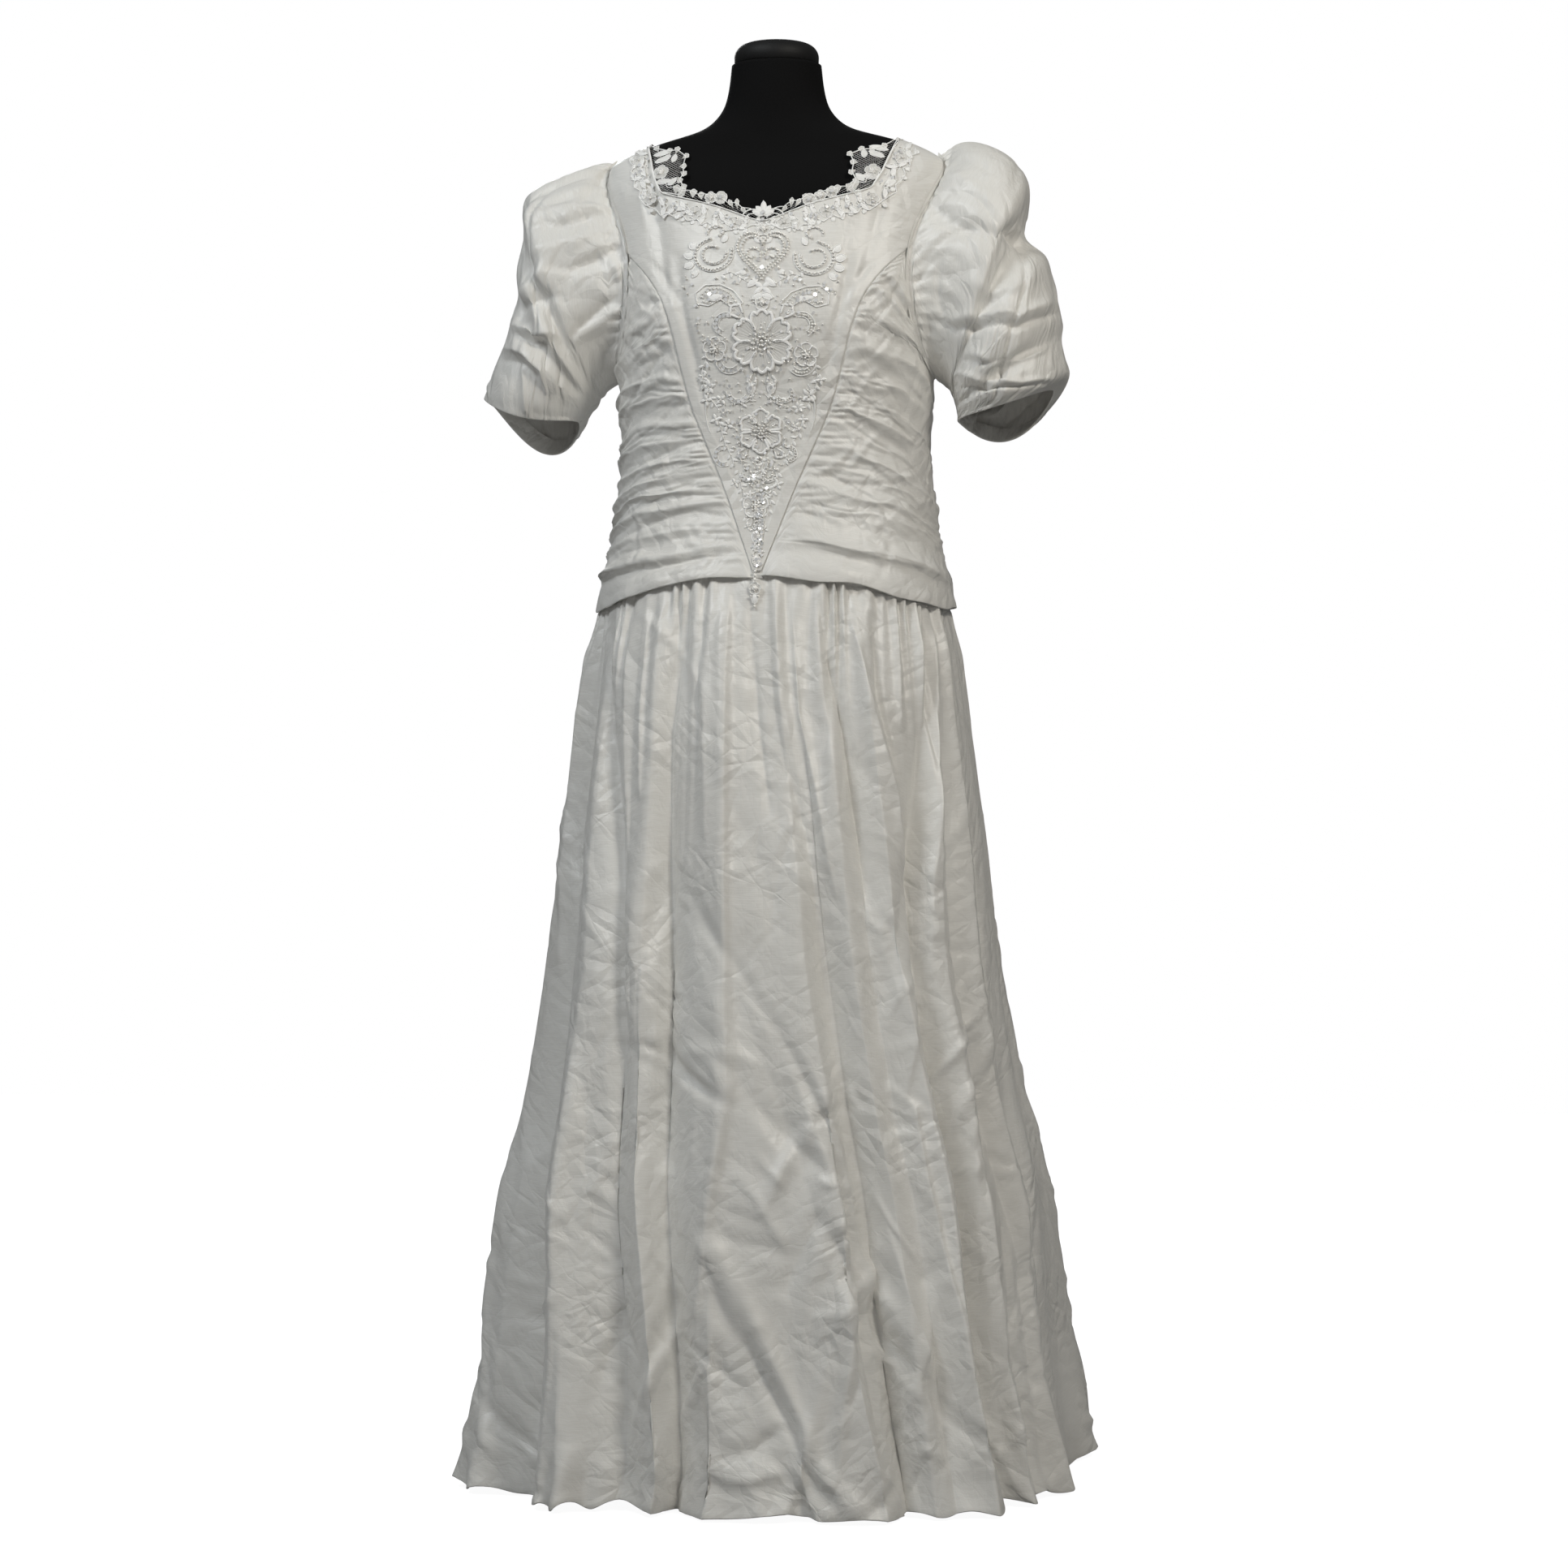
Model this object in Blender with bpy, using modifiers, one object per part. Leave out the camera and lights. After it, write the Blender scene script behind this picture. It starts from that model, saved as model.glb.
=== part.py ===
"""Wedding dress on a limbless dress form.

Units are metres and +Z is up. The dress faces -Y and its wearer's left is at +X. The origin is the centre of the
underside of the stand's round base. Angles round the body are in degrees from the front, growing towards +X, so that
90 is the wearer's left side seam, -90 the right one and 180 the centre back.
"""

import math

import bpy
from mathutils import Vector

COLLECTION_NAME = "wedding_dress"

# Cloth
WALL = 0.0014              # satin with its backing
SKIN = 0.0008              # lace and applique
SEAM_GAP = 0.0004          # between two pieces along a seam
WAIST_GAP = 0.0010         # along the curved waist seam, whose pieces have unlike facets
LAY_GAP = 0.0003           # between a panel and what is sewn on it
CURVE_ROOM = 0.0006        # more under a long stiff piece, whose facets cut across the panel's
MOTIF_ROOM = 0.0002        # the same under a small one
MILLIMETRE = 0.001

# Levels
TIP_Z = 0.930              # point of the bodice at the centre front
SIDE_WAIST_Z = 0.900       # dropped waist at the side seams and the back
HEM_Z = 0.004

# Armhole: an oval drawn on the body, from the end of the shoulder seam to the underarm
ARMHOLE_CENTRE_Z = 1.2535
ARMHOLE_HALF_HEIGHT = 0.1165
ARMHOLE_FRONT_REACH = 34.0     # degrees forward of the side seam
ARMHOLE_BACK_REACH = 30.0      # degrees behind it
ARMHOLE_TOP_POWER = 2.2        # a squarer curve above the middle
ARMHOLE_STEP = 15.0            # step of the panels' edges and of the sleeves' rings
SHOULDER_TURNS = (0.0, 6.0, 15.0)      # first steps round the armhole, short where the shoulder is most curved
SHOULDER_STEPS = (0.0, 0.12, 0.5)      # the same on the necklines, as shares of a usual step

# Stand
POLE_RADIUS = 0.0125
BASE_RADIUS = 0.190
BASE_THICKNESS = 0.012
HUB_RADIUS = 0.030
HUB_TOP_Z = 0.055
HUB_EDGE = 0.006           # rounding of the hub's top and step above the base
HUB_FLARE = 0.008
BASE_EDGE = 0.004
FORM_BOTTOM_Z = 0.800
FORM_BOTTOM_ROUNDING = 0.012
NECK_TOP_Z = 1.469
CAP_RADIUS = 0.0445
CAP_THICKNESS = 0.022
CAP_PROFILE = [
    # share of the radius, share of the thickness
    (0.000, 1.00),
    (0.720, 1.00),
    (0.900, 0.86),
    (0.985, 0.62),
    (1.000, 0.36),
    (0.980, 0.00),
    (0.000, 0.00),
]

# Surface of the bodice. Below the shoulders it is the dress, above them the neck of the form.
BODY_SECTIONS = [
    # z, half_width, depth_front, depth_back, squareness
    (0.860, 0.1880, 0.150, 0.146, 2.2),
    (0.925, 0.1830, 0.143, 0.138, 2.3),
    (0.960, 0.1750, 0.134, 0.126, 2.3),
    (1.010, 0.1675, 0.125, 0.112, 2.3),
    (1.060, 0.1630, 0.121, 0.104, 2.3),
    (1.110, 0.1645, 0.123, 0.106, 2.3),
    (1.150, 0.1670, 0.127, 0.110, 2.35),
    (1.190, 0.1690, 0.129, 0.114, 2.4),
    (1.240, 0.1715, 0.120, 0.117, 2.4),
    (1.290, 0.1750, 0.106, 0.114, 2.4),
    (1.330, 0.1790, 0.092, 0.104, 2.4),
    (1.355, 0.1790, 0.074, 0.084, 2.3),
    (1.370, 0.1710, 0.061, 0.068, 2.2),
    (1.388, 0.1330, 0.053, 0.057, 2.1),
    (1.402, 0.0850, 0.050, 0.053, 2.0),
    (1.416, 0.0640, 0.048, 0.051, 2.0),
    (1.436, 0.0530, 0.047, 0.049, 2.0),
    (1.480, 0.0465, 0.045, 0.046, 2.0),
]

# How far the form stands inside the surface above: it touches the dress at the shoulders only.
FORM_INSET = [
    # z, inset
    (0.800, 0.0220),
    (0.950, 0.0200),
    (1.060, 0.0320),
    (1.150, 0.0170),
    (1.240, 0.0130),
    (1.310, 0.0085),
    (1.350, 0.0060),
    (1.368, 0.0026),
    (1.388, 0.0010),
    (1.480, 0.0003),
]
SHOULDER_DROP = 0.0020     # the form's shoulder line under the strap's outer face
FORM_LEVELS = [
    NECK_TOP_Z, 1.447, 1.428, 1.412, 1.402, 1.394, 1.384, 1.374, 1.360, 1.342, 1.315,
    1.270, 1.210, 1.150, 1.060, 0.950, 0.850, 0.808,
]

SKIRT_SECTIONS = [
    # z, half_width, depth_front, depth_back, squareness
    (0.000, 0.3050, 0.276, 0.455, 3.0),
    (0.046, 0.2990, 0.271, 0.430, 2.9),
    (0.131, 0.2870, 0.261, 0.385, 2.75),
    (0.217, 0.2820, 0.251, 0.347, 2.6),
    (0.302, 0.2735, 0.241, 0.316, 2.5),
    (0.387, 0.2540, 0.230, 0.289, 2.4),
    (0.473, 0.2400, 0.218, 0.263, 2.35),
    (0.558, 0.2285, 0.207, 0.240, 2.3),
    (0.643, 0.2190, 0.195, 0.219, 2.3),
    (0.729, 0.2070, 0.182, 0.199, 2.3),
    (0.814, 0.1945, 0.167, 0.179, 2.3),
    (0.874, 0.1865, 0.153, 0.156, 2.3),
    (0.925, 0.1830, 0.143, 0.138, 2.3),
]

# Front neckline on the wearer's left, from the shoulder seam to the centre; the right half mirrors it.
NECK_EDGE = [
    # x, z
    (0.1330, 1.3880),
    (0.1250, 1.3660),
    (0.1180, 1.3430),
    (0.1090, 1.3260),
    (0.0900, 1.3200),
    (0.0680, 1.3140),
    (0.0480, 1.3080),
    (0.0300, 1.3010),
    (0.0130, 1.2940),
    (0.0000, 1.2900),
]

# Back neckline on the wearer's left, from the shoulder seam to the centre back
NECK_EDGE_BACK = [
    # x, z
    (0.1330, 1.3880),
    (0.1270, 1.3720),
    (0.1140, 1.3530),
    (0.0880, 1.3360),
    (0.0450, 1.3275),
    (0.0000, 1.3250),
]

# Seam between the smooth front and the ruched sides, below the armhole
V_SEAM = [
    # z, x
    (0.930, 0.0040),
    (0.970, 0.0190),
    (1.013, 0.0350),
    (1.056, 0.0535),
    (1.098, 0.0710),
    (1.140, 0.0830),
    (1.182, 0.0935),
    (1.212, 0.1050),
    (1.238, 0.1220),
    (1.262, 0.1445),
]

# Ruched side panels: each row is one crest or trough of a fold, with its level and its height over the body surface
# at the V seam, part of the way and at the outer edge. Heights are in millimetres.
RUCHE_MIDDLE = 0.42        # share of the way from the V seam to the outer edge
RUCHES_LEFT = [
    # z_seam, z_middle, z_outer, out_seam, out_middle, out_outer
    (1.258, 1.254, 1.250, 0, 0, 0),
    (1.252, 1.246, 1.233, 0, 1, 0),
    (1.244, 1.236, 1.215, 1, 5, 0),
    (1.233, 1.223, 1.196, 2, 9, 0),
    (1.227, 1.210, 1.178, -1, -3, 0),
    (1.221, 1.202, 1.166, 1, 4, 0),
    (1.207, 1.188, 1.154, 0, 0, 0),
    (1.194, 1.176, 1.145, 1, 7, 0),
    (1.183, 1.162, 1.130, -1, -4, 0),
    (1.161, 1.147, 1.108, 2, 8, 6),
    (1.139, 1.127, 1.100, -1, -3, 0),
    (1.131, 1.119, 1.087, 2, 7, 4),
    (1.122, 1.101, 1.060, -1, -5, -4),
    (1.114, 1.094, 1.052, 1, 4, 3),
    (1.108, 1.087, 1.046, 0, 0, 0),
    (1.101, 1.078, 1.039, 1, 6, 4),
    (1.094, 1.061, 1.021, -1, -6, -5),
    (1.083, 1.054, 1.014, 2, 5, 3),
    (1.075, 1.047, 1.006, -1, 0, 0),
    (1.066, 1.037, 0.998, 1, 8, 6),
    (1.054, 1.028, 0.989, -1, 0, 0),
    (1.046, 1.020, 0.983, 1, 3, 2),
    (1.037, 1.010, 0.976, -1, -5, -4),
    (1.019, 0.999, 0.967, 2, 7, 5),
    (1.006, 0.991, 0.959, -1, 0, 0),
    (0.998, 0.985, 0.952, 1, 3, 2),
    (0.990, 0.973, 0.945, -1, -4, -3),
    (0.966, 0.947, 0.928, 2, 9, 8),
]
RUCHES_RIGHT = [
    # z_seam, z_middle, z_outer, out_seam, out_middle, out_outer
    (1.258, 1.254, 1.250, 0, 0, 0),
    (1.246, 1.239, 1.233, 0, 2, 0),
    (1.234, 1.223, 1.216, 1, 6, 0),
    (1.212, 1.199, 1.190, 0, -1, 0),
    (1.198, 1.183, 1.167, 1, 8, 0),
    (1.187, 1.170, 1.150, -1, -1, 0),
    (1.176, 1.158, 1.133, 1, 9, 0),
    (1.160, 1.141, 1.110, -1, -5, -3),
    (1.136, 1.126, 1.101, 2, 9, 6),
    (1.119, 1.114, 1.094, 0, 3, 0),
    (1.112, 1.104, 1.087, 1, 6, 3),
    (1.103, 1.090, 1.070, -1, -4, -2),
    (1.080, 1.078, 1.053, 2, 8, 5),
    (1.073, 1.071, 1.046, 0, 1, 1),
    (1.067, 1.064, 1.039, 1, 7, 4),
    (1.060, 1.050, 1.030, -1, -3, -2),
    (1.053, 1.040, 1.021, 1, 6, 4),
    (1.047, 1.032, 1.009, -1, -2, -1),
    (1.040, 1.024, 0.995, 2, 9, 6),
    (1.027, 1.016, 0.986, -1, 0, 0),
    (1.018, 1.009, 0.979, 1, 7, 4),
    (1.008, 1.002, 0.972, -1, -2, -1),
    (1.000, 0.992, 0.965, 1, 7, 5),
    (0.986, 0.981, 0.957, -1, -2, -2),
    (0.976, 0.967, 0.949, 1, 6, 5),
    (0.965, 0.957, 0.941, -1, -3, -2),
    (0.949, 0.938, 0.929, 2, 8, 8),
]
YOKE_LINES = [
    # armhole_turn, neck_share: lines across the smooth front's yoke, from the armhole to a share of the half neckline
    (0.0, 0.00),
    (6.0, 0.02),
    (15.0, 0.06),
    (30.0, 0.14),
    (45.0, 0.22),
    (60.0, 0.30),
    (75.0, 0.38),
    (84.0, 0.44),
]
YOKE_STEPS = 4             # faces of the yoke from the neckline down
V_COLUMNS_HALF = 6         # faces of the V below it, from the centre to the seam
V_ROWS = 18
RUCHE_SHARES = (0.0, 0.2, 0.42, 0.68, 0.96, 1.0)       # columns from the V seam to the side
BACK_SHARES = (0.0, 0.04, 0.34, 0.68, 0.97, 1.0)         # columns from the side to the centre back
BACK_FOLD_FADE = 0.65      # share of the back panel in which its folds die out
BACK_NECK_LINES = 9        # lines of the back panel that end on the neckline
BACK_LINE_ROOM = 0.004     # least drop from the underarm to the next line

# Skirt: each row is one crest or trough, with its angle and its height over the skirt surface at three levels.
# Heights are in millimetres.
SKIRT_LEVELS = (0.900, 0.500, 0.040)
FOLDS_FRONT = [
    # angle_waist, angle_middle, angle_hem, out_waist, out_middle, out_hem
    (-90, -90, -90, 0, 0, 0),
    (-83, -81, -79, -2, -8, -14),
    (-75, -72, -64, 4, 8, 16),
    (-65, -59, -42, -2, -9, -20),
    (-53, -43, -27, 5, 11, 24),
    (-38, -29, -15, -2, -9, -22),
    (-29, -23, -8, 4, 7, 16),
    (-21, -18, -4.5, -3, -12, -24),
    (-9, -5, -2, 5, 9, 14),
    (-2, 5, 6, 2, 5, 4),
    (4, 13, 18, 5, 9, 20),
    (8, 18, 25, -3, -11, -26),
    (15, 24, 31, 4, 7, 10),
    (22, 30, 36, -2, -4, -4),
    (29, 37, 43, 5, 12, 32),
    (48, 44, 51, -3, -12, -24),
    (56, 52, 58, 4, 7, 12),
    (63, 59, 66, -2, -5, -10),
    (71, 67, 75, 4, 8, 16),
    (81, 79, 83, -2, -7, -14),
    (90, 90, 90, 0, 0, 0),
]
FOLDS_BACK_LEFT = [
    # angle_waist, angle_middle, angle_hem, out_waist, out_middle, out_hem
    (90, 90, 90, 0, 0, 0),
    (98, 98, 97, 3, 8, 18),
    (107, 106, 104, -3, -9, -22),
    (117, 115, 113, 4, 10, 26),
    (126, 124, 121, -3, -10, -22),
    (135, 133, 131, 4, 11, 24),
    (145, 143, 141, -3, -9, -26),
    (154, 153, 152, 5, 12, 28),
    (163, 162, 161, -3, -10, -20),
    (172, 171, 171, 4, 8, 20),
    (180, 180, 180, -1, -4, -10),
]
FOLDS_BACK_RIGHT = [
    # angle_waist, angle_middle, angle_hem, out_waist, out_middle, out_hem
    (180, 180, 180, -1, -4, -10),
    (189, 188, 190, 4, 9, 22),
    (197, 198, 200, -3, -11, -24),
    (207, 208, 209, 4, 10, 22),
    (216, 217, 219, -3, -9, -20),
    (225, 226, 229, 5, 12, 26),
    (234, 236, 238, -3, -10, -26),
    (243, 244, 247, 4, 9, 20),
    (253, 254, 255, -3, -10, -20),
    (262, 262, 263, 3, 8, 16),
    (270, 270, 270, 0, 0, 0),
]
GATHER_HEIGHT = 0.0016     # small gathers between the folds, at the waist
GATHER_FADE = 0.35         # share of the skirt's height in which they die out
FOLD_START = 0.15          # how far along their growth the folds are at the waist seam
FOLD_GROWTH = 0.08         # share of the skirt's height in which they grow to their whole height
FOLD_STEPS = 3             # faces from one crest or trough to the next
SKIRT_SHARES = (0.0, 0.035, 0.12, 0.26, 0.44, 0.63, 0.82, 1.0)     # rows from the waist to the hem

# Sleeves, given for the side at +X: each row is one ring, from the armhole to the cuff.
SLEEVE_LEFT = [
    # x_over, z_over, x_under, z_under, half_front, half_back, sag_front, sag_back
    (0.1760, 1.3760, 0.1680, 1.1365, 0.066, 0.070, 0.000, 0.000),
    (0.2140, 1.4000, 0.1760, 1.1350, 0.074, 0.078, 0.000, 0.002),
    (0.2450, 1.3750, 0.1800, 1.1300, 0.084, 0.088, 0.001, 0.004),
    (0.2660, 1.3360, 0.1830, 1.1250, 0.088, 0.092, 0.002, 0.006),
    (0.2600, 1.2860, 0.1850, 1.1200, 0.078, 0.088, 0.003, 0.008),
    (0.2840, 1.2620, 0.1870, 1.1160, 0.088, 0.092, 0.004, 0.010),
    (0.2920, 1.2280, 0.1880, 1.1120, 0.092, 0.094, 0.004, 0.012),
    (0.2980, 1.1970, 0.1890, 1.1080, 0.088, 0.092, 0.004, 0.014),
    (0.2980, 1.1780, 0.1895, 1.1050, 0.078, 0.086, 0.004, 0.016),
    (0.3020, 1.1600, 0.1900, 1.1020, 0.084, 0.086, 0.005, 0.018),
    (0.3060, 1.1420, 0.1905, 1.0990, 0.080, 0.082, 0.006, 0.024),
    (0.2910, 1.1260, 0.1905, 1.0940, 0.070, 0.072, 0.006, 0.028),
]
SLEEVE_RIGHT = [
    # x_over, z_over, x_under, z_under, half_front, half_back, sag_front, sag_back
    (0.1740, 1.3700, 0.1680, 1.1385, 0.064, 0.070, 0.000, 0.000),
    (0.2060, 1.3730, 0.1740, 1.1370, 0.072, 0.078, 0.000, 0.002),
    (0.2380, 1.3540, 0.1800, 1.1330, 0.078, 0.084, 0.001, 0.005),
    (0.2640, 1.3320, 0.1850, 1.1290, 0.084, 0.088, 0.002, 0.009),
    (0.2680, 1.2970, 0.1890, 1.1250, 0.078, 0.088, 0.003, 0.013),
    (0.2740, 1.2640, 0.1925, 1.1210, 0.086, 0.090, 0.004, 0.018),
    (0.2740, 1.2360, 0.1960, 1.1165, 0.076, 0.088, 0.006, 0.023),
    (0.2810, 1.2120, 0.2000, 1.1120, 0.082, 0.086, 0.008, 0.028),
    (0.2880, 1.1850, 0.2040, 1.1070, 0.076, 0.082, 0.010, 0.033),
    (0.3010, 1.1540, 0.2080, 1.1030, 0.074, 0.078, 0.012, 0.038),
    (0.3110, 1.1270, 0.2110, 1.0990, 0.068, 0.072, 0.013, 0.039),
]
SLEEVE_STEPS = round(360.0 / ARMHOLE_STEP)
SLEEVE_SETTING = (0.0, 0.45, 0.85)     # how far the first rings have left the armhole's own shape
SLEEVE_LIFT = 0.0013       # outside the bodice at the armhole
SLEEVE_INSET = 0.0021      # inside the edge of the armhole

# Lace along the front neckline: a lattice of cells, some of them open net
LACE_END = 0.012           # share of the neckline that is left free at each shoulder
LACE_PROBE = 0.010         # how far ahead and behind the neckline's direction is read, as a share of its length
LACE_BAND_DEPTH = 0.022    # on the satin, below the edge
LACE_CENTRE_SHORTER = 0.85     # share of that depth which is missing at the centre, over the heart
LACE_SHORT_WIDTH = 0.050   # width of that shorter stretch, as a share of the neckline
LACE_RISE = 0.010          # above the edge
LACE_CORNER_RISE = 0.009   # more at the two corners of the neckline
LACE_CORNER_PLACE = 0.315  # the corners' place, as a share of the neckline from its centre
LACE_CORNER_WIDTH = 0.055
LACE_CENTRE_RISE = 0.008   # more at the centre
LACE_CENTRE_WIDTH = 0.030
LACE_CELLS_HALF = 23
LACE_LEVELS = (1.0, 0.55, 0.06, -0.45, -1.0)   # rows: 1 is the upper edge, 0 the neckline and -1 the lower edge
LACE_OPEN_ROW = 1          # the row of cells whose every other cell is cut out
LACE_SCALLOP = 0.0030

# Appliques on the smooth front
MOTIF_RINGS = (0.16, 0.58, 1.0)        # rings of a raised motif, as shares of its size
PETAL_NOTCH = 0.28         # depth of the notch between two petals, as a share of the radius
PETAL_FULLNESS = 0.7       # under 1 the petals are broad and round
PETAL_RELIEF = 0.75        # height of the petals and of the middle, as shares of the flower's own
MIDDLE_RELIEF = 0.80
DROP_HEIGHT = 0.0026
DROP_NARROWING = 0.45      # how much narrower a drop is at its top
DROP_STEPS = 10
FLOWERS = [
    # name, x, z, radius, petals, height
    ("flower_bust", 0.000, 1.166, 0.0340, 6, 0.0034),
    ("flower_middle", 0.000, 1.072, 0.0250, 6, 0.0030),
    ("flower_low", 0.000, 0.996, 0.0130, 5, 0.0024),
    ("flower_small_left", 0.0455, 1.153, 0.0118, 5, 0.0024),
    ("flower_small_right", -0.0475, 1.158, 0.0118, 5, 0.0024),
    ("leaf_cross", 0.000, 1.2205, 0.0110, 4, 0.0022),
]
DROPS = [
    # name, x, z, half_width, half_height
    ("drop_upper_left", 0.0110, 1.1230, 0.0052, 0.0085),
    ("drop_upper_right", -0.0120, 1.1240, 0.0052, 0.0085),
    ("drop_low", 0.0000, 0.9650, 0.0060, 0.0100),
    ("drop_tip", 0.0000, 0.9415, 0.0045, 0.0075),
]
SCROLLS = [
    # name, x, z, half_width, half_height, start_turn, end_turn, end_shrink
    ("scroll_top_left", 0.0550, 1.2490, 0.0200, 0.0180, -150, 250, 0.35),
    ("scroll_top_right", -0.0540, 1.2540, 0.0200, 0.0180, -150, 250, 0.35),
    ("scroll_wing_left", 0.0350, 1.2075, 0.0170, 0.0120, -170, 160, 0.45),
    ("scroll_wing_right", -0.0350, 1.2085, 0.0170, 0.0120, -170, 160, 0.45),
]
CORD_RADIUS = 0.0014       # soutache of the scrolls and the heart
SCROLL_STEPS = 22
HEART_CENTRE = (0.0, 1.2600)
HEART_HALF_WIDTH = 0.0260
HEART_HALF_HEIGHT = 0.0225
HEART_OPEN_TURN = 16.0     # degrees left open on each side of the top
HEART_CHEEK = 0.22         # how much wider the upper half is
HEART_SHOULDER = 0.28      # how much higher the sides are than the middle
HEART_STEPS = 24
SPRIGS = [
    # name, x, z, side
    ("sprig_left", 0.0410, 1.1130, 1),
    ("sprig_right", -0.0420, 1.1170, -1),
]
SPRIG_LENGTH = 0.026
SPRIG_SLANT = 0.45         # sideways run for each metre down
SPRIG_BOW = 0.006
SPRIG_STEPS = 8

# Centre back closing
PLACKET_WIDTH = 0.022
PLACKET_END = 0.012        # past the first and the last button
PLACKET_ROWS = 26
PLACKET_COLUMNS = 2
BUTTON_RADIUS = 0.0060
BUTTON_HEIGHT = 0.0050
BUTTON_COUNT = 12
BUTTON_TOP_Z = 1.305
BUTTON_BOTTOM_Z = 0.925


def clear_scene():
    """Remove every object, so that a second run starts from nothing."""
    for scene_object in list(bpy.data.objects):
        bpy.data.objects.remove(scene_object, do_unlink=True)


def make_material(name, colour, roughness, metallic=0.0):
    """A plain Principled finish."""
    material = bpy.data.materials.new(name)
    material.use_nodes = True
    shader = material.node_tree.nodes["Principled BSDF"]
    shader.inputs["Base Color"].default_value = (*colour, 1.0)
    shader.inputs["Roughness"].default_value = roughness
    shader.inputs["Metallic"].default_value = metallic
    return material


# Curves and surfaces

def smooth_lookup(table, key):
    """Read the columns of a table at a key with a cubic that passes through its rows (first column rising)."""
    count = len(table)
    if key <= table[0][0]:
        return list(table[0][1:])
    if key >= table[-1][0]:
        return list(table[-1][1:])
    index = next(i for i in range(count - 1) if table[i][0] <= key <= table[i + 1][0])
    low, high = table[index], table[index + 1]
    before = table[max(index - 1, 0)]
    after = table[min(index + 2, count - 1)]
    span = high[0] - low[0]
    share = (key - low[0]) / span
    values = []
    for column in range(1, len(low)):
        slope_low = (high[column] - before[column]) / (high[0] - before[0]) * span
        slope_high = (after[column] - low[column]) / (after[0] - low[0]) * span
        values.append(hermite(low[column], high[column], slope_low, slope_high, share))
    return values


def hermite(start, end, slope_start, slope_end, share):
    """Cubic from start to end with the given slopes."""
    square = share * share
    cube = square * share
    return (
        (2 * cube - 3 * square + 1) * start
        + (cube - 2 * square + share) * slope_start
        + (3 * square - 2 * cube) * end
        + (cube - square) * slope_end
    )


def ease(share):
    """Half a cosine wave from 0 to 1."""
    return 0.5 - 0.5 * math.cos(math.pi * min(max(share, 0.0), 1.0))


def through_three(first, middle, last, middle_share, share):
    """Parabola through a value at 0, one at middle_share and one at 1."""
    weight_first = (share - middle_share) * (share - 1.0) / middle_share
    weight_middle = share * (share - 1.0) / (middle_share * (middle_share - 1.0))
    weight_last = share * (share - middle_share) / (1.0 - middle_share)
    return first * weight_first + middle * weight_middle + last * weight_last


def section_point(table, angle, z):
    """Point of a lofted surface at an angle from the front and a level."""
    half_width, depth_front, depth_back, squareness = smooth_lookup(table, z)
    sine = math.sin(math.radians(angle))
    cosine = math.cos(math.radians(angle))
    depth = depth_front if cosine > 0.0 else depth_back
    power = 2.0 / squareness
    x = half_width * math.copysign(abs(sine) ** power, sine)
    y = -depth * math.copysign(abs(cosine) ** power, cosine)
    return Vector((x, y, z))


def section_normal(table, angle, z):
    """Outward unit normal of the same surface."""
    turn, rise = 0.5, 0.002
    across = section_point(table, angle + turn, z) - section_point(table, angle - turn, z)
    upward = section_point(table, angle, z + rise) - section_point(table, angle, z - rise)
    return across.cross(upward).normalized()


def raised_point(table, angle, z, out):
    """Point at a height out over a lofted surface."""
    return section_point(table, angle, z) + section_normal(table, angle, z) * out


def level_point(table, angle, z, out):
    """Point at a level distance out from a lofted surface."""
    normal = section_normal(table, angle, z)
    level = Vector((normal.x, normal.y, 0.0)).normalized()
    return section_point(table, angle, z) + level * out


def angle_at(x, z):
    """Angle at which the front of the body surface reaches x at a level."""
    half_width, _, _, squareness = smooth_lookup(BODY_SECTIONS, z)
    sine = min(abs(x) / half_width, 1.0) ** (squareness / 2.0)
    return math.copysign(math.degrees(math.asin(sine)), x)


def waist_z(angle):
    """Level of the seam between bodice and skirt: a point at the front, level behind."""
    cosine = max(math.cos(math.radians(angle)), 0.0)
    return SIDE_WAIST_Z + (TIP_Z - SIDE_WAIST_Z) * cosine ** 3


def armhole(turn):
    """Angle (on the +X side) and level of the armhole, turning from the shoulder forward to the underarm and back."""
    z = ARMHOLE_CENTRE_Z + ARMHOLE_HALF_HEIGHT * math.cos(math.radians(turn))
    sine = math.sin(math.radians(turn))
    power = ARMHOLE_TOP_POWER if z > ARMHOLE_CENTRE_Z else 1.0
    reach = ARMHOLE_FRONT_REACH if sine > 0.0 else -ARMHOLE_BACK_REACH
    return 90.0 - reach * abs(sine) ** power, z


def armhole_turn_at(z):
    """Turn at which the front of the armhole passes a level."""
    share = (z - ARMHOLE_CENTRE_Z) / ARMHOLE_HALF_HEIGHT
    return math.degrees(math.acos(max(-1.0, min(1.0, share))))


def v_seam_angle(z):
    """Angle of the V seam at a level, on the +X side."""
    return angle_at(smooth_lookup(V_SEAM, z)[0], z)


def point_along(points, share):
    """Point at a share of the length of a line of (a, b) pairs."""
    lengths = [math.dist(p, q) for p, q in zip(points, points[1:])]
    target = share * sum(lengths)
    for (p, q), length in zip(zip(points, points[1:]), lengths):
        if target <= length or (p, q) == (points[-2], points[-1]):
            part = min(target / length, 1.0)
            return p[0] + (q[0] - p[0]) * part, p[1] + (q[1] - p[1]) * part
        target -= length
    return points[-1]


# Meshes

def add_object(name, mesh, collection, material):
    """Link a mesh as a named, smoothly shaded object."""
    mesh.materials.append(material)
    mesh.shade_smooth()
    new_object = bpy.data.objects.new(name, mesh)
    collection.objects.link(new_object)
    return new_object


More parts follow.
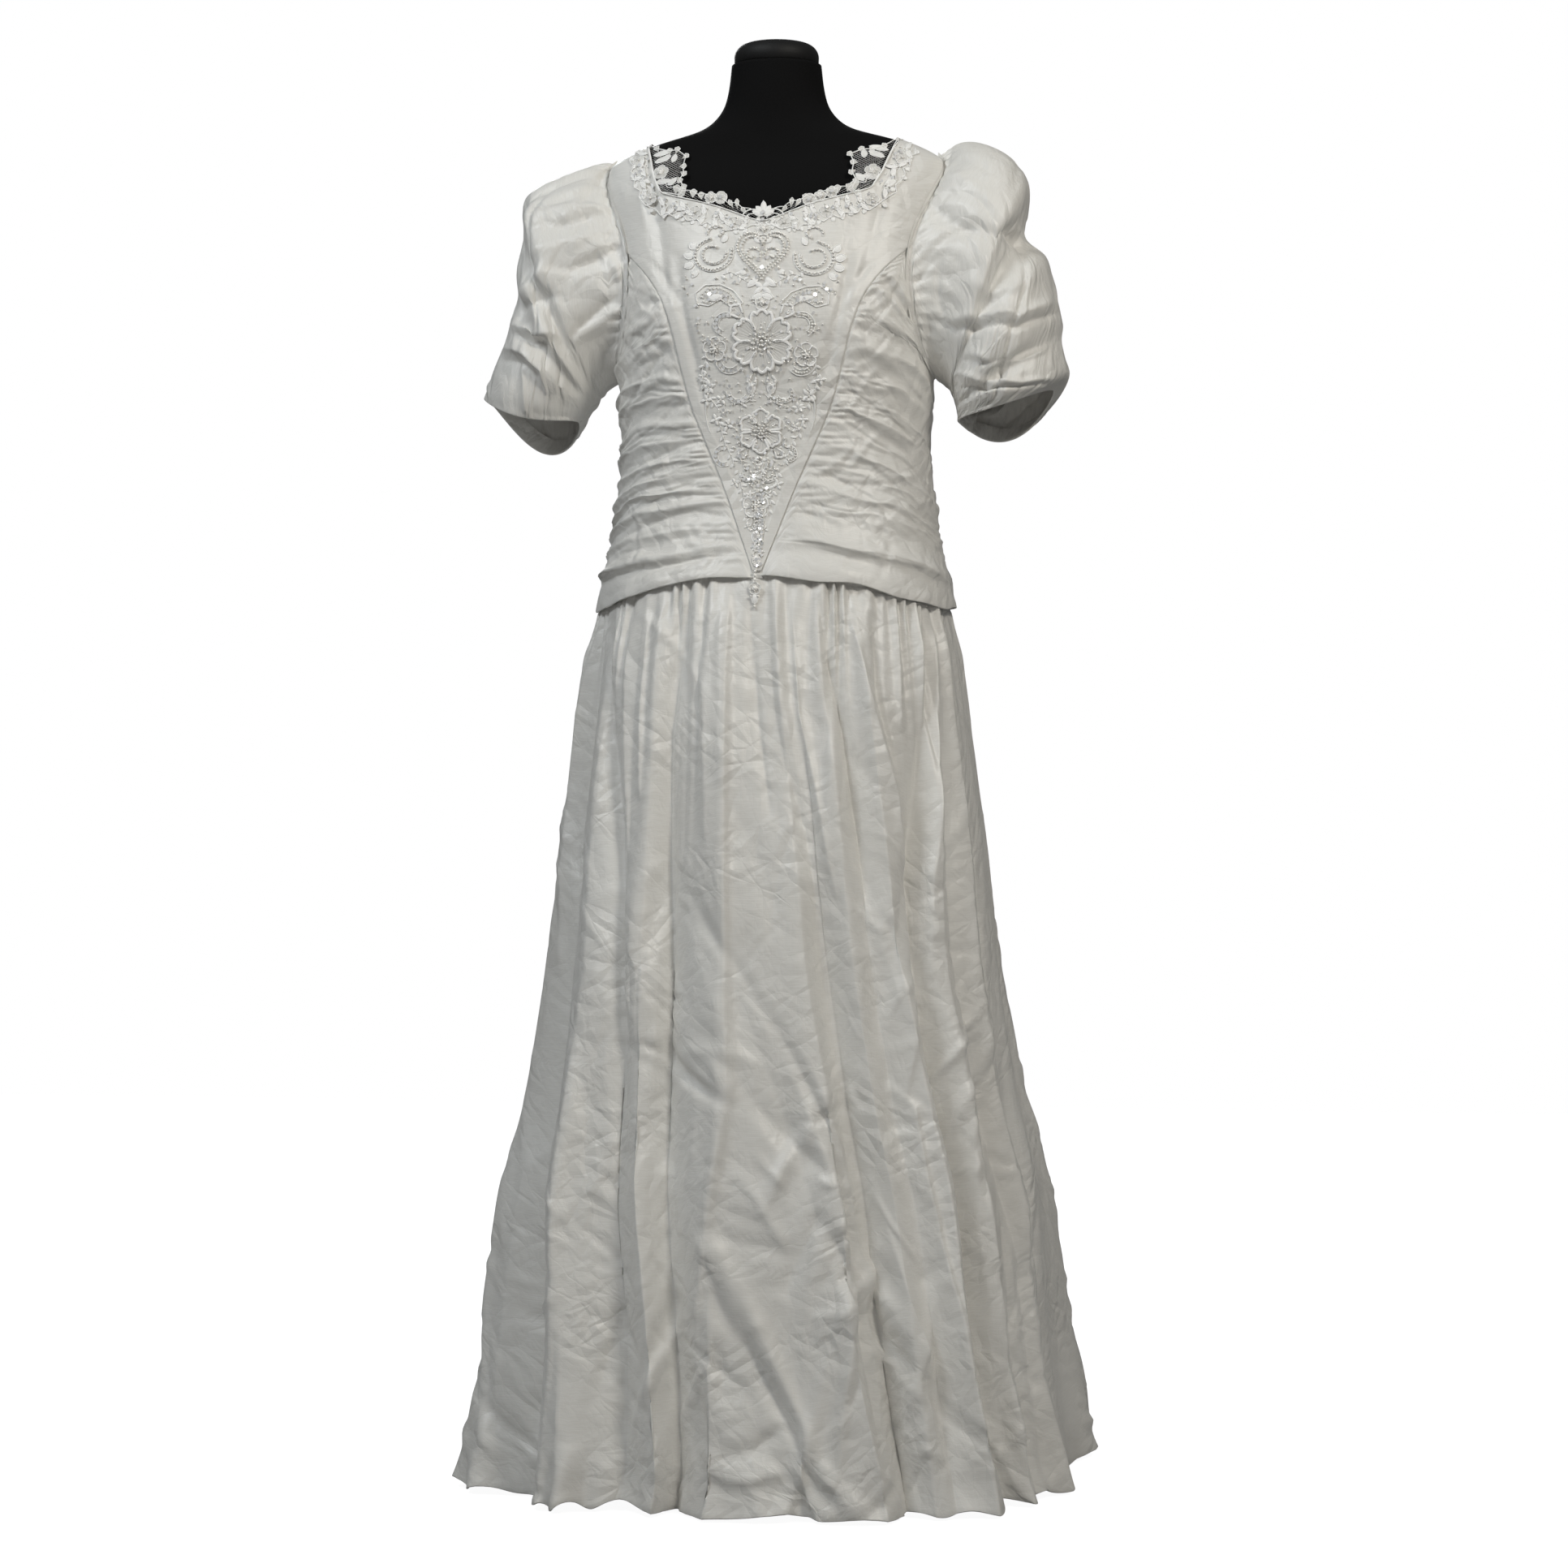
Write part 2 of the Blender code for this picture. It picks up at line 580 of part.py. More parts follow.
def grid_mesh(name, rows, closed=False, holes=frozenset()):
    """Quads between rows of points, top row first and each row with rising angle, so that they face out."""
    columns = len(rows[0])
    vertices = [point for row in rows for point in row]
    faces = []
    for i in range(len(rows) - 1):
        for j in range(columns if closed else columns - 1):
            if (i, j) in holes:
                continue
            k = (j + 1) % columns
            corners = (i * columns + j, (i + 1) * columns + j, (i + 1) * columns + k, i * columns + k)
            faces.append(corners)
    mesh = bpy.data.meshes.new(name)
    mesh.from_pydata(vertices, [], faces)
    mesh.update()
    return mesh


def welded_mesh(name, grids):
    """Grids of quads in one mesh, joined where their points meet."""
    vertices, faces, known = [], [], {}

    def index_of(point):
        key = tuple(round(value, 6) + 0.0 for value in point)
        if key not in known:
            known[key] = len(vertices)
            vertices.append(point)
        return known[key]

    for rows in grids:
        for above, below in zip(rows, rows[1:]):
            for j in range(len(above) - 1):
                corners = (above[j], below[j], below[j + 1], above[j + 1])
                faces.append(tuple(index_of(corner) for corner in corners))
    mesh = bpy.data.meshes.new(name)
    mesh.from_pydata(vertices, [], faces)
    mesh.update()
    return mesh


def add_wall(new_object, thickness):
    """Give an open surface its wall, inwards from the outer face."""
    solidify = new_object.modifiers.new("wall", "SOLIDIFY")
    solidify.thickness = thickness
    solidify.offset = -1.0
    solidify.use_even_offset = False


def cloth_panel(name, rows, collection, material, thickness=WALL, closed=False, holes=frozenset()):
    """A panel of cloth: an open grid with a wall."""
    panel = add_object(name, grid_mesh(name, rows, closed, holes), collection, material)
    add_wall(panel, thickness)
    return panel


def capped_rings(name, rings, collection, material):
    """A closed solid through rings of points, top ring first, with a fan over each end."""
    columns = len(rings[0])
    vertices = [point for ring in rings for point in ring]
    faces = []
    for i in range(len(rings) - 1):
        for j in range(columns):
            k = (j + 1) % columns
            faces.append((i * columns + j, (i + 1) * columns + j, (i + 1) * columns + k, i * columns + k))
    last = (len(rings) - 1) * columns
    faces.append(tuple(range(columns)))
    faces.append(tuple(last + j for j in reversed(range(columns))))
    mesh = bpy.data.meshes.new(name)
    mesh.from_pydata(vertices, [], faces)
    mesh.update()
    return add_object(name, mesh, collection, material)


def turned_solid(name, profile, z, collection, material, steps=32):
    """A turned solid from (radius, height) pairs that run from the top of the axis to its bottom."""
    mesh = bpy.data.meshes.new(name)
    vertices = [(radius, 0.0, z + height) for radius, height in profile]
    mesh.from_pydata(vertices, [(i, i + 1) for i in range(len(vertices) - 1)], [])
    turned = add_object(name, mesh, collection, material)
    screw = turned.modifiers.new("turn", "SCREW")
    screw.axis = "Z"
    screw.angle = math.tau
    screw.steps = steps
    screw.render_steps = steps
    screw.use_merge_vertices = True
    screw.merge_threshold = 0.00001
    return turned


# The form and its stand

def make_form(collection, black, cap_black, metal):
    """Torso, neck cap, pole and base."""
    rings = [form_ring(z, 0.0) for z in FORM_LEVELS]
    rings.append(form_ring(FORM_BOTTOM_Z, FORM_BOTTOM_ROUNDING))
    capped_rings("dress_form_torso", rings, collection, black)

    cap_profile = [(CAP_RADIUS * radius, CAP_THICKNESS * height) for radius, height in CAP_PROFILE]
    turned_solid("dress_form_neck_cap", cap_profile, NECK_TOP_Z + LAY_GAP, collection, cap_black, steps=20)

    pole_bottom = HUB_TOP_Z + LAY_GAP
    pole_length = FORM_BOTTOM_Z - LAY_GAP - pole_bottom
    pole_profile = [(0.0, pole_length), (POLE_RADIUS, pole_length), (POLE_RADIUS, 0.0), (0.0, 0.0)]
    turned_solid("dress_form_pole", pole_profile, pole_bottom, collection, metal, steps=12)

    base_profile = [
        (0.0, HUB_TOP_Z),
        (HUB_RADIUS * 0.85, HUB_TOP_Z),
        (HUB_RADIUS, HUB_TOP_Z - HUB_EDGE),
        (HUB_RADIUS, BASE_THICKNESS + HUB_EDGE),
        (HUB_RADIUS + HUB_FLARE, BASE_THICKNESS),
        (BASE_RADIUS - BASE_EDGE, BASE_THICKNESS),
        (BASE_RADIUS, BASE_THICKNESS - BASE_EDGE),
        (BASE_RADIUS, 0.0),
        (0.0, 0.0),
    ]
    turned_solid("dress_form_base", base_profile, 0.0, collection, metal, steps=24)


def form_ring(z, extra_inset, steps=20):
    """Ring of the form: the body surface, lower by the shoulder drop and inset."""
    inset = smooth_lookup(FORM_INSET, z)[0] + extra_inset
    ring = []
    for k in range(steps):
        point = section_point(BODY_SECTIONS, 360.0 * k / steps, z + SHOULDER_DROP)
        flat = Vector((point.x, point.y, 0.0))
        flat *= (flat.length - inset) / flat.length
        ring.append((flat.x, flat.y, z))
    return ring


# Bodice

def ruche_rows(table):
    """The ruche table with a last row on the waist seam."""
    return table + [(TIP_Z, SIDE_WAIST_Z, SIDE_WAIST_Z, 0, 0, 0)]


def center_lines():
    """Lines across the yoke of one half of the smooth front: (angle, z) at the neckline and (angle, z) below."""
    turn_last, share_last = YOKE_LINES[-1]
    angle_last, z_last = armhole(turn_last)
    lower = [armhole(turn) for turn, _ in YOKE_LINES]
    shares = [share for _, share in YOKE_LINES]
    for k in range(1, V_COLUMNS_HALF + 1):
        lower.append((angle_last * (1.0 - k / V_COLUMNS_HALF), z_last))
        shares.append(share_last + (1.0 - share_last) * k / V_COLUMNS_HALF)
    places = [point_along(NECK_EDGE, share) for share in shares]
    upper = [(angle_at(x, z), z) for x, z in places]
    return upper, lower


def make_center_front(collection, satin):
    """Smooth front: a yoke with its shoulder straps, and the long V below it."""
    half_upper, half_lower = center_lines()
    upper = [(-angle, z) for angle, z in half_upper[:-1]] + list(reversed(half_upper))
    lower = [(-angle, z) for angle, z in half_lower[:-1]] + list(reversed(half_lower))
    yoke = []
    for i in range(YOKE_STEPS + 1):
        share = i / YOKE_STEPS
        row = []
        for (angle_up, z_up), (angle_low, z_low) in zip(upper, lower):
            angle = angle_up + (angle_low - angle_up) * share
            row.append(section_point(BODY_SECTIONS, angle, z_up + (z_low - z_up) * share))
        yoke.append(row)
    angle_top, z_top = half_lower[-V_COLUMNS_HALF - 1]
    long_v = []
    for i in range(V_ROWS + 1):
        z = z_top + (TIP_Z - z_top) * i / V_ROWS
        reach = v_seam_angle(z) if i else angle_top
        columns = range(-V_COLUMNS_HALF, V_COLUMNS_HALF + 1)
        long_v.append([section_point(BODY_SECTIONS, reach * k / V_COLUMNS_HALF, z) for k in columns])
    front = add_object("bodice_center_front", welded_mesh("bodice_center_front", [yoke, long_v]), collection, satin)
    add_wall(front, WALL)


def seam_steps(count):
    """Places of lines along an edge that starts at the shoulder seam: short steps, then even ones."""
    first = list(SHOULDER_STEPS)
    return first + [float(k) for k in range(1, count - len(first) + 1)]


def ruche_grid(table):
    """Grid of one ruched side panel on the +X side: a row for each crest and trough, columns from V to side."""
    rows = []
    for z_seam, z_middle, z_outer, out_seam, out_middle, out_outer in ruche_rows(table):
        underarm = z_outer <= armhole(180.0)[1]
        angle_outer = 90.0 if underarm else armhole(armhole_turn_at(z_outer))[0]
        angle_seam = v_seam_angle(z_seam)
        row = []
        for share in RUCHE_SHARES:
            angle = angle_seam + (angle_outer - angle_seam) * share
            z = through_three(z_seam, z_middle, z_outer, RUCHE_MIDDLE, share)
            if z_outer == SIDE_WAIST_Z:
                z = waist_z(angle) + WAIST_GAP
            out = through_three(out_seam, out_middle, out_outer, RUCHE_MIDDLE, share) * MILLIMETRE
            row.append(raised_point(BODY_SECTIONS, angle, z, out))
        row[0].x += 3.0 * SEAM_GAP
        if underarm:
            row[-1].y = -0.5 * SEAM_GAP
        rows.append(row)
    return rows


def mirrored(rows):
    """The same grid on the -X side, still with rising angles."""
    return [[Vector((-p.x, p.y, p.z)) for p in reversed(row)] for row in rows]


def make_side_fronts(collection, satin):
    """The two ruched side panels."""
    cloth_panel("bodice_side_front_left", ruche_grid(RUCHES_LEFT), collection, satin)
    cloth_panel("bodice_side_front_right", mirrored(ruche_grid(RUCHES_RIGHT)), collection, satin)


def back_grid(table):
    """Grid of one back panel on the +X side: a fan from the armhole and side seam to the neckline and centre back."""
    turns = [360.0 - turn for turn in SHOULDER_TURNS]
    turns += [360.0 - ARMHOLE_STEP * k for k in range(2, round(180.0 / ARMHOLE_STEP))]
    outer = [(*armhole(turn), 0.0) for turn in turns]
    underarm_z = armhole(180.0)[1]
    outer.append((90.0, underarm_z, 0.0))
    for row in ruche_rows(table):
        if row[2] < underarm_z - BACK_LINE_ROOM:
            outer.append((90.0, row[2], row[5] * MILLIMETRE))
    neck_steps = seam_steps(BACK_NECK_LINES)
    inner = []
    for step in neck_steps:
        x, z = point_along(NECK_EDGE_BACK, step / neck_steps[-1])
        inner.append((180.0 - angle_at(x, z), z))
    drop_steps = len(outer) - len(inner)
    neck_back_z = NECK_EDGE_BACK[-1][1]
    for k in range(1, drop_steps + 1):
        inner.append((180.0, neck_back_z + (SIDE_WAIST_Z - neck_back_z) * k / drop_steps))
    rows = []
    for (angle_out, z_out, out), (angle_in, z_in) in zip(outer, inner):
        row = []
        for share in BACK_SHARES:
            height = out * (1.0 - ease(share / BACK_FOLD_FADE))
            z = z_out + (z_in - z_out) * share
            row.append(raised_point(BODY_SECTIONS, angle_out + (angle_in - angle_out) * share, z, height))
        if z_out <= underarm_z:
            row[0].y = 0.5 * SEAM_GAP
        if angle_in == 180.0:
            row[-1].x = 0.5 * SEAM_GAP
        rows.append(row)
    rows[0] = [Vector((p.x, p.y + SEAM_GAP, p.z)) for p in rows[0]]
    rows[-1] = [Vector((p.x, p.y, p.z + 0.5 * SEAM_GAP)) for p in rows[-1]]
    return rows


def make_backs(collection, satin):
    """The two back panels, which close over the centre back."""
    cloth_panel("bodice_back_left", back_grid(RUCHES_LEFT), collection, satin)
    cloth_panel("bodice_back_right", mirrored(back_grid(RUCHES_RIGHT)), collection, satin)


def make_closing(collection, satin):
    """Placket over the centre back seam, with covered buttons."""
    top, bottom = BUTTON_TOP_Z + PLACKET_END, BUTTON_BOTTOM_Z - PLACKET_END
    out = LAY_GAP + CURVE_ROOM + SKIN
    reaches = [PLACKET_WIDTH * (j / PLACKET_COLUMNS - 0.5) for j in range(PLACKET_COLUMNS + 1)]
    rows = []
    for i in range(PLACKET_ROWS + 1):
        z = top + (bottom - top) * i / PLACKET_ROWS
        rows.append([raised_point(BODY_SECTIONS, 180.0 + angle_at(x, z), z, out) for x in reaches])
    cloth_panel("back_placket", rows, collection, satin, thickness=SKIN)
    for k in range(BUTTON_COUNT):
        z = BUTTON_TOP_Z + (BUTTON_BOTTOM_Z - BUTTON_TOP_Z) * k / (BUTTON_COUNT - 1)
        make_button(f"button_{k + 1:02d}", z, collection, satin)


def make_button(name, z, collection, satin):
    """A domed button that stands on the placket."""
    profile = [
        (0.0, BUTTON_HEIGHT),
        (BUTTON_RADIUS * 0.70, BUTTON_HEIGHT * 0.76),
        (BUTTON_RADIUS, BUTTON_HEIGHT * 0.28),
        (BUTTON_RADIUS * 0.85, 0.0),
        (0.0, 0.0),
    ]
    button = turned_solid(name, profile, 0.0, collection, satin, steps=8)
    normal = section_normal(BODY_SECTIONS, 180.0, z)
    button.location = raised_point(BODY_SECTIONS, 180.0, z, 2.0 * LAY_GAP + CURVE_ROOM + SKIN)
    button.rotation_mode = "QUATERNION"
    button.rotation_quaternion = normal.to_track_quat("Z", "Y")


# Sleeves

def sleeve_grid(table):
    """Tube of one sleeve on the +X side; its first ring follows the armhole, just inside it."""
    centre = Vector((0.0, 0.0, 0.0))
    armhole_ring = []
    for k in range(SLEEVE_STEPS):
        angle, z = armhole(360.0 * k / SLEEVE_STEPS)
        armhole_ring.append(raised_point(BODY_SECTIONS, angle, z, SLEEVE_LIFT))
    for point in armhole_ring:
        centre += point / SLEEVE_STEPS
    armhole_ring = [p + (centre - p).normalized() * SLEEVE_INSET for p in armhole_ring]
    rows = []
    for index, ring in enumerate(table):
        setting = SLEEVE_SETTING[index] if index < len(SLEEVE_SETTING) else 1.0
        row = []
        for k in range(SLEEVE_STEPS):
            turn = math.tau * k / SLEEVE_STEPS
            row.append(armhole_ring[k].lerp(sleeve_point(ring, turn), setting))
        rows.append(row)
    return rows


def sleeve_point(ring, turn):
    """Point of a sleeve ring, turning from the top forward and round the underarm."""
    x_over, z_over, x_under, z_under, half_front, half_back, sag_front, sag_back = ring
    across = 0.5 + 0.5 * math.cos(turn)
    x = x_under + (x_over - x_under) * across
    z = z_under + (z_over - z_under) * across
    sine = math.sin(turn)
    half, sag = (half_front, sag_front) if sine > 0.0 else (half_back, sag_back)
    return Vector((x, -half * sine, z - sag * sine * sine))


def make_sleeves(collection, satin):
    """The two puffed sleeves."""
    left = sleeve_grid(SLEEVE_LEFT)
    right = [[Vector((-p.x, p.y, p.z)) for p in [row[0]] + row[:0:-1]] for row in sleeve_grid(SLEEVE_RIGHT)]
    for name, rows in (("sleeve_left", left), ("sleeve_right", right)):
        facing_out = [list(reversed(row)) for row in rows]
        cloth_panel(name, facing_out, collection, satin, closed=True)


# Skirt

def fold_share(z):
    """Share of the way down the skirt of a level."""
    return (SIDE_WAIST_Z - z) / (SIDE_WAIST_Z - HEM_Z)


def at_share(values, down):
    """A fold's angle or height at a share of the way down, from its values at the three levels."""
    levels = [fold_share(z) for z in SKIRT_LEVELS]
    return smooth_lookup(list(zip(levels, values)), down)[0]


def skirt_point(folds, place, down):
    """Point of the skirt at a place among the folds (whole numbers are crests and troughs) and a share down."""
    index = min(int(place), len(folds) - 2)
    share = place - index
    low, high = folds[index], folds[index + 1]
    angle_low, angle_high = at_share(low[:3], down), at_share(high[:3], down)
    angle = angle_low + (angle_high - angle_low) * share
    out_low, out_high = at_share(low[3:], down), at_share(high[3:], down)
    out = (out_low + (out_high - out_low) * ease(share)) * MILLIMETRE
    fading = max(0.0, 1.0 - down / GATHER_FADE)
    edges = min(place, len(folds) - 1 - place, 1.0)
    out += GATHER_HEIGHT * math.cos(math.tau * place) * fading * edges
    top = waist_z(angle) - 0.5 * SEAM_GAP
    z = top + (HEM_Z - top) * down
    out *= ease(FOLD_START + down / FOLD_GROWTH)
    return level_point(SKIRT_SECTIONS, angle, z, out)


def skirt_grid(folds):
    """Grid of a skirt panel."""
    places = [k / FOLD_STEPS for k in range((len(folds) - 1) * FOLD_STEPS + 1)]
    return [[skirt_point(folds, place, down) for place in places] for down in SKIRT_SHARES]


def make_skirt(collection, satin):
    """Front panel and two back panels."""
    front = skirt_grid(FOLDS_FRONT)
    back_left = skirt_grid(FOLDS_BACK_LEFT)
    back_right = skirt_grid(FOLDS_BACK_RIGHT)
    gap = 0.5 * SEAM_GAP
    for row in front:
        row[0].y -= gap
        row[-1].y -= gap
    for row in back_left:
        row[0].y += gap
        row[-1].x += gap
    for row in back_right:
        row[0].x -= gap
        row[-1].y += gap
    cloth_panel("skirt_front", front, collection, satin)
    cloth_panel("skirt_back_left", back_left, collection, satin)
    cloth_panel("skirt_back_right", back_right, collection, satin)


# Lace and appliques

def lace_place(share, up):
    """Point over the front neckline at a share of its length, up over its edge (down is negative)."""
    neck = [(-x, z) for x, z in NECK_EDGE[:-1]] + [(x, z) for x, z in reversed(NECK_EDGE)]
    x, z = point_along(neck, share)
    ahead = point_along(neck, min(share + LACE_PROBE, 1.0))
    behind = point_along(neck, max(share - LACE_PROBE, 0.0))
    along = Vector((ahead[0] - behind[0], ahead[1] - behind[1])).normalized()
    x -= along.y * up
    z += along.x * up
    return raised_point(BODY_SECTIONS, angle_at(x, z), z, LAY_GAP + CURVE_ROOM + SKIN)


def lace_rise(share):
    """How far the lace stands above the edge: more at the corners and at the centre."""
    from_centre = abs(share - 0.5)
    corner = math.exp(-((from_centre - LACE_CORNER_PLACE) / LACE_CORNER_WIDTH) ** 2)
    centre = math.exp(-(from_centre / LACE_CENTRE_WIDTH) ** 2)
    return LACE_RISE + LACE_CORNER_RISE * corner + LACE_CENTRE_RISE * centre


def lace_depth(share):
    """How far the lace reaches down on the satin."""
    centre = math.exp(-((share - 0.5) / LACE_SHORT_WIDTH) ** 2)
    return LACE_BAND_DEPTH * (1.0 - LACE_CENTRE_SHORTER * centre)


def make_neck_lace(collection, lace):
    """Lace edging: a band on the satin and an open net with a scalloped edge above it."""
    cells = 2 * LACE_CELLS_HALF
    rows = []
    for level in LACE_LEVELS:
        row = []
        for k in range(cells + 1):
            share = LACE_END + (1.0 - 2.0 * LACE_END) * k / cells
            rise = lace_rise(share)
            up = level * rise if level > 0.0 else level * lace_depth(share)
            if level == 1.0:
                up += LACE_SCALLOP * (k % 2)
            row.append(lace_place(share, up))
        rows.append(row)
    holes = {(LACE_OPEN_ROW, k) for k in range(1, cells - 1) if k % 2 == 1}
    cloth_panel("neck_lace", rows, collection, lace, thickness=SKIN, holes=holes)


def front_place(x, z, out):
    """Point over the smooth front."""
    return raised_point(BODY_SECTIONS, angle_at(x, z), z, LAY_GAP + MOTIF_ROOM + SKIN + out)


def relief_disc(name, outline, height_at, x, z, collection, material, steps=30):
    """A raised motif: rings of points from a small middle to its outline, with a wall."""
    rows = []
    for share in MOTIF_RINGS:
        ring = []
        for k in range(steps):
            turn = math.tau * k / steps
            reach_x, reach_z = outline(turn)
            ring.append(front_place(x + reach_x * share, z + reach_z * share, height_at(turn, share)))
        rows.append(ring)
    vertices = [point for row in rows for point in row]
    faces = []
    for i in range(len(rows) - 1):
        for j in range(steps):
            k = (j + 1) % steps
            faces.append((i * steps + k, (i + 1) * steps + k, (i + 1) * steps + j, i * steps + j))
    faces.append(tuple(reversed(range(steps))))
    mesh = bpy.data.meshes.new(name)
    mesh.from_pydata(vertices, [], faces)
    mesh.update()
    motif = add_object(name, mesh, collection, material)
    add_wall(motif, SKIN)
    return motif


def make_flower(row, collection, lace):
    """A flower with round petals and a raised middle."""
    name, x, z, radius, petals, height = row

    def outline(turn):
        petal = abs(math.cos(0.5 * petals * turn)) ** PETAL_FULLNESS
        reach = radius * (1.0 - PETAL_NOTCH * (1.0 - petal))
        return reach * math.sin(turn), reach * math.cos(turn)

    def height_at(turn, share):
        petal = abs(math.cos(0.5 * petals * turn))
        rim = math.sin(math.pi * share) * petal
        middle = 1.0 if share == MOTIF_RINGS[0] else 0.0
        return height * (PETAL_RELIEF * rim + MIDDLE_RELIEF * middle)

    spokes = 6 if radius > 0.015 else 4
    relief_disc(name, outline, height_at, x, z, collection, lace, steps=spokes * petals)


def make_drop(row, collection, lace):
    """A bead-like drop."""
    name, x, z, half_width, half_height = row

    def outline(turn):
        narrow = 1.0 - DROP_NARROWING * max(math.cos(turn), 0.0)
        return half_width * narrow * math.sin(turn), half_height * math.cos(turn)

    def height_at(_, share):
        return DROP_HEIGHT * math.sqrt(1.0 - share * share)

    relief_disc(name, outline, height_at, x, z, collection, lace, steps=DROP_STEPS)


def cord_object(name, points, radius, collection, material):
    """A round cord through points."""
    curve = bpy.data.curves.new(name, "CURVE")
    curve.dimensions = "3D"
    curve.bevel_depth = radius
    curve.bevel_resolution = 0
    curve.use_fill_caps = True
    spline = curve.splines.new("POLY")
    spline.points.add(len(points) - 1)
    for spline_point, point in zip(spline.points, points):
        spline_point.co = (*point, 1.0)
    cord = bpy.data.objects.new(name, curve)
    curve.materials.append(material)
    collection.objects.link(cord)
    return cord


def cord_place(x, z):
    """Centre of a cord that lies on the smooth front."""
    return raised_point(BODY_SECTIONS, angle_at(x, z), z, LAY_GAP + MOTIF_ROOM + CORD_RADIUS)


def make_scroll(row, collection, lace):
    """A scroll of cord that winds inwards."""
    name, x, z, half_width, half_height, start_turn, end_turn, end_shrink = row
    side = math.copysign(1.0, x)
    points = []
    for k in range(SCROLL_STEPS + 1):
        share = k / SCROLL_STEPS
        turn = math.radians(start_turn + (end_turn - start_turn) * share)
        size = 1.0 + (end_shrink - 1.0) * share
        reach_x = side * half_width * size * math.cos(turn)
        reach_z = half_height * size * math.sin(turn)
        points.append(cord_place(x + reach_x, z + reach_z))
    cord_object(name, points, CORD_RADIUS, collection, lace)


def make_heart(collection, lace):
    """A heart-shaped frame of cord, open at the top between its two curls."""
    centre_x, centre_z = HEART_CENTRE
    points = []
    for k in range(HEART_STEPS + 1):
        turn = math.radians(HEART_OPEN_TURN + (360.0 - 2.0 * HEART_OPEN_TURN) * k / HEART_STEPS)
        sine, cosine = math.sin(turn), math.cos(turn)
        wide = sine * (1.0 + HEART_CHEEK * cosine)
        tall = cosine + HEART_SHOULDER * (sine * sine - 0.5)
        points.append(cord_place(centre_x + HEART_HALF_WIDTH * wide, centre_z + HEART_HALF_HEIGHT * tall))
    cord_object("heart_frame", points, CORD_RADIUS, collection, lace)


def make_sprig(row, collection, lace):
    """A curved sprig of cord."""
    name, x, z, side = row
    points = []
    for k in range(SPRIG_STEPS + 1):
        share = k / SPRIG_STEPS
        reach = SPRIG_LENGTH * (share - 0.5)
        bow = SPRIG_BOW * math.sin(math.pi * share)
        points.append(cord_place(x + side * (SPRIG_SLANT * reach + bow), z - reach))
    cord_object(name, points, CORD_RADIUS, collection, lace)


def make_appliques(collection, lace):
    """All raised motifs of the smooth front."""
    for row in FLOWERS:
        make_flower(row, collection, lace)
    for row in DROPS:
        make_drop(row, collection, lace)
    for row in SCROLLS:
        make_scroll(row, collection, lace)
    for row in SPRIGS:
        make_sprig(row, collection, lace)
    make_heart(collection, lace)


def build():
    """Make every piece of the dress and its form."""
    clear_scene()
    collection = bpy.data.collections.new(COLLECTION_NAME)
    bpy.context.scene.collection.children.link(collection)
    satin = make_material("ivory_satin", (0.80, 0.80, 0.77), 0.45)
    lace = make_material("ivory_lace", (0.84, 0.84, 0.81), 0.60)
    black = make_material("black_jersey", (0.012, 0.012, 0.013), 0.85)
    cap_black = make_material("black_cap", (0.020, 0.020, 0.022), 0.45)
    metal = make_material("black_metal", (0.030, 0.030, 0.032), 0.40, 0.8)
    make_form(collection, black, cap_black, metal)
    make_center_front(collection, satin)
    make_side_fronts(collection, satin)
    make_backs(collection, satin)
    make_closing(collection, satin)
    make_sleeves(collection, satin)
    make_skirt(collection, satin)
    make_neck_lace(collection, lace)
    make_appliques(collection, lace)


build()
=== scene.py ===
"""Looks of the wedding dress on its dress form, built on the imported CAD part.

Units are metres, +Z is up and the dress faces -Y with its wearer's left at +X. Angles round the body are in
degrees from the front, growing towards +X. Every piece of cloth is a fine grid worked out from the same
tables as its solid, with creases, gathers and crumples added, and an edge turned under where it is on the
real one.
"""

import math

import bpy
import numpy as np
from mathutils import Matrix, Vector

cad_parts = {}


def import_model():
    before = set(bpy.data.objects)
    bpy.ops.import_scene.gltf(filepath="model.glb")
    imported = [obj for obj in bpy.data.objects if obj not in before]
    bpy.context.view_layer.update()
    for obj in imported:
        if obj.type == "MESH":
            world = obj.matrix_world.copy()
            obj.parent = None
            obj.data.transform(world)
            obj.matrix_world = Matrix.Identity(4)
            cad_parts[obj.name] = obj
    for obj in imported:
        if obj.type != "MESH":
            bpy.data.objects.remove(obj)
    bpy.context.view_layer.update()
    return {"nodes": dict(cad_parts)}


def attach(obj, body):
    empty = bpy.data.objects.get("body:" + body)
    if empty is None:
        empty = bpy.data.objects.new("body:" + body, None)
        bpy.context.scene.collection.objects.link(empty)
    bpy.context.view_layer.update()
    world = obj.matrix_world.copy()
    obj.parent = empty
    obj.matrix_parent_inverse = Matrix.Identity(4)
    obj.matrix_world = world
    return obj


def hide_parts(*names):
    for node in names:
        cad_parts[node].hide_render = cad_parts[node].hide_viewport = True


FLOOR_Z = -0.0005
MILLIMETRE = 0.001
FAR = 9.0                      # further than any fold or dent reaches

# Levels and openings of the dress
TIP_Z = 0.930
SIDE_WAIST_Z = 0.900
HEM_Z = 0.004
NECK_TOP_Z = 1.469
FORM_BOTTOM_Z = 0.800
SEAM_GAP = 0.0004
ARMHOLE_CENTRE_Z = 1.2535
ARMHOLE_HALF_HEIGHT = 0.1165
ARMHOLE_FRONT_REACH = 34.0
ARMHOLE_BACK_REACH = 30.0
ARMHOLE_TOP_POWER = 2.2
UNDERARM_Z = ARMHOLE_CENTRE_Z - ARMHOLE_HALF_HEIGHT

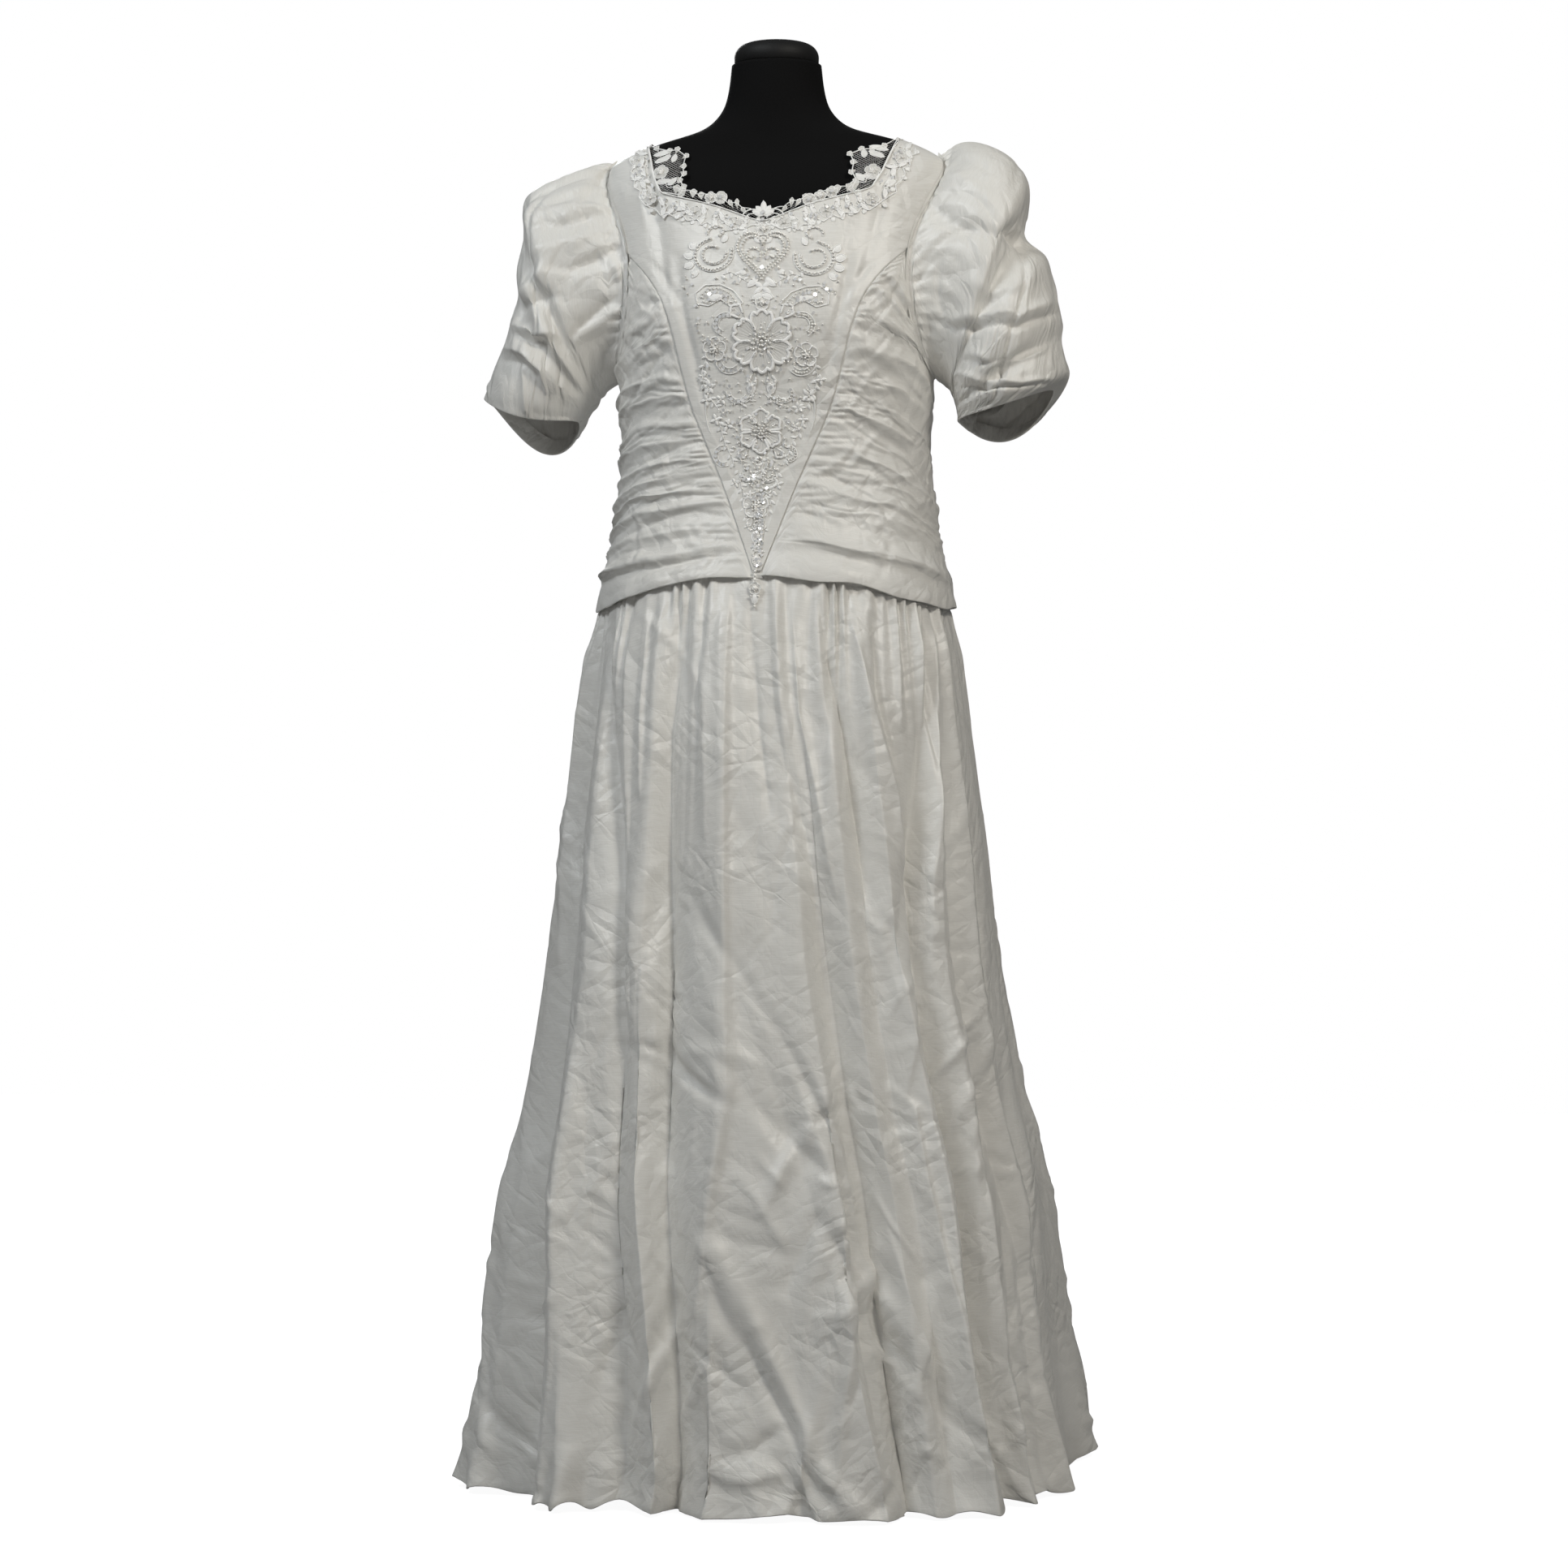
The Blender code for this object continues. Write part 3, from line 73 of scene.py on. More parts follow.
BODY_SECTIONS = [
    # z, half_width, depth_front, depth_back, squareness
    (0.860, 0.1880, 0.150, 0.146, 2.2),
    (0.925, 0.1830, 0.143, 0.138, 2.3),
    (0.960, 0.1750, 0.134, 0.126, 2.3),
    (1.010, 0.1675, 0.125, 0.112, 2.3),
    (1.060, 0.1630, 0.121, 0.104, 2.3),
    (1.110, 0.1645, 0.123, 0.106, 2.3),
    (1.150, 0.1670, 0.127, 0.110, 2.35),
    (1.190, 0.1690, 0.129, 0.114, 2.4),
    (1.240, 0.1715, 0.120, 0.117, 2.4),
    (1.290, 0.1750, 0.106, 0.114, 2.4),
    (1.330, 0.1790, 0.092, 0.104, 2.4),
    (1.355, 0.1790, 0.074, 0.084, 2.3),
    (1.370, 0.1710, 0.061, 0.068, 2.2),
    (1.388, 0.1330, 0.053, 0.057, 2.1),
    (1.402, 0.0850, 0.050, 0.053, 2.0),
    (1.416, 0.0640, 0.048, 0.051, 2.0),
    (1.436, 0.0530, 0.047, 0.049, 2.0),
    (1.480, 0.0465, 0.045, 0.046, 2.0),
]
FORM_INSET = [
    # z, inset
    (0.800, 0.0220),
    (0.950, 0.0200),
    (1.060, 0.0320),
    (1.150, 0.0170),
    (1.240, 0.0130),
    (1.310, 0.0085),
    (1.350, 0.0060),
    (1.368, 0.0026),
    (1.388, 0.0010),
    (1.480, 0.0003),
]
SKIRT_SECTIONS = [
    # z, half_width, depth_front, depth_back, squareness
    (0.000, 0.3050, 0.276, 0.455, 3.0),
    (0.046, 0.2990, 0.271, 0.430, 2.9),
    (0.131, 0.2870, 0.261, 0.385, 2.75),
    (0.217, 0.2820, 0.251, 0.347, 2.6),
    (0.302, 0.2735, 0.241, 0.316, 2.5),
    (0.387, 0.2540, 0.230, 0.289, 2.4),
    (0.473, 0.2400, 0.218, 0.263, 2.35),
    (0.558, 0.2285, 0.207, 0.240, 2.3),
    (0.643, 0.2190, 0.195, 0.219, 2.3),
    (0.729, 0.2070, 0.182, 0.199, 2.3),
    (0.814, 0.1945, 0.167, 0.179, 2.3),
    (0.874, 0.1865, 0.153, 0.156, 2.3),
    (0.925, 0.1830, 0.143, 0.138, 2.3),
]
NECK_EDGE = [
    # x, z from the shoulder seam to the centre front, on the wearer's left
    (0.1330, 1.3880),
    (0.1250, 1.3660),
    (0.1180, 1.3430),
    (0.1090, 1.3260),
    (0.0900, 1.3200),
    (0.0680, 1.3140),
    (0.0480, 1.3080),
    (0.0300, 1.3010),
    (0.0130, 1.2940),
    (0.0000, 1.2900),
]
NECK_EDGE_BACK = [
    # x, z from the shoulder seam to the centre back
    (0.1330, 1.3880),
    (0.1270, 1.3720),
    (0.1140, 1.3530),
    (0.0880, 1.3360),
    (0.0450, 1.3275),
    (0.0000, 1.3250),
]
V_SEAM = [
    # z, x
    (0.930, 0.0040),
    (0.970, 0.0190),
    (1.013, 0.0350),
    (1.056, 0.0535),
    (1.098, 0.0710),
    (1.140, 0.0830),
    (1.182, 0.0935),
    (1.212, 0.1050),
    (1.238, 0.1220),
    (1.262, 0.1445),
]
YOKE_LINES = [
    # armhole_turn, neck_share
    (0.0, 0.00),
    (6.0, 0.02),
    (15.0, 0.06),
    (30.0, 0.14),
    (45.0, 0.22),
    (60.0, 0.30),
    (75.0, 0.38),
    (84.0, 0.44),
]

# Ruched sides: each row is one crest or trough, heights in millimetres
RUCHE_MIDDLE = 0.42
RUCHES_LEFT = [
    # z_seam, z_middle, z_outer, out_seam, out_middle, out_outer
    (1.258, 1.254, 1.250, 0, 0, 0),
    (1.252, 1.246, 1.233, 0, 1, 0),
    (1.244, 1.236, 1.215, 1, 5, 0),
    (1.233, 1.223, 1.196, 2, 9, 0),
    (1.227, 1.210, 1.178, -1, -3, 0),
    (1.221, 1.202, 1.166, 1, 4, 0),
    (1.207, 1.188, 1.154, 0, 0, 0),
    (1.194, 1.176, 1.145, 1, 7, 0),
    (1.183, 1.162, 1.130, -1, -4, 0),
    (1.161, 1.147, 1.108, 2, 8, 6),
    (1.139, 1.127, 1.100, -1, -3, 0),
    (1.131, 1.119, 1.087, 2, 7, 4),
    (1.122, 1.101, 1.060, -1, -5, -4),
    (1.114, 1.094, 1.052, 1, 4, 3),
    (1.108, 1.087, 1.046, 0, 0, 0),
    (1.101, 1.078, 1.039, 1, 6, 4),
    (1.094, 1.061, 1.021, -1, -6, -5),
    (1.083, 1.054, 1.014, 2, 5, 3),
    (1.075, 1.047, 1.006, -1, 0, 0),
    (1.066, 1.037, 0.998, 1, 8, 6),
    (1.054, 1.028, 0.989, -1, 0, 0),
    (1.046, 1.020, 0.983, 1, 3, 2),
    (1.037, 1.010, 0.976, -1, -5, -4),
    (1.019, 0.999, 0.967, 2, 7, 5),
    (1.006, 0.991, 0.959, -1, 0, 0),
    (0.998, 0.985, 0.952, 1, 3, 2),
    (0.990, 0.973, 0.945, -1, -4, -3),
    (0.966, 0.947, 0.928, 2, 9, 8),
    (0.960, 0.941, 0.921, 1, 3, 3),
]
RUCHES_RIGHT = [
    # z_seam, z_middle, z_outer, out_seam, out_middle, out_outer
    (1.258, 1.254, 1.250, 0, 0, 0),
    (1.246, 1.239, 1.233, 0, 2, 0),
    (1.234, 1.223, 1.216, 1, 6, 0),
    (1.212, 1.199, 1.190, 0, -1, 0),
    (1.198, 1.183, 1.167, 1, 8, 0),
    (1.187, 1.170, 1.150, -1, -1, 0),
    (1.176, 1.158, 1.133, 1, 9, 0),
    (1.160, 1.141, 1.110, -1, -5, -3),
    (1.136, 1.126, 1.101, 2, 9, 6),
    (1.119, 1.114, 1.094, 0, 3, 0),
    (1.112, 1.104, 1.087, 1, 6, 3),
    (1.103, 1.090, 1.070, -1, -4, -2),
    (1.080, 1.078, 1.053, 2, 8, 5),
    (1.073, 1.071, 1.046, 0, 1, 1),
    (1.067, 1.064, 1.039, 1, 7, 4),
    (1.060, 1.050, 1.030, -1, -3, -2),
    (1.053, 1.040, 1.021, 1, 6, 4),
    (1.047, 1.032, 1.009, -1, -2, -1),
    (1.040, 1.024, 0.995, 2, 9, 6),
    (1.027, 1.016, 0.986, -1, 0, 0),
    (1.018, 1.009, 0.979, 1, 7, 4),
    (1.008, 1.002, 0.972, -1, -2, -1),
    (1.000, 0.992, 0.965, 1, 7, 5),
    (0.986, 0.981, 0.957, -1, -2, -2),
    (0.976, 0.967, 0.949, 1, 6, 5),
    (0.965, 0.957, 0.941, -1, -3, -2),
    (0.949, 0.938, 0.929, 2, 8, 8),
    (0.944, 0.932, 0.922, 1, 3, 3),
]
BAND_OUT = 4.0                 # the band under the last ruche stands this far out, in millimetres

# Skirt folds, heights in millimetres; sharp is 0 for a round crest or trough and 1 for a pressed one
SKIRT_LEVELS = (0.900, 0.500, 0.040)
FOLDS_FRONT = [
    # angle_waist, angle_middle, angle_hem, out_waist, out_middle, out_hem, sharp
    (-90, -90, -90, 0, 0, 0, 0),
    (-83, -81, -79, -2, -8, -14, 0),
    (-75, -72, -64, 4, 8, 16, 0),
    (-65, -59, -42, -2, -9, -20, 0.3),
    (-53, -43, -27, 5, 11, 24, 0.2),
    (-38, -29, -15, -2, -9, -22, 0.6),
    (-29, -23, -8, 4, 7, 16, 0.2),
    (-21, -18, -4.5, -3, -12, -24, 0.7),
    (-9, -5, -2, 5, 9, 14, 0.8),
    (-2, 5, 6, 2, 5, 4, 0),
    (4, 13, 18, 5, 9, 20, 0.9),
    (8, 18, 25, -3, -11, -26, 0.7),
    (15, 24, 31, 4, 7, 10, 0.2),
    (22, 30, 36, -2, -4, -4, 0.3),
    (29, 37, 43, 5, 12, 32, 0.9),
    (48, 44, 51, -3, -12, -24, 0.7),
    (56, 52, 58, 4, 7, 12, 0.2),
    (63, 59, 66, -2, -5, -10, 0.4),
    (71, 67, 75, 4, 8, 16, 0.3),
    (81, 79, 83, -2, -7, -14, 0),
    (90, 90, 90, 0, 0, 0, 0),
]
FOLDS_BACK_LEFT = [
    # angle_waist, angle_middle, angle_hem, out_waist, out_middle, out_hem, sharp
    (90, 90, 90, 0, 0, 0, 0),
    (98, 98, 97, 3, 8, 18, 0.2),
    (107, 106, 104, -3, -9, -22, 0.5),
    (117, 115, 113, 4, 10, 26, 0.6),
    (126, 124, 121, -3, -10, -22, 0.3),
    (135, 133, 131, 4, 11, 24, 0.2),
    (145, 143, 141, -3, -9, -26, 0.6),
    (154, 153, 152, 5, 12, 28, 0.5),
    (163, 162, 161, -3, -10, -20, 0.3),
    (172, 171, 171, 4, 8, 20, 0.2),
    (180, 180, 180, -1, -4, -10, 0),
]
FOLDS_BACK_RIGHT = [
    # angle_waist, angle_middle, angle_hem, out_waist, out_middle, out_hem, sharp
    (180, 180, 180, -1, -4, -10, 0),
    (189, 188, 190, 4, 9, 22, 0.3),
    (197, 198, 200, -3, -11, -24, 0.6),
    (207, 208, 209, 4, 10, 22, 0.4),
    (216, 217, 219, -3, -9, -20, 0.2),
    (225, 226, 229, 5, 12, 26, 0.7),
    (234, 236, 238, -3, -10, -26, 0.4),
    (243, 244, 247, 4, 9, 20, 0.2),
    (253, 254, 255, -3, -10, -20, 0.5),
    (262, 262, 263, 3, 8, 16, 0.2),
    (270, 270, 270, 0, 0, 0, 0),
]
GATHER_HEIGHT = 0.0016         # of the solids' small gathers between the folds
GATHER_FADE = 0.35             # share of the way down where they end
HEM_WAVE = 0.0060              # the stitched hem stands in and out by this much
HEM_LIFT = 0.0110              # and up
HEM_CURL = 0.0035              # and its edge curls out

# Sleeves, given for the side at +X
SLEEVE_LEFT = [
    # x_over, z_over, x_under, z_under, half_front, half_back, sag_front, sag_back
    (0.1760, 1.3760, 0.1680, 1.1365, 0.066, 0.070, 0.000, 0.000),
    (0.2140, 1.4000, 0.1760, 1.1350, 0.074, 0.078, 0.000, 0.002),
    (0.2450, 1.3750, 0.1800, 1.1300, 0.084, 0.088, 0.001, 0.004),
    (0.2660, 1.3360, 0.1830, 1.1250, 0.088, 0.092, 0.002, 0.006),
    (0.2600, 1.2860, 0.1850, 1.1200, 0.078, 0.088, 0.003, 0.008),
    (0.2840, 1.2620, 0.1870, 1.1160, 0.088, 0.092, 0.004, 0.010),
    (0.2920, 1.2280, 0.1880, 1.1120, 0.092, 0.094, 0.004, 0.012),
    (0.2980, 1.1970, 0.1890, 1.1080, 0.088, 0.092, 0.004, 0.014),
    (0.2980, 1.1780, 0.1895, 1.1050, 0.078, 0.086, 0.004, 0.016),
    (0.3020, 1.1600, 0.1900, 1.1020, 0.084, 0.086, 0.005, 0.018),
    (0.3060, 1.1420, 0.1905, 1.0990, 0.080, 0.082, 0.006, 0.024),
    (0.2910, 1.1260, 0.1905, 1.0940, 0.070, 0.072, 0.006, 0.028),
]
SLEEVE_RIGHT = [
    # x_over, z_over, x_under, z_under, half_front, half_back, sag_front, sag_back
    (0.1740, 1.3700, 0.1680, 1.1385, 0.064, 0.070, 0.000, 0.000),
    (0.2060, 1.3730, 0.1740, 1.1370, 0.072, 0.078, 0.000, 0.002),
    (0.2380, 1.3540, 0.1800, 1.1330, 0.078, 0.084, 0.001, 0.005),
    (0.2640, 1.3320, 0.1850, 1.1290, 0.084, 0.088, 0.002, 0.009),
    (0.2680, 1.2970, 0.1890, 1.1250, 0.078, 0.088, 0.003, 0.013),
    (0.2740, 1.2640, 0.1925, 1.1210, 0.086, 0.090, 0.004, 0.018),
    (0.2740, 1.2360, 0.1960, 1.1165, 0.076, 0.088, 0.006, 0.023),
    (0.2810, 1.2120, 0.2000, 1.1120, 0.082, 0.086, 0.008, 0.028),
    (0.2880, 1.1850, 0.2040, 1.1070, 0.076, 0.082, 0.010, 0.033),
    (0.3010, 1.1540, 0.2080, 1.1030, 0.074, 0.078, 0.012, 0.038),
    (0.3110, 1.1270, 0.2110, 1.0990, 0.068, 0.072, 0.013, 0.039),
]
SLEEVE_SETTING = [
    # ring, share of the sleeve's own shape: from the armhole's line, levelling off at the fourth ring
    (0, 0.00),
    (1, 0.45),
    (2, 0.85),
    (3, 1.00),
    (99, 1.00),
]
SLEEVE_LIFT = 0.0013
SLEEVE_INSET = 0.0021

TURNED_EDGES = {
    # piece: radius of the turn, depth of the cloth behind it
    "skirt": (0.0011, 0.004),
    "side_front": (0.0010, 0.008),
    "back": (0.0008, 0.006),
    "sleeve": (0.0012, 0.018),
}


# Numbers and noise

def hermite(start, end, slope_start, slope_end, share):
    """Cubic from start to end with the given slopes."""
    square = share * share
    cube = square * share
    return (
        (2 * cube - 3 * square + 1) * start
        + (cube - 2 * square + share) * slope_start
        + (3 * square - 2 * cube) * end
        + (cube - square) * slope_end
    )


def columns_at(table, key):
    """Columns of a table at many keys, with a cubic through its rows (first column rising)."""
    rows = np.array(table, float)
    key = np.clip(np.asarray(key, float), rows[0, 0], rows[-1, 0])
    index = np.clip(np.searchsorted(rows[:, 0], key, side="right") - 1, 0, len(rows) - 2)
    low, high = rows[index], rows[index + 1]
    before = rows[np.maximum(index - 1, 0)]
    after = rows[np.minimum(index + 2, len(rows) - 1)]
    span = (high - low)[..., :1]
    share = (key[..., None] - low[..., :1]) / span
    slope_low = (high - before) / (high - before)[..., :1] * span
    slope_high = (after - low) / (after - low)[..., :1] * span
    return hermite(low, high, slope_low, slope_high, share)[..., 1:]


def ease(share):
    """Half a cosine wave from 0 to 1."""
    return 0.5 - 0.5 * np.cos(np.pi * np.clip(share, 0.0, 1.0))


def bump(distance, width):
    """1 at distance 0, falling off smoothly over a width."""
    return np.exp(-((distance / width) ** 2))


def unit(vectors):
    """The same vectors, one long."""
    return vectors / np.maximum(np.linalg.norm(vectors, axis=-1, keepdims=True), 1e-12)


def scatter(i, j, seed):
    """A repeatable number from 0 to 1 for each pair of whole numbers."""
    mixed = (i.astype(np.int64) * 374761393 + j.astype(np.int64) * 668265263 + seed * 974711) & 0xFFFFFFFF
    mixed = ((mixed ^ (mixed >> 13)) * 1274126177) & 0xFFFFFFFF
    return ((mixed ^ (mixed >> 16)) & 0xFFFFFF) / float(0xFFFFFF)


def soft_noise(u, v, seed):
    """Smooth noise from -1 to 1."""
    i, j = np.floor(u), np.floor(v)
    s, t = u - i, v - j
    s, t = s * s * (3 - 2 * s), t * t * (3 - 2 * t)
    low = scatter(i, j, seed) * (1 - s) + scatter(i + 1, j, seed) * s
    high = scatter(i, j + 1, seed) * (1 - s) + scatter(i + 1, j + 1, seed) * s
    return 2.0 * (low * (1 - t) + high * t) - 1.0


def dents(u, v, size, stretch, turn, seed):
    """Shallow bowls between straight ridges, as in crumpled cloth: 0 deep in a bowl, about 0.5 on a ridge."""
    cosine, sine = math.cos(math.radians(turn)), math.sin(math.radians(turn))
    a = (u * cosine + v * sine) / (size * stretch)
    b = (v * cosine - u * sine) / size
    i0, j0 = np.floor(a), np.floor(b)
    nearest = np.full(a.shape, FAR)
    for di in (-1, 0, 1):
        for dj in (-1, 0, 1):
            i, j = i0 + di, j0 + dj
            square = (a - i - scatter(i, j, seed)) ** 2 + (b - j - scatter(i, j, seed + 51)) ** 2
            nearest = np.minimum(nearest, square)
    return nearest


# Surfaces

def section(table, angle, z):
    """Points of a lofted surface at angles from the front and levels."""
    angle, z = np.broadcast_arrays(np.asarray(angle, float), np.asarray(z, float))
    half_width, depth_front, depth_back, squareness = np.moveaxis(columns_at(table, z), -1, 0)
    sine, cosine = np.sin(np.radians(angle)), np.cos(np.radians(angle))
    power = 2.0 / squareness
    depth = np.where(cosine > 0.0, depth_front, depth_back)
    x = half_width * np.sign(sine) * np.abs(sine) ** power
    y = -depth * np.sign(cosine) * np.abs(cosine) ** power
    return np.stack([x, y, z], -1)


def section_normal(table, angle, z):
    """Outward unit normals of the same surface."""
    turn, rise = 0.5, 0.002
    across = section(table, angle + turn, z) - section(table, angle - turn, z)
    upward = section(table, angle, z + rise) - section(table, angle, z - rise)
    return unit(np.cross(across, upward))


def level_normal(table, angle, z):
    """The same normals without their rise."""
    return unit(section_normal(table, angle, z) * (1.0, 1.0, 0.0))


def body(angle, z, out=0.0):
    """Points at a height over the bodice's surface."""
    angle, z = np.broadcast_arrays(np.asarray(angle, float), np.asarray(z, float))
    normal = section_normal(BODY_SECTIONS, angle, z)
    return section(BODY_SECTIONS, angle, z) + normal * np.asarray(out)[..., None]


def angle_at(x, z):
    """Angles at which the front of the body reaches x at a level."""
    columns = columns_at(BODY_SECTIONS, z)
    sine = np.clip(np.abs(x) / columns[..., 0], 0.0, 1.0) ** (columns[..., 3] / 2.0)
    return np.copysign(np.degrees(np.arcsin(sine)), x)


def front(x, z, out=0.0):
    """Points at a height over the bodice's front, by where they show from the front."""
    x, z = np.broadcast_arrays(np.asarray(x, float), np.asarray(z, float))
    return body(angle_at(x, z), z, out)


def waist_z(angle):
    """Level of the seam between bodice and skirt."""
    cosine = np.maximum(np.cos(np.radians(angle)), 0.0)
    return SIDE_WAIST_Z + (TIP_Z - SIDE_WAIST_Z) * cosine ** 3


def armhole(turn):
    """Angles (on the +X side) and levels of the armhole, turning from the shoulder forward."""
    turn = np.asarray(turn, float)
    z = ARMHOLE_CENTRE_Z + ARMHOLE_HALF_HEIGHT * np.cos(np.radians(turn))
    sine = np.sin(np.radians(turn))
    power = np.where(z > ARMHOLE_CENTRE_Z, ARMHOLE_TOP_POWER, 1.0)
    reach = np.where(sine > 0.0, ARMHOLE_FRONT_REACH, -ARMHOLE_BACK_REACH)
    return 90.0 - reach * np.abs(sine) ** power, z


def armhole_angle_at(z):
    """Angles of the front of the armhole at levels."""
    share = np.clip((z - ARMHOLE_CENTRE_Z) / ARMHOLE_HALF_HEIGHT, -1.0, 1.0)
    return armhole(np.degrees(np.arccos(share)))[0]


def v_seam_angle(z):
    """Angles of the V seam at levels, on the +X side."""
    return angle_at(columns_at(V_SEAM, z)[..., 0], z)


def along(points, shares):
    """Points at shares of the length of a line."""
    points = np.array(points, float)
    steps = np.linalg.norm(np.diff(points, axis=0), axis=1)
    lengths = np.concatenate([[0.0], np.cumsum(steps)])
    target = np.asarray(shares, float) * lengths[-1]
    return np.stack([np.interp(target, lengths, points[:, k]) for k in range(points.shape[1])], -1)


def through_three(first, middle, last, middle_share, share):
    """Parabola through a value at 0, one at middle_share and one at 1."""
    weight_first = (share - middle_share) * (share - 1.0) / middle_share
    weight_middle = share * (share - 1.0) / (middle_share * (middle_share - 1.0))
    weight_last = share * (share - middle_share) / (1.0 - middle_share)
    return first * weight_first + middle * weight_middle + last * weight_last


def grid_normals(points):
    """Outward normals of a grid whose rows go down and whose columns go towards +X at the front."""
    return unit(np.cross(np.gradient(points, axis=0), np.gradient(points, axis=1)))


def cloth_places(points):
    """Places on the flat cloth, in metres: across from the middle column and down from the top row."""
    across = np.linalg.norm(np.diff(points, axis=1), axis=-1)
    across = np.concatenate([np.zeros((len(points), 1)), np.cumsum(across, axis=1)], axis=1)
    across -= across[:, across.shape[1] // 2][:, None]
    down = np.linalg.norm(np.diff(points, axis=0), axis=-1)
    down = np.concatenate([np.zeros((1, points.shape[1])), np.cumsum(down, axis=0)], axis=0)
    return across, down


def turned_under(points, roll, depth, steps=5):
    """Rows that carry a grid's last row round a small roll and back up behind it."""
    last, down = points[-1], unit(points[-1] - points[-2])
    inward = -grid_normals(points)[-1]
    rows = []
    for turn in np.linspace(math.pi / steps, math.pi, steps):
        rows.append(last + down * roll * math.sin(turn) + inward * roll * (1.0 - math.cos(turn)))
    for share in (0.3, 0.65, 1.0):
        rows.append(last + inward * 2.0 * roll - down * depth * share)
    return np.concatenate([points, np.array(rows)])


FLANK_POWER = 1.3              # 1 makes a placed fold's line a crease and 2 makes it round


def fold_lines(a, b, scale, lines):
    """Sum of listed folds over places (a, b), which scale turns into metres. Each line has a height and
    the widths of its left and right flank in millimetres, and then the points that it runs through."""
    x, y = a * scale[0], b * scale[1]
    total = np.zeros(np.broadcast(x, y).shape)
    for height, width_left, width_right, *points in lines:
        points = np.array(points, float) * scale
        nearest, aside, run = np.full(total.shape, FAR), np.zeros(total.shape), np.zeros(total.shape)
        length = 0.0
        for start, step in zip(points, np.diff(points, axis=0)):
            reach = np.linalg.norm(step)
            dx, dy = x - start[0], y - start[1]
            share = np.clip((dx * step[0] + dy * step[1]) / reach ** 2, 0.0, 1.0)
            distance = np.hypot(dx - share * step[0], dy - share * step[1])
            nearer = distance < nearest
            nearest = np.where(nearer, distance, nearest)
            aside = np.where(nearer, step[0] * dy - step[1] * dx, aside)
            run = np.where(nearer, length + share * reach, run)
            length += reach
        width = np.where(aside > 0.0, width_left, width_right) * MILLIMETRE
        taper = np.sqrt(np.maximum(np.sin(math.pi * run / length), 0.0))
        total += height * MILLIMETRE * taper * np.exp(-((nearest / width) ** FLANK_POWER))
    return total


def crumples(u, v, count, length, width, height, lean, seed):
    """Scattered straight folds of crumpled cloth, with flat flanks and a crisp line: their lengths and widths
    vary, and they lean to both sides of the vertical."""
    chance = np.random.default_rng(seed)
    total = np.zeros(u.shape)
    for _ in range(count):
        du = u - chance.uniform(u.min(), u.max())
        dv = v - chance.uniform(v.min(), v.max())
        turn = math.radians(lean * chance.uniform(0.3, 1.4) * chance.choice((-1.0, 1.0)))
        reach = length * chance.uniform(0.5, 1.5)
        flank = width * chance.uniform(0.5, 1.7)
        rise = height * chance.uniform(0.35, 1.0) * chance.choice((-1.0, 1.0))
        bend = chance.uniform(-0.25, 0.25)
        run = (du * math.sin(turn) + dv * math.cos(turn)) / reach
        aside = (du * math.cos(turn) - dv * math.sin(turn) + bend * reach * run * run) / flank
        total += rise * np.clip(1.0 - run * run, 0.0, 1.0) * np.maximum(0.0, 1.0 - np.abs(aside))
    return total


# Meshes

def set_mesh(name, points, faces, uv=None, slots=None):
    """A mesh from arrays of points and of faces with the same number of corners."""
    mesh = bpy.data.meshes.new(name)
    faces = np.asarray(faces, np.int32)
    mesh.vertices.add(len(points))
    mesh.vertices.foreach_set("co", np.asarray(points, np.float32).ravel())
    mesh.loops.add(faces.size)
    mesh.loops.foreach_set("vertex_index", faces.ravel())
    mesh.polygons.add(len(faces))
    mesh.polygons.foreach_set("loop_start", np.arange(0, faces.size, faces.shape[1], dtype=np.int32))
    if slots is not None:
        mesh.polygons.foreach_set("material_index", np.asarray(slots, np.int32))
    mesh.update(calc_edges=True)
    if uv is not None:
        layer = mesh.uv_layers.new(name="cloth")
        layer.data.foreach_set("uv", np.asarray(uv, np.float32)[faces.ravel()].ravel())
    mesh.shade_smooth()
    return mesh


def grid_faces(rows, columns):
    """Quads of a grid, so that they face out."""
    i, j = np.meshgrid(np.arange(rows - 1), np.arange(columns - 1), indexing="ij")
    first = (i * columns + j).ravel()
    return np.stack([first, first + columns, first + columns + 1, first + 1], -1)


def add_piece(name, mesh, materials, slot, *nodes):
    """Link a mesh as a piece that rides on the one body and stands for CAD nodes."""
    for material in materials:
        mesh.materials.append(material)
    piece = bpy.data.objects.new(name, mesh)
    bpy.context.scene.collection.objects.link(piece)
    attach(piece, "root")
    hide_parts(*nodes)
    return piece


def add_cloth(name, points, material, slot, *nodes):
    """A grid of cloth as a piece."""
    across, down = cloth_places(points)
    uv = np.stack([across, down], -1).reshape(-1, 2)
    mesh = set_mesh(name, points.reshape(-1, 3), grid_faces(*points.shape[:2]), uv)
    return add_piece(name, mesh, [material], slot, *nodes)


def mirrored(points):
    """The same grid on the -X side, still facing out."""
    flipped = points[:, ::-1].copy()
    flipped[..., 0] *= -1.0
    return flipped


# Skirt

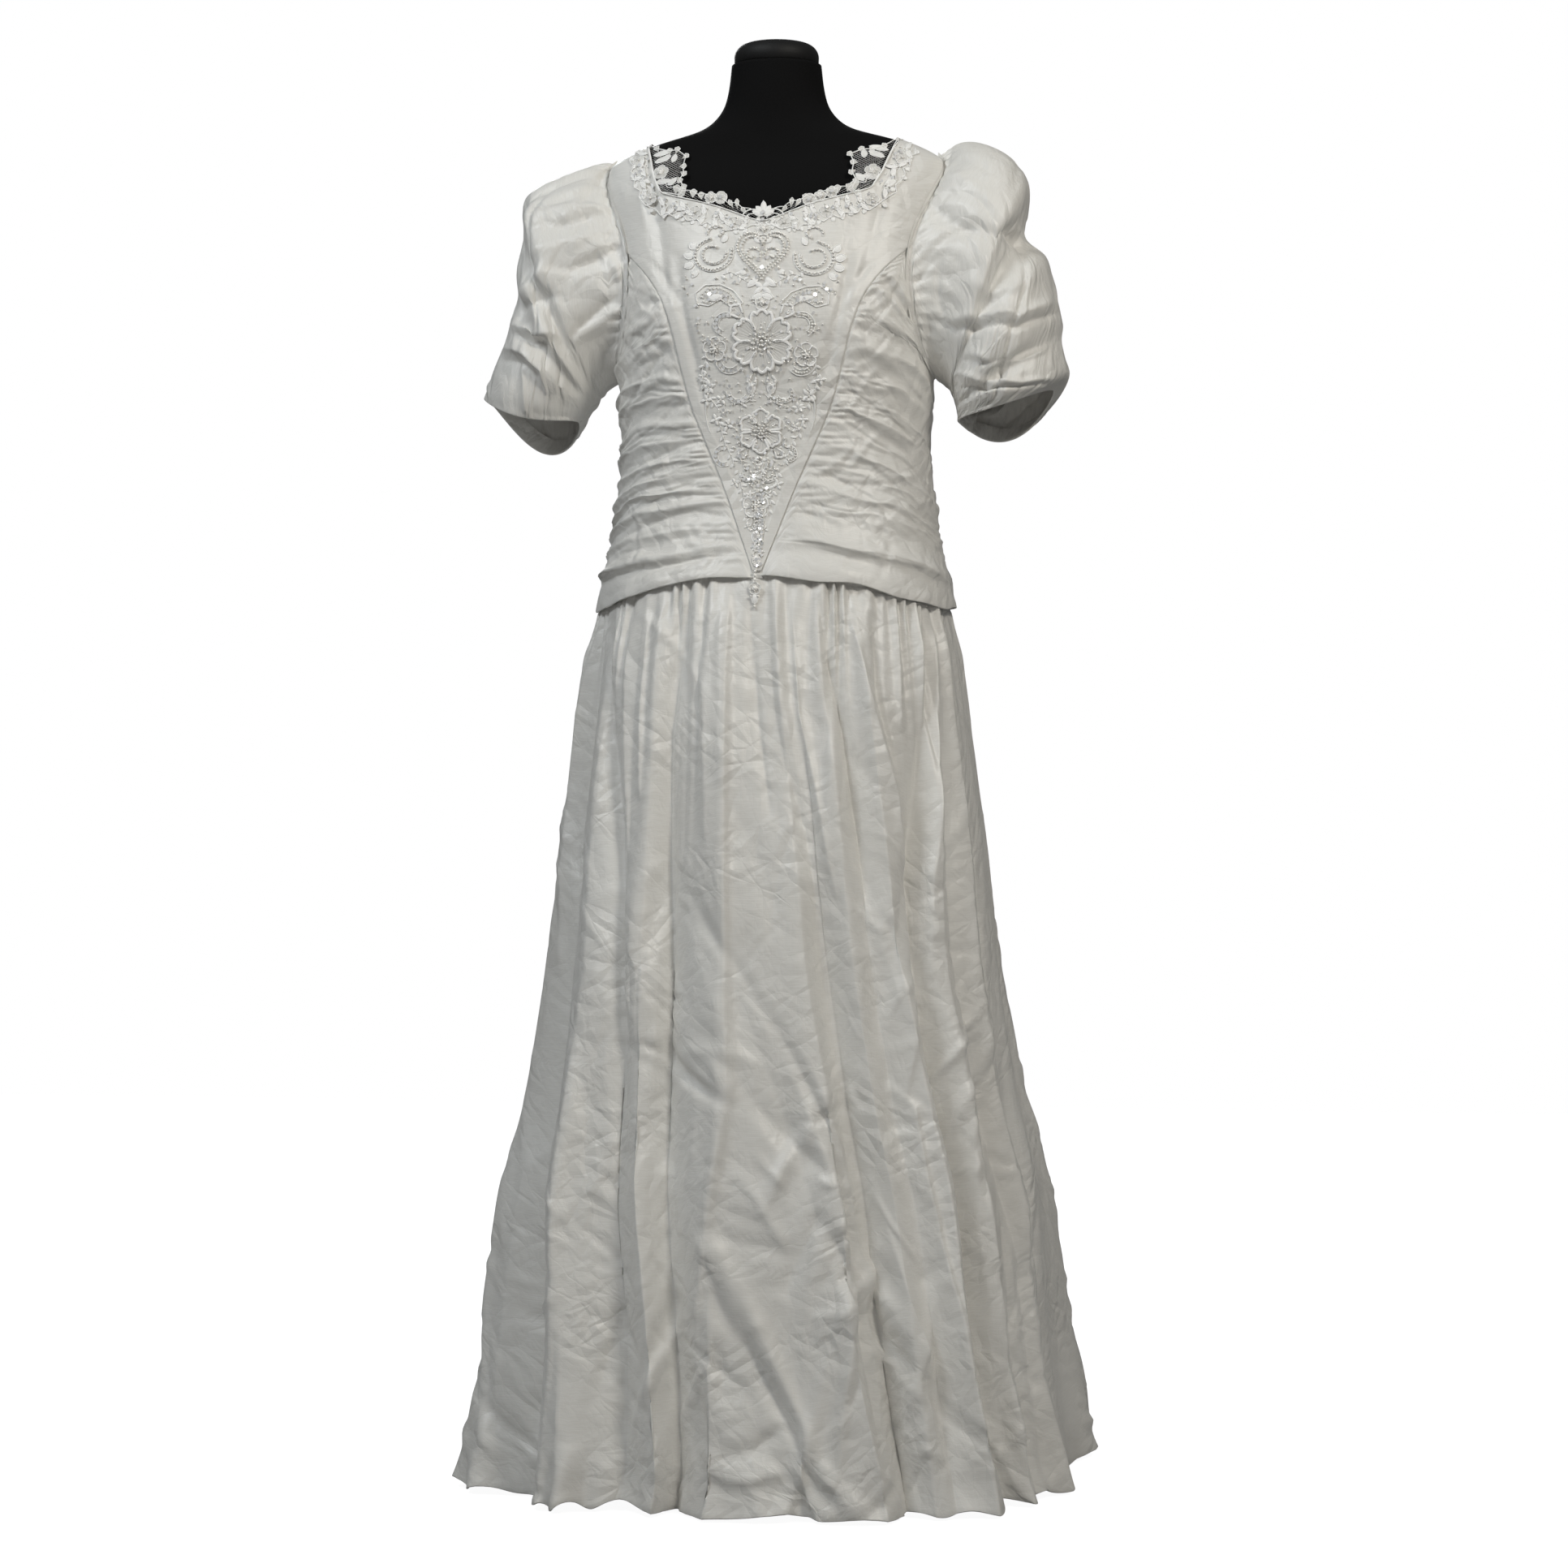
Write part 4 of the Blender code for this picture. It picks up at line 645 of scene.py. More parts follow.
SKIRT_SCALE = (0.0044, 1.0)     # metres for a degree and for a metre
SKIRT_LINES = [
    # height, width_left, width_right, (angle, z) ...
    (-12.5, 12, 16, (-56, 0.895), (-52, 0.830), (-47, 0.768), (-40, 0.690), (-35, 0.610), (-30, 0.500)),
    (6.0, 18, 5, (-44, 0.895), (-43, 0.830), (-38, 0.740), (-34, 0.658), (-29, 0.560), (-25, 0.440)),
    (5.0, 4, 12, (-35, 0.890), (-34, 0.850), (-33, 0.786), (-30, 0.700)),
    (-14.5, 9, 16, (-21, 0.900), (-21, 0.850), (-23, 0.767), (-21, 0.647), (-19, 0.548), (-16, 0.440),
     (-14, 0.330)),
    (5.0, 10, 4, (-14.8, 0.890), (-14.5, 0.859), (-12, 0.790), (-10.5, 0.728), (-9, 0.640)),
    (9.5, 4, 17, (-6.5, 0.920), (-6, 0.831), (-4.5, 0.659), (-3, 0.500), (-1.8, 0.416), (-4, 0.300),
     (-5, 0.173), (-4.5, 0.030)),
    (-8.0, 5, 9, (-1, 0.910), (-0.5, 0.859), (1.2, 0.769), (4, 0.680)),
    (-11.5, 11, 15, (2.5, 0.915), (4.5, 0.794), (8, 0.720), (11.5, 0.669), (14, 0.590), (16, 0.517),
     (17.5, 0.416), (19, 0.300), (21, 0.160)),
    (7.5, 9, 4, (9.2, 0.910), (9.2, 0.883), (11, 0.785), (16.2, 0.687), (20, 0.600)),
    (-11.0, 6, 10, (17, 0.905), (18.8, 0.849), (23.8, 0.769), (26, 0.690), (29, 0.590)),
    (10.0, 5, 18, (26, 0.905), (26.5, 0.890), (32.5, 0.800), (39.5, 0.701), (41.2, 0.603), (38, 0.468),
     (34, 0.400)),
    (-8.0, 4, 7, (35, 0.890), (36.5, 0.801), (40.5, 0.730)),
    (5.0, 7, 4, (46, 0.900), (45.5, 0.876), (44, 0.769)),
    (-14.0, 11, 14, (62.5, 0.900), (61.8, 0.885), (54.8, 0.768), (49, 0.690), (43.5, 0.624), (41, 0.500)),
    (8.0, 12, 5, (67, 0.895), (61, 0.790), (55, 0.700), (49.5, 0.624), (47, 0.520)),
    (-9.5, 9, 12, (74.5, 0.890), (74.5, 0.812), (75.8, 0.656), (75.2, 0.438), (74, 0.250)),
    (9.0, 4, 15, (30, 0.420), (36, 0.395), (36, 0.328), (37, 0.269), (40, 0.191), (42, 0.100), (44, 0.040)),
    (6.0, 5, 10, (22.5, 0.330), (27, 0.244), (31, 0.174), (32, 0.060)),
    (6.0, 10, 10, (56, 0.480), (54, 0.403), (50, 0.285), (52, 0.180), (53, 0.060)),
    (-15.0, 11, 14, (62, 0.460), (65, 0.330), (69, 0.237), (71, 0.140), (71, 0.020)),
    (8.5, 5, 10, (80, 0.360), (80, 0.220), (80, 0.030)),
    (-9.0, 9, 5, (59, 0.150), (61, 0.080), (60, 0.020)),
    (8.0, 4, 10, (-3, 0.280), (1, 0.200), (6, 0.110), (11, 0.030)),
    (-9.5, 4, 8, (-4, 0.250), (0, 0.175), (5, 0.085), (9, 0.028)),
    (7.0, 8, 4, (11, 0.036), (14, 0.120), (19, 0.235)),
    (-6.0, 4, 4, (-2, 0.170), (-0.5, 0.110)),
    (-6.0, 4, 6, (-1, 0.055), (4, 0.092)),
    (5.0, 7, 4, (-4, 0.072), (0, 0.040), (5, 0.050)),
    (4.5, 5, 6, (-1, 0.340), (6, 0.255)),
    (4.5, 6, 5, (8, 0.370), (2, 0.290)),
    (-5.5, 5, 7, (12, 0.300), (5, 0.215)),
    (7.5, 6, 18, (-40, 0.460), (-36, 0.300), (-33, 0.160), (-33, 0.030)),
    (-11.0, 10, 14, (-66, 0.860), (-61, 0.700), (-55, 0.520), (-50, 0.380)),
    (7.5, 6, 14, (-74, 0.860), (-70, 0.700), (-64, 0.520)),
    (9.0, 8, 15, (-60, 0.340), (-57, 0.200), (-55, 0.040)),
    (-9.5, 9, 12, (-48, 0.300), (-46, 0.180), (-46, 0.040)),
]
SKIRT_LINES_BACK = [
    # height, width_left, width_right, (angle, z) ...
    (-11.0, 10, 14, (101, 0.890), (99, 0.720), (97, 0.520), (98, 0.300)),
    (7.5, 5, 15, (112, 0.890), (110, 0.700), (109, 0.480), (110, 0.260)),
    (-12.5, 10, 15, (127, 0.890), (128, 0.700), (131, 0.470), (130, 0.220)),
    (8.0, 5, 16, (141, 0.890), (139, 0.720), (137, 0.500), (138, 0.120)),
    (-11.0, 10, 14, (152, 0.890), (149, 0.660), (147, 0.420), (146, 0.160)),
    (7.5, 14, 5, (166, 0.890), (165, 0.640), (167, 0.380), (166, 0.060)),
    (-9.5, 10, 14, (173, 0.890), (175, 0.700), (176, 0.400), (176, 0.160)),
    (8.0, 5, 15, (185, 0.890), (184, 0.680), (186, 0.420), (187, 0.060)),
    (-12.5, 10, 14, (194, 0.890), (195, 0.660), (193, 0.420), (196, 0.180)),
    (7.5, 5, 16, (207, 0.890), (204, 0.680), (203, 0.460), (206, 0.100)),
    (-11.0, 10, 14, (219, 0.890), (221, 0.700), (222, 0.460), (224, 0.160)),
    (9.0, 15, 5, (232, 0.890), (234, 0.700), (232, 0.480), (236, 0.140)),
    (-11.5, 10, 14, (247, 0.890), (249, 0.700), (251, 0.480), (250, 0.260)),
    (7.5, 5, 15, (259, 0.890), (258, 0.720), (257, 0.500), (259, 0.300)),
]
SKIRT_CRUMPLES = [
    # count, length, half_width, height, lean
    (110, 0.100, 0.014, 0.0068, 36),
    (240, 0.046, 0.008, 0.0044, 60),
    (240, 0.026, 0.0055, 0.0028, 80),
    (56, 0.230, 0.020, 0.0085, 12),
]
FOLD_DEPTH = 1.15               # mean share of the solids' fold heights
CRUMPLED_WIDTH = 1.3            # metres of hem that the counts are for
GATHER_ANGLE = 7.0              # degrees from one gather to the next
GATHER_DEPTH = 0.0130
WAIST_TUCK = 0.0040             # how far the skirt's top goes in under the bodice's edge
SKIRT_RISE = 0.0030             # and up behind it
HEM_WAVE_ANGLE = 13.0           # degrees from one wave to the next
FOLD_SWAY = 1.3                 # degrees that the folds wander by
SKIRT_ROWS = 225
ROW_CROWDING = 1.08             # rows lie a little closer near the waist
SKIRT_PANELS = [
    # node, folds, lines, columns, seed
    ("skirt_front", FOLDS_FRONT, SKIRT_LINES, 421, 100),
    ("skirt_back_left", FOLDS_BACK_LEFT, SKIRT_LINES_BACK, 171, 200),
    ("skirt_back_right", FOLDS_BACK_RIGHT, SKIRT_LINES_BACK, 171, 300),
]


def fold_share(z):
    """Share of the way down the skirt of a level."""
    return (SIDE_WAIST_Z - z) / (SIDE_WAIST_Z - HEM_Z)


def fold_places(folds, place, down):
    """Angles and heights of a skirt panel's folds: place counts them, and down goes from waist to hem."""
    folds = np.array(folds, float)
    index = np.minimum(place.astype(int), len(folds) - 2)
    share = place - index
    levels = [fold_share(z) for z in SKIRT_LEVELS]
    angles = columns_at([(level, *folds[:, k]) for k, level in enumerate(levels)], down)
    outs = columns_at([(level, *folds[:, 3 + k]) for k, level in enumerate(levels)], down) * MILLIMETRE
    sharp = 0.35 + 0.6 * folds[:, 6]
    blend = hermite(0.0, 1.0, sharp[index], sharp[index + 1], share)
    angle = angles[:, index] + (angles[:, index + 1] - angles[:, index]) * share
    return angle, outs[:, index] + (outs[:, index + 1] - outs[:, index]) * blend


def waist_gathers(angle, down):
    """Heights of the gathers that fall from the waist, each fading at a level of its own."""
    level = 0.0 * down
    phase = angle / GATHER_ANGLE + 1.1 * soft_noise(angle / 9.0, down * 2.5, 5)
    fading = ease(down / 0.012) * np.exp(-down / (0.085 + 0.065 * soft_noise(angle / 7.0, level, 9)))
    uneven = 0.70 + 0.55 * soft_noise(angle / 8.0, level, 10)
    return GATHER_DEPTH * (np.abs(np.cos(math.pi * phase)) ** 1.5 - 0.50) * fading * uneven


def waving_hem(angle, down):
    """How far the hem's wave and curl stand out, and how far its wave lifts the cloth."""
    level = 0.0 * down
    wave = math.tau * (angle / HEM_WAVE_ANGLE + 0.55 * soft_noise(angle / 17.0, level, 17))
    curl = np.clip((down - 0.972) / 0.028, 0.0, 1.0) ** 2 * (0.6 + 0.6 * np.sin(wave))
    out = HEM_WAVE * np.cos(wave) * ease((down - 0.90) / 0.10) + HEM_CURL * curl
    lift = HEM_LIFT * (0.5 + 0.5 * np.sin(wave)) * (0.6 + 0.4 * soft_noise(angle / 20.0, level, 18))
    return out, lift * ease((down - 0.93) / 0.07)


def skirt_grid(folds, columns):
    """Grid of a skirt panel with its folds, the gathers of its waist and its waving hem."""
    count = len(folds) - 1
    place = np.linspace(0.0, count, columns)
    down = np.linspace(0.0, 1.0, SKIRT_ROWS) ** ROW_CROWDING
    angle, out = fold_places(folds, place, down)
    down = down[:, None]
    edges = np.clip(np.minimum(place, count - place), 0.0, 1.0)
    out *= FOLD_DEPTH + 0.40 * soft_noise(place * 0.9 + 3.7, down * 3.2, 12)
    angle += FOLD_SWAY * soft_noise(place * 0.7, down * 5.0, 13) * edges * ease(down / 0.15)
    out += GATHER_HEIGHT * np.cos(math.tau * place) * np.maximum(0.0, 1.0 - down / GATHER_FADE) * edges
    out *= ease(0.15 + down / 0.08)
    hem_out, hem_lift = waving_hem(angle, down)
    out += (waist_gathers(angle, down) + hem_out) * edges
    out -= WAIST_TUCK * (1.0 - ease(down / 0.07))
    top = waist_z(angle) + SKIRT_RISE
    z = top + (HEM_Z - top) * down + hem_lift * edges
    points = section(SKIRT_SECTIONS, angle, z) + level_normal(SKIRT_SECTIONS, angle, z) * out[..., None]
    return points, angle, edges


def crumpled_skirt(points, angle, edges, lines, seed):
    """A skirt panel with its listed folds, and crumples in patches that are stronger towards the hem."""
    across, down = cloth_places(points)
    patches = np.clip(0.75 + 0.80 * soft_noise(across * 6.0, down * 4.5, seed + 8), 0.15, 1.4)
    strength = (0.22 + 0.78 * ease((down - 0.10) / 0.50)) * patches
    share = np.ptp(across[-1]) / CRUMPLED_WIDTH
    height = 0.0020 * soft_noise(across * 14, down * 6, seed + 5) * strength
    for index, (count, *row) in enumerate(SKIRT_CRUMPLES):
        height += crumples(across, down, int(count * share), *row, seed + index) * strength
    mask = ease(down / 0.05) * edges
    folds = fold_lines(angle, points[..., 2], SKIRT_SCALE, lines) * mask
    outward = level_normal(SKIRT_SECTIONS, angle, points[..., 2])
    return points + outward * folds[..., None] + grid_normals(points) * (height * mask)[..., None]


def add_skirt(satin):
    """Front panel and two back panels."""
    for node, folds, lines, columns, seed in SKIRT_PANELS:
        points = crumpled_skirt(*skirt_grid(folds, columns), lines, seed)
        add_cloth("satin_" + node, turned_under(points, *TURNED_EDGES["skirt"]), satin, "satin", node)


# Bodice

RUCHE_SCALE = (0.0028, 1.0)    # metres for a degree and for a metre
RUCHE_LINES_LEFT = [
    # height, width_above, width_below, (angle, z) ...
    (3.0, 7, 2.5, (40, 1.234), (46, 1.232), (49, 1.221), (55, 1.210), (62, 1.203), (75, 1.180)),
    (-3.5, 2.5, 5, (43, 1.229), (54, 1.205), (64, 1.188), (79, 1.161)),
    (2.2, 6, 2.5, (37, 1.222), (45, 1.213), (50, 1.204), (55, 1.188)),
    (2.2, 6, 2.5, (35, 1.196), (45, 1.188), (57, 1.173), (65, 1.161)),
    (-2.6, 2.5, 5, (31, 1.183), (39, 1.170), (45, 1.160)),
    (3.0, 8, 2.5, (30, 1.161), (38, 1.154), (47, 1.144), (57, 1.132), (68, 1.119), (77, 1.101)),
    (-2.6, 2.5, 4, (25, 1.140), (37, 1.125), (46, 1.120)),
    (2.4, 5, 2.5, (24, 1.132), (32, 1.123), (42, 1.118), (54, 1.114)),
    (-3.5, 2.0, 5, (23, 1.123), (32, 1.112), (40, 1.101), (57, 1.080), (77, 1.053)),
    (2.4, 6, 2.5, (20, 1.102), (25, 1.101), (33, 1.092), (42, 1.082), (64, 1.056)),
    (-4.0, 2.0, 5, (20, 1.097), (28, 1.084), (42, 1.063), (62, 1.042), (83, 1.015)),
    (3.0, 9, 2.5, (24, 1.064), (40, 1.041), (56, 1.015), (79, 0.992)),
    (-4.0, 2.0, 5, (11, 1.039), (20, 1.032), (30, 1.018), (41, 1.002), (68, 0.978)),
    (2.4, 6, 2.5, (20, 1.009), (34, 1.006), (49, 0.991), (60, 0.976)),
    (-2.4, 2.5, 4, (7, 1.007), (20, 0.996), (32, 0.987)),
    (-3.0, 2.5, 4, (6, 0.992), (15, 0.989), (26, 0.974)),
    (5.0, 10, 2.0, (8, 0.966), (19, 0.958), (28, 0.950), (40, 0.943), (56, 0.937), (86, 0.923)),
    (-3.0, 2.0, 6, (9, 0.960), (19, 0.952), (28, 0.944), (40, 0.937), (56, 0.931), (84, 0.918)),
    (2.0, 7, 3.0, (6, 0.944), (16, 0.934), (30, 0.926), (44, 0.921)),
    (-1.6, 2.5, 4, (36, 0.930), (52, 0.918), (70, 0.910)),
]
RUCHE_LINES_RIGHT = [
    # height, width_above, width_below, (angle, z) ...
    (3.0, 5, 3, (48, 1.212), (44, 1.203), (38, 1.197), (33, 1.203), (34, 1.214)),
    (-4.0, 3, 3, (40, 1.212), (37, 1.207)),
    (3.0, 8, 2.5, (27, 1.186), (35, 1.180), (39, 1.171), (53, 1.151), (76, 1.134)),
    (2.4, 6, 2.5, (27, 1.178), (37, 1.162), (55, 1.141), (82, 1.130)),
    (-3.5, 2.0, 5, (29, 1.166), (38, 1.150), (45, 1.133), (62, 1.101)),
    (3.0, 7, 2.5, (24, 1.126), (34, 1.130), (41, 1.125), (52, 1.111), (80, 1.098)),
    (2.0, 5, 2.5, (23, 1.116), (30, 1.110), (37, 1.106), (46, 1.099)),
    (-3.5, 2.0, 5, (23, 1.108), (33, 1.097), (38, 1.084), (49, 1.074), (60, 1.060)),
    (3.0, 7, 2.5, (20, 1.079), (37, 1.082), (45, 1.077), (53, 1.067), (82, 1.050)),
    (-2.6, 2.5, 4, (18, 1.065), (28, 1.060), (40, 1.051), (60, 1.036)),
    (2.4, 6, 2.5, (17, 1.056), (30, 1.051), (42, 1.039), (62, 1.021)),
    (3.0, 8, 2.5, (15, 1.045), (28, 1.038), (34, 1.032), (44, 1.020), (80, 1.000)),
    (-3.0, 2.5, 5, (14, 1.030), (31, 1.015), (46, 1.001)),
    (2.6, 6, 2.5, (12, 1.020), (20, 1.013), (29, 1.014), (44, 1.007), (58, 0.994)),
    (-2.4, 2.5, 4, (10, 1.007), (21, 1.010), (30, 1.006)),
    (2.4, 5, 2.5, (8, 1.002), (23, 0.999), (35, 0.995), (46, 0.986)),
    (-3.5, 2.5, 5, (7, 0.986), (20, 0.994), (32, 0.988), (56, 0.971)),
    (5.0, 10, 2.0, (3, 0.956), (16, 0.952), (32, 0.942), (84, 0.929)),
    (-3.0, 2.0, 6, (4, 0.950), (16, 0.945), (32, 0.936), (82, 0.923)),
    (1.8, 6, 3.0, (12, 0.936), (30, 0.927), (48, 0.916)),
    (-1.6, 2.5, 4, (22, 0.930), (40, 0.920), (62, 0.908)),
]
RUCHE_CRUMPLES = [
    # count, length, half_width, height, lean
    (80, 0.034, 0.0050, 0.0018, 75),
    (70, 0.018, 0.0035, 0.0012, 45),
]
RUCHE_RELIEF = 0.55            # share of the solids' fold heights that stays under the finer lines
RUCHE_DEPTH_LEFT = 0.70        # share of all the relief on the wearer's left
RUCHE_DEPTH_RIGHT = 0.85       # and on the right
STREAK_HEIGHT = 0.0017         # of the fine ridges between the ruches
V_TUCK_PITCH = 0.0115          # from one small tuck at the V seam to the next
V_TUCK_DEPTH = 0.0026
SIDE_FRONT_COLUMNS = 104
SEAM_TUCK = 0.020              # share of the panel that runs under the centre front
SEAM_TUCK_DEPTH = 0.0014       # and how deep that lies


def ruche_rows(table, steps=7):
    """Levels and heights of a side panel's rows at the V seam, the middle and the outer edge, with steps rows
    for each crest and trough, and each row's place in the table and the whole part of that place."""
    rows = np.array(table, float)
    last = [TIP_Z, SIDE_WAIST_Z, SIDE_WAIST_Z, BAND_OUT * 0.5, BAND_OUT, BAND_OUT]
    rows = np.vstack([rows, last])
    place = np.linspace(0.0, len(rows) - 1, (len(rows) - 1) * steps + 1)
    index = np.minimum(place.astype(int), len(rows) - 2)
    part = (place - index)[:, None]
    falling = rows[index, 4:5] > rows[index + 1, 4:5]
    blend = np.where(falling, 1.0 - (1.0 - part) ** 2.2, part ** 1.2)
    levels = rows[index, :3] + (rows[index + 1, :3] - rows[index, :3]) * part
    heights = rows[index, 3:] + (rows[index + 1, 3:] - rows[index, 3:]) * blend
    return levels, heights, place[:, None], index[:, None]


def across_ruches(values, inside):
    """Values at the V seam, the middle and the outer edge, carried across the panel."""
    return through_three(values[:, :1], values[:, 1:2], values[:, 2:], RUCHE_MIDDLE, inside)


def uneven_ruches(out, z, inside, place, index, seed):
    """The ruches' heights, which swell and fade along each, with fine ridges between them."""
    swell = 0.75 + 0.65 * soft_noise(inside * 3.2 + 5.3 * index, z * 24.0, seed)
    relief = RUCHE_RELIEF * swell * (1.0 - 0.45 * ease((inside - 0.70) / 0.30))
    streak = place * 1.15 + 1.5 * soft_noise(inside * 2.6, z * 9.0, seed + 3)
    ridge = 1.0 - np.abs(2.0 * (streak - np.floor(streak)) - 1.0)
    patches = 0.5 + 0.5 * soft_noise(inside * 5.0, z * 42.0, seed + 4)
    return out * relief + STREAK_HEIGHT * (ridge - 0.4) * patches


def side_front_grid(table, seed):
    """One ruched side panel on the +X side, with columns from the V to the side: angles, levels and heights,
    where it may wander, how near its band is, the columns' shares and which rows are below the arm."""
    levels, heights, place, index = ruche_rows(table)
    share = np.linspace(-SEAM_TUCK, 1.0, SIDE_FRONT_COLUMNS)
    inside = np.clip(share, 0.0, 1.0)
    near_band = ease(place - (len(table) - 1))
    z = across_ruches(levels, inside)
    out = across_ruches(heights, inside) * MILLIMETRE
    out = uneven_ruches(out, z, inside, place, index, seed) * (1.0 - near_band) + out * near_band
    below_arm = levels[:, 2] <= UNDERARM_Z
    outer = np.where(below_arm, 90.0, armhole_angle_at(levels[:, 2]))[:, None]
    seam = v_seam_angle(levels[:, :1])
    angle = seam + (outer - seam) * share
    wander = ease(inside / 0.12) * ease((1.0 - inside) / 0.12) * (1.0 - near_band) * ease(place / 3.0)
    slow = 0.0034 * soft_noise(inside * 4.0, z * 38, seed + 1)
    quick = 0.0012 * soft_noise(inside * 11, z * 90, seed + 2)
    z = z + (slow + quick) * wander
    sag = -0.0045 + 0.0030 * soft_noise(angle / 15.0, angle * 0.0, seed + 6)
    edge_z = waist_z(angle) + sag * ease((1.0 - share) / 0.20)
    z = z + (edge_z - z[-1]) * near_band
    out += 0.0022 * soft_noise(angle / 12.0, z * 30.0, seed + 7) * near_band * ease(inside / 0.05)
    return angle, z, out, wander, near_band, share, below_arm


def ruched_side(table, lines, depth, seed):
    """One ruched side panel at a share of its depth, with its listed folds, small tucks at the V seam
    and crumples."""
    angle, z, out, wander, near_band, share, below_arm = side_front_grid(table, seed)
    mask = ease(share / 0.06) * ease((1.0 - share) / 0.05)
    out = out * depth + BAND_OUT * MILLIMETRE * (1.0 - depth) * near_band
    out = out + depth * fold_lines(angle, z, RUCHE_SCALE, lines) * mask
    tuck = np.abs(np.sin(math.pi * (z / V_TUCK_PITCH + 0.8 * soft_noise(z * 70, angle * 0, seed)))) ** 0.6
    near_seam = bump(share - 0.05, 0.09) * ease(share / 0.03) * wander.max(axis=1)[:, None]
    out += V_TUCK_DEPTH * (tuck - 0.45) * near_seam
    for index, row in enumerate(RUCHE_CRUMPLES):
        out += crumples(angle * RUCHE_SCALE[0], z, *row, seed + 5 + index) * wander
    out = np.where(share < 0.0, -SEAM_TUCK_DEPTH, out)
    points = body(angle, z, out)
    points[below_arm, -1, 1] = -0.5 * SEAM_GAP
    return np.concatenate([top_allowance(angle[0], z[0]), points])


def top_allowance(angle, z):
    """Two rows that carry the panel's top on under the centre front and the sleeve."""
    spread = np.linspace(-4.5, 3.0, len(angle))
    first = body(angle.mean() + spread * 1.2, z.mean() + 0.012, -0.0020)
    second = body(angle.mean() + spread, z.mean() + 0.004, -0.0018)
    return np.stack([first, second])


def soften(points, seed, depth=0.0016, size=0.022):
    """Small dents and slow waves over a grid, none at its edges."""
    across, down = cloth_places(points)
    rows, columns = points.shape[:2]
    rim = np.minimum(np.arange(columns), columns - 1 - np.arange(columns)) / (0.06 * columns)
    rim_down = np.minimum(np.arange(rows), rows - 1 - np.arange(rows)) / (0.03 * rows)
    mask = np.clip(rim, 0, 1)[None, :] * np.clip(rim_down, 0, 1)[:, None]
    height = dents(across, down, size, 2.4, 20, seed) - 0.5
    height += 0.6 * (dents(across, down, size * 0.6, 2.2, 150, seed + 1) - 0.5)
    height += 0.8 * soft_noise(across * 0.6 / size, down * 0.6 / size, seed + 2)
    return points + grid_normals(points) * (height * mask * depth)[..., None]


def add_side_fronts(satin):
    """The two ruched side panels; returns their edges at the side seams, both as on the +X side."""
    left = ruched_side(RUCHES_LEFT, RUCHE_LINES_LEFT, RUCHE_DEPTH_LEFT, 21)
    right = ruched_side(RUCHES_RIGHT, RUCHE_LINES_RIGHT, RUCHE_DEPTH_RIGHT, 31)
    for side, points in (("left", left), ("right", mirrored(right))):
        name = "bodice_side_front_" + side
        add_cloth("satin_" + name, turned_under(points, *TURNED_EDGES["side_front"]), satin, "satin", name)
    return left[2:, -1], right[2:, -1]


V_TOP_Z = V_SEAM[-1][0]
SEAM_BAND = (0.0125, 0.0005)   # width and height of the band inside each V seam
SEAM_TROUGH = (0.0175, 0.0012)  # distance from the seam and depth of the trough beside it
FRONT_WALL = 0.0009
YOKE_LINES_SOFT = [
    # height, width_left, width_right, (x, z) ...
    (-2.6, 4, 7, (-0.088, 1.262), (-0.078, 1.190), (-0.060, 1.115)),
    (1.2, 4, 4, (-0.100, 1.262), (-0.090, 1.200)),
    (-2.4, 6, 4, (0.090, 1.262), (0.080, 1.180), (0.064, 1.110)),
    (1.2, 4, 5, (0.102, 1.258), (0.092, 1.200)),
    (-4.0, 11, 8, (-0.130, 1.378), (-0.123, 1.340), (-0.112, 1.290), (-0.104, 1.250), (-0.096, 1.205)),
    (1.6, 5, 4, (-0.138, 1.372), (-0.134, 1.330), (-0.124, 1.285)),
    (-2.4, 8, 8, (0.130, 1.370), (0.121, 1.310), (0.110, 1.262), (0.100, 1.225)),
]


def center_front_grids(yoke_rows=26, outer=44, inner=34, v_rows=170):
    """Yoke and long V of the smooth front; the V's first row is the middle of the yoke's last."""
    turns = np.linspace(YOKE_LINES[0][0], YOKE_LINES[-1][0], outer)
    shares = columns_at(YOKE_LINES, turns)[:, 0]
    angle_low, z_low = armhole(turns)
    part = np.linspace(0.0, 1.0, inner + 1)[1:]
    angle_low = np.concatenate([angle_low, angle_low[-1] * (1.0 - part)])
    z_low = np.concatenate([z_low, np.full(inner, z_low[-1])])
    shares = np.concatenate([shares, shares[-1] + (1.0 - shares[-1]) * part])
    places = along(NECK_EDGE, shares)
    angle_up, z_up = angle_at(places[:, 0], places[:, 1]), places[:, 1]
    angle_up, angle_low = (np.concatenate([-a[:-1], a[::-1]]) for a in (angle_up, angle_low))
    z_up, z_low = (np.concatenate([z[:-1], z[::-1]]) for z in (z_up, z_low))
    share = np.linspace(0.0, 1.0, yoke_rows)[:, None]
    yoke = (angle_up + (angle_low - angle_up) * share, z_up + (z_low - z_up) * share)
    z = np.linspace(z_low[len(z_low) // 2], TIP_Z, v_rows)
    reach = v_seam_angle(z)
    reach[0] = angle_low[len(angle_low) // 2 + inner]
    side = np.linspace(-1.0, 1.0, 2 * inner + 1)
    return yoke, (reach[:, None] * side, np.broadcast_to(z[:, None], (v_rows, len(side))))


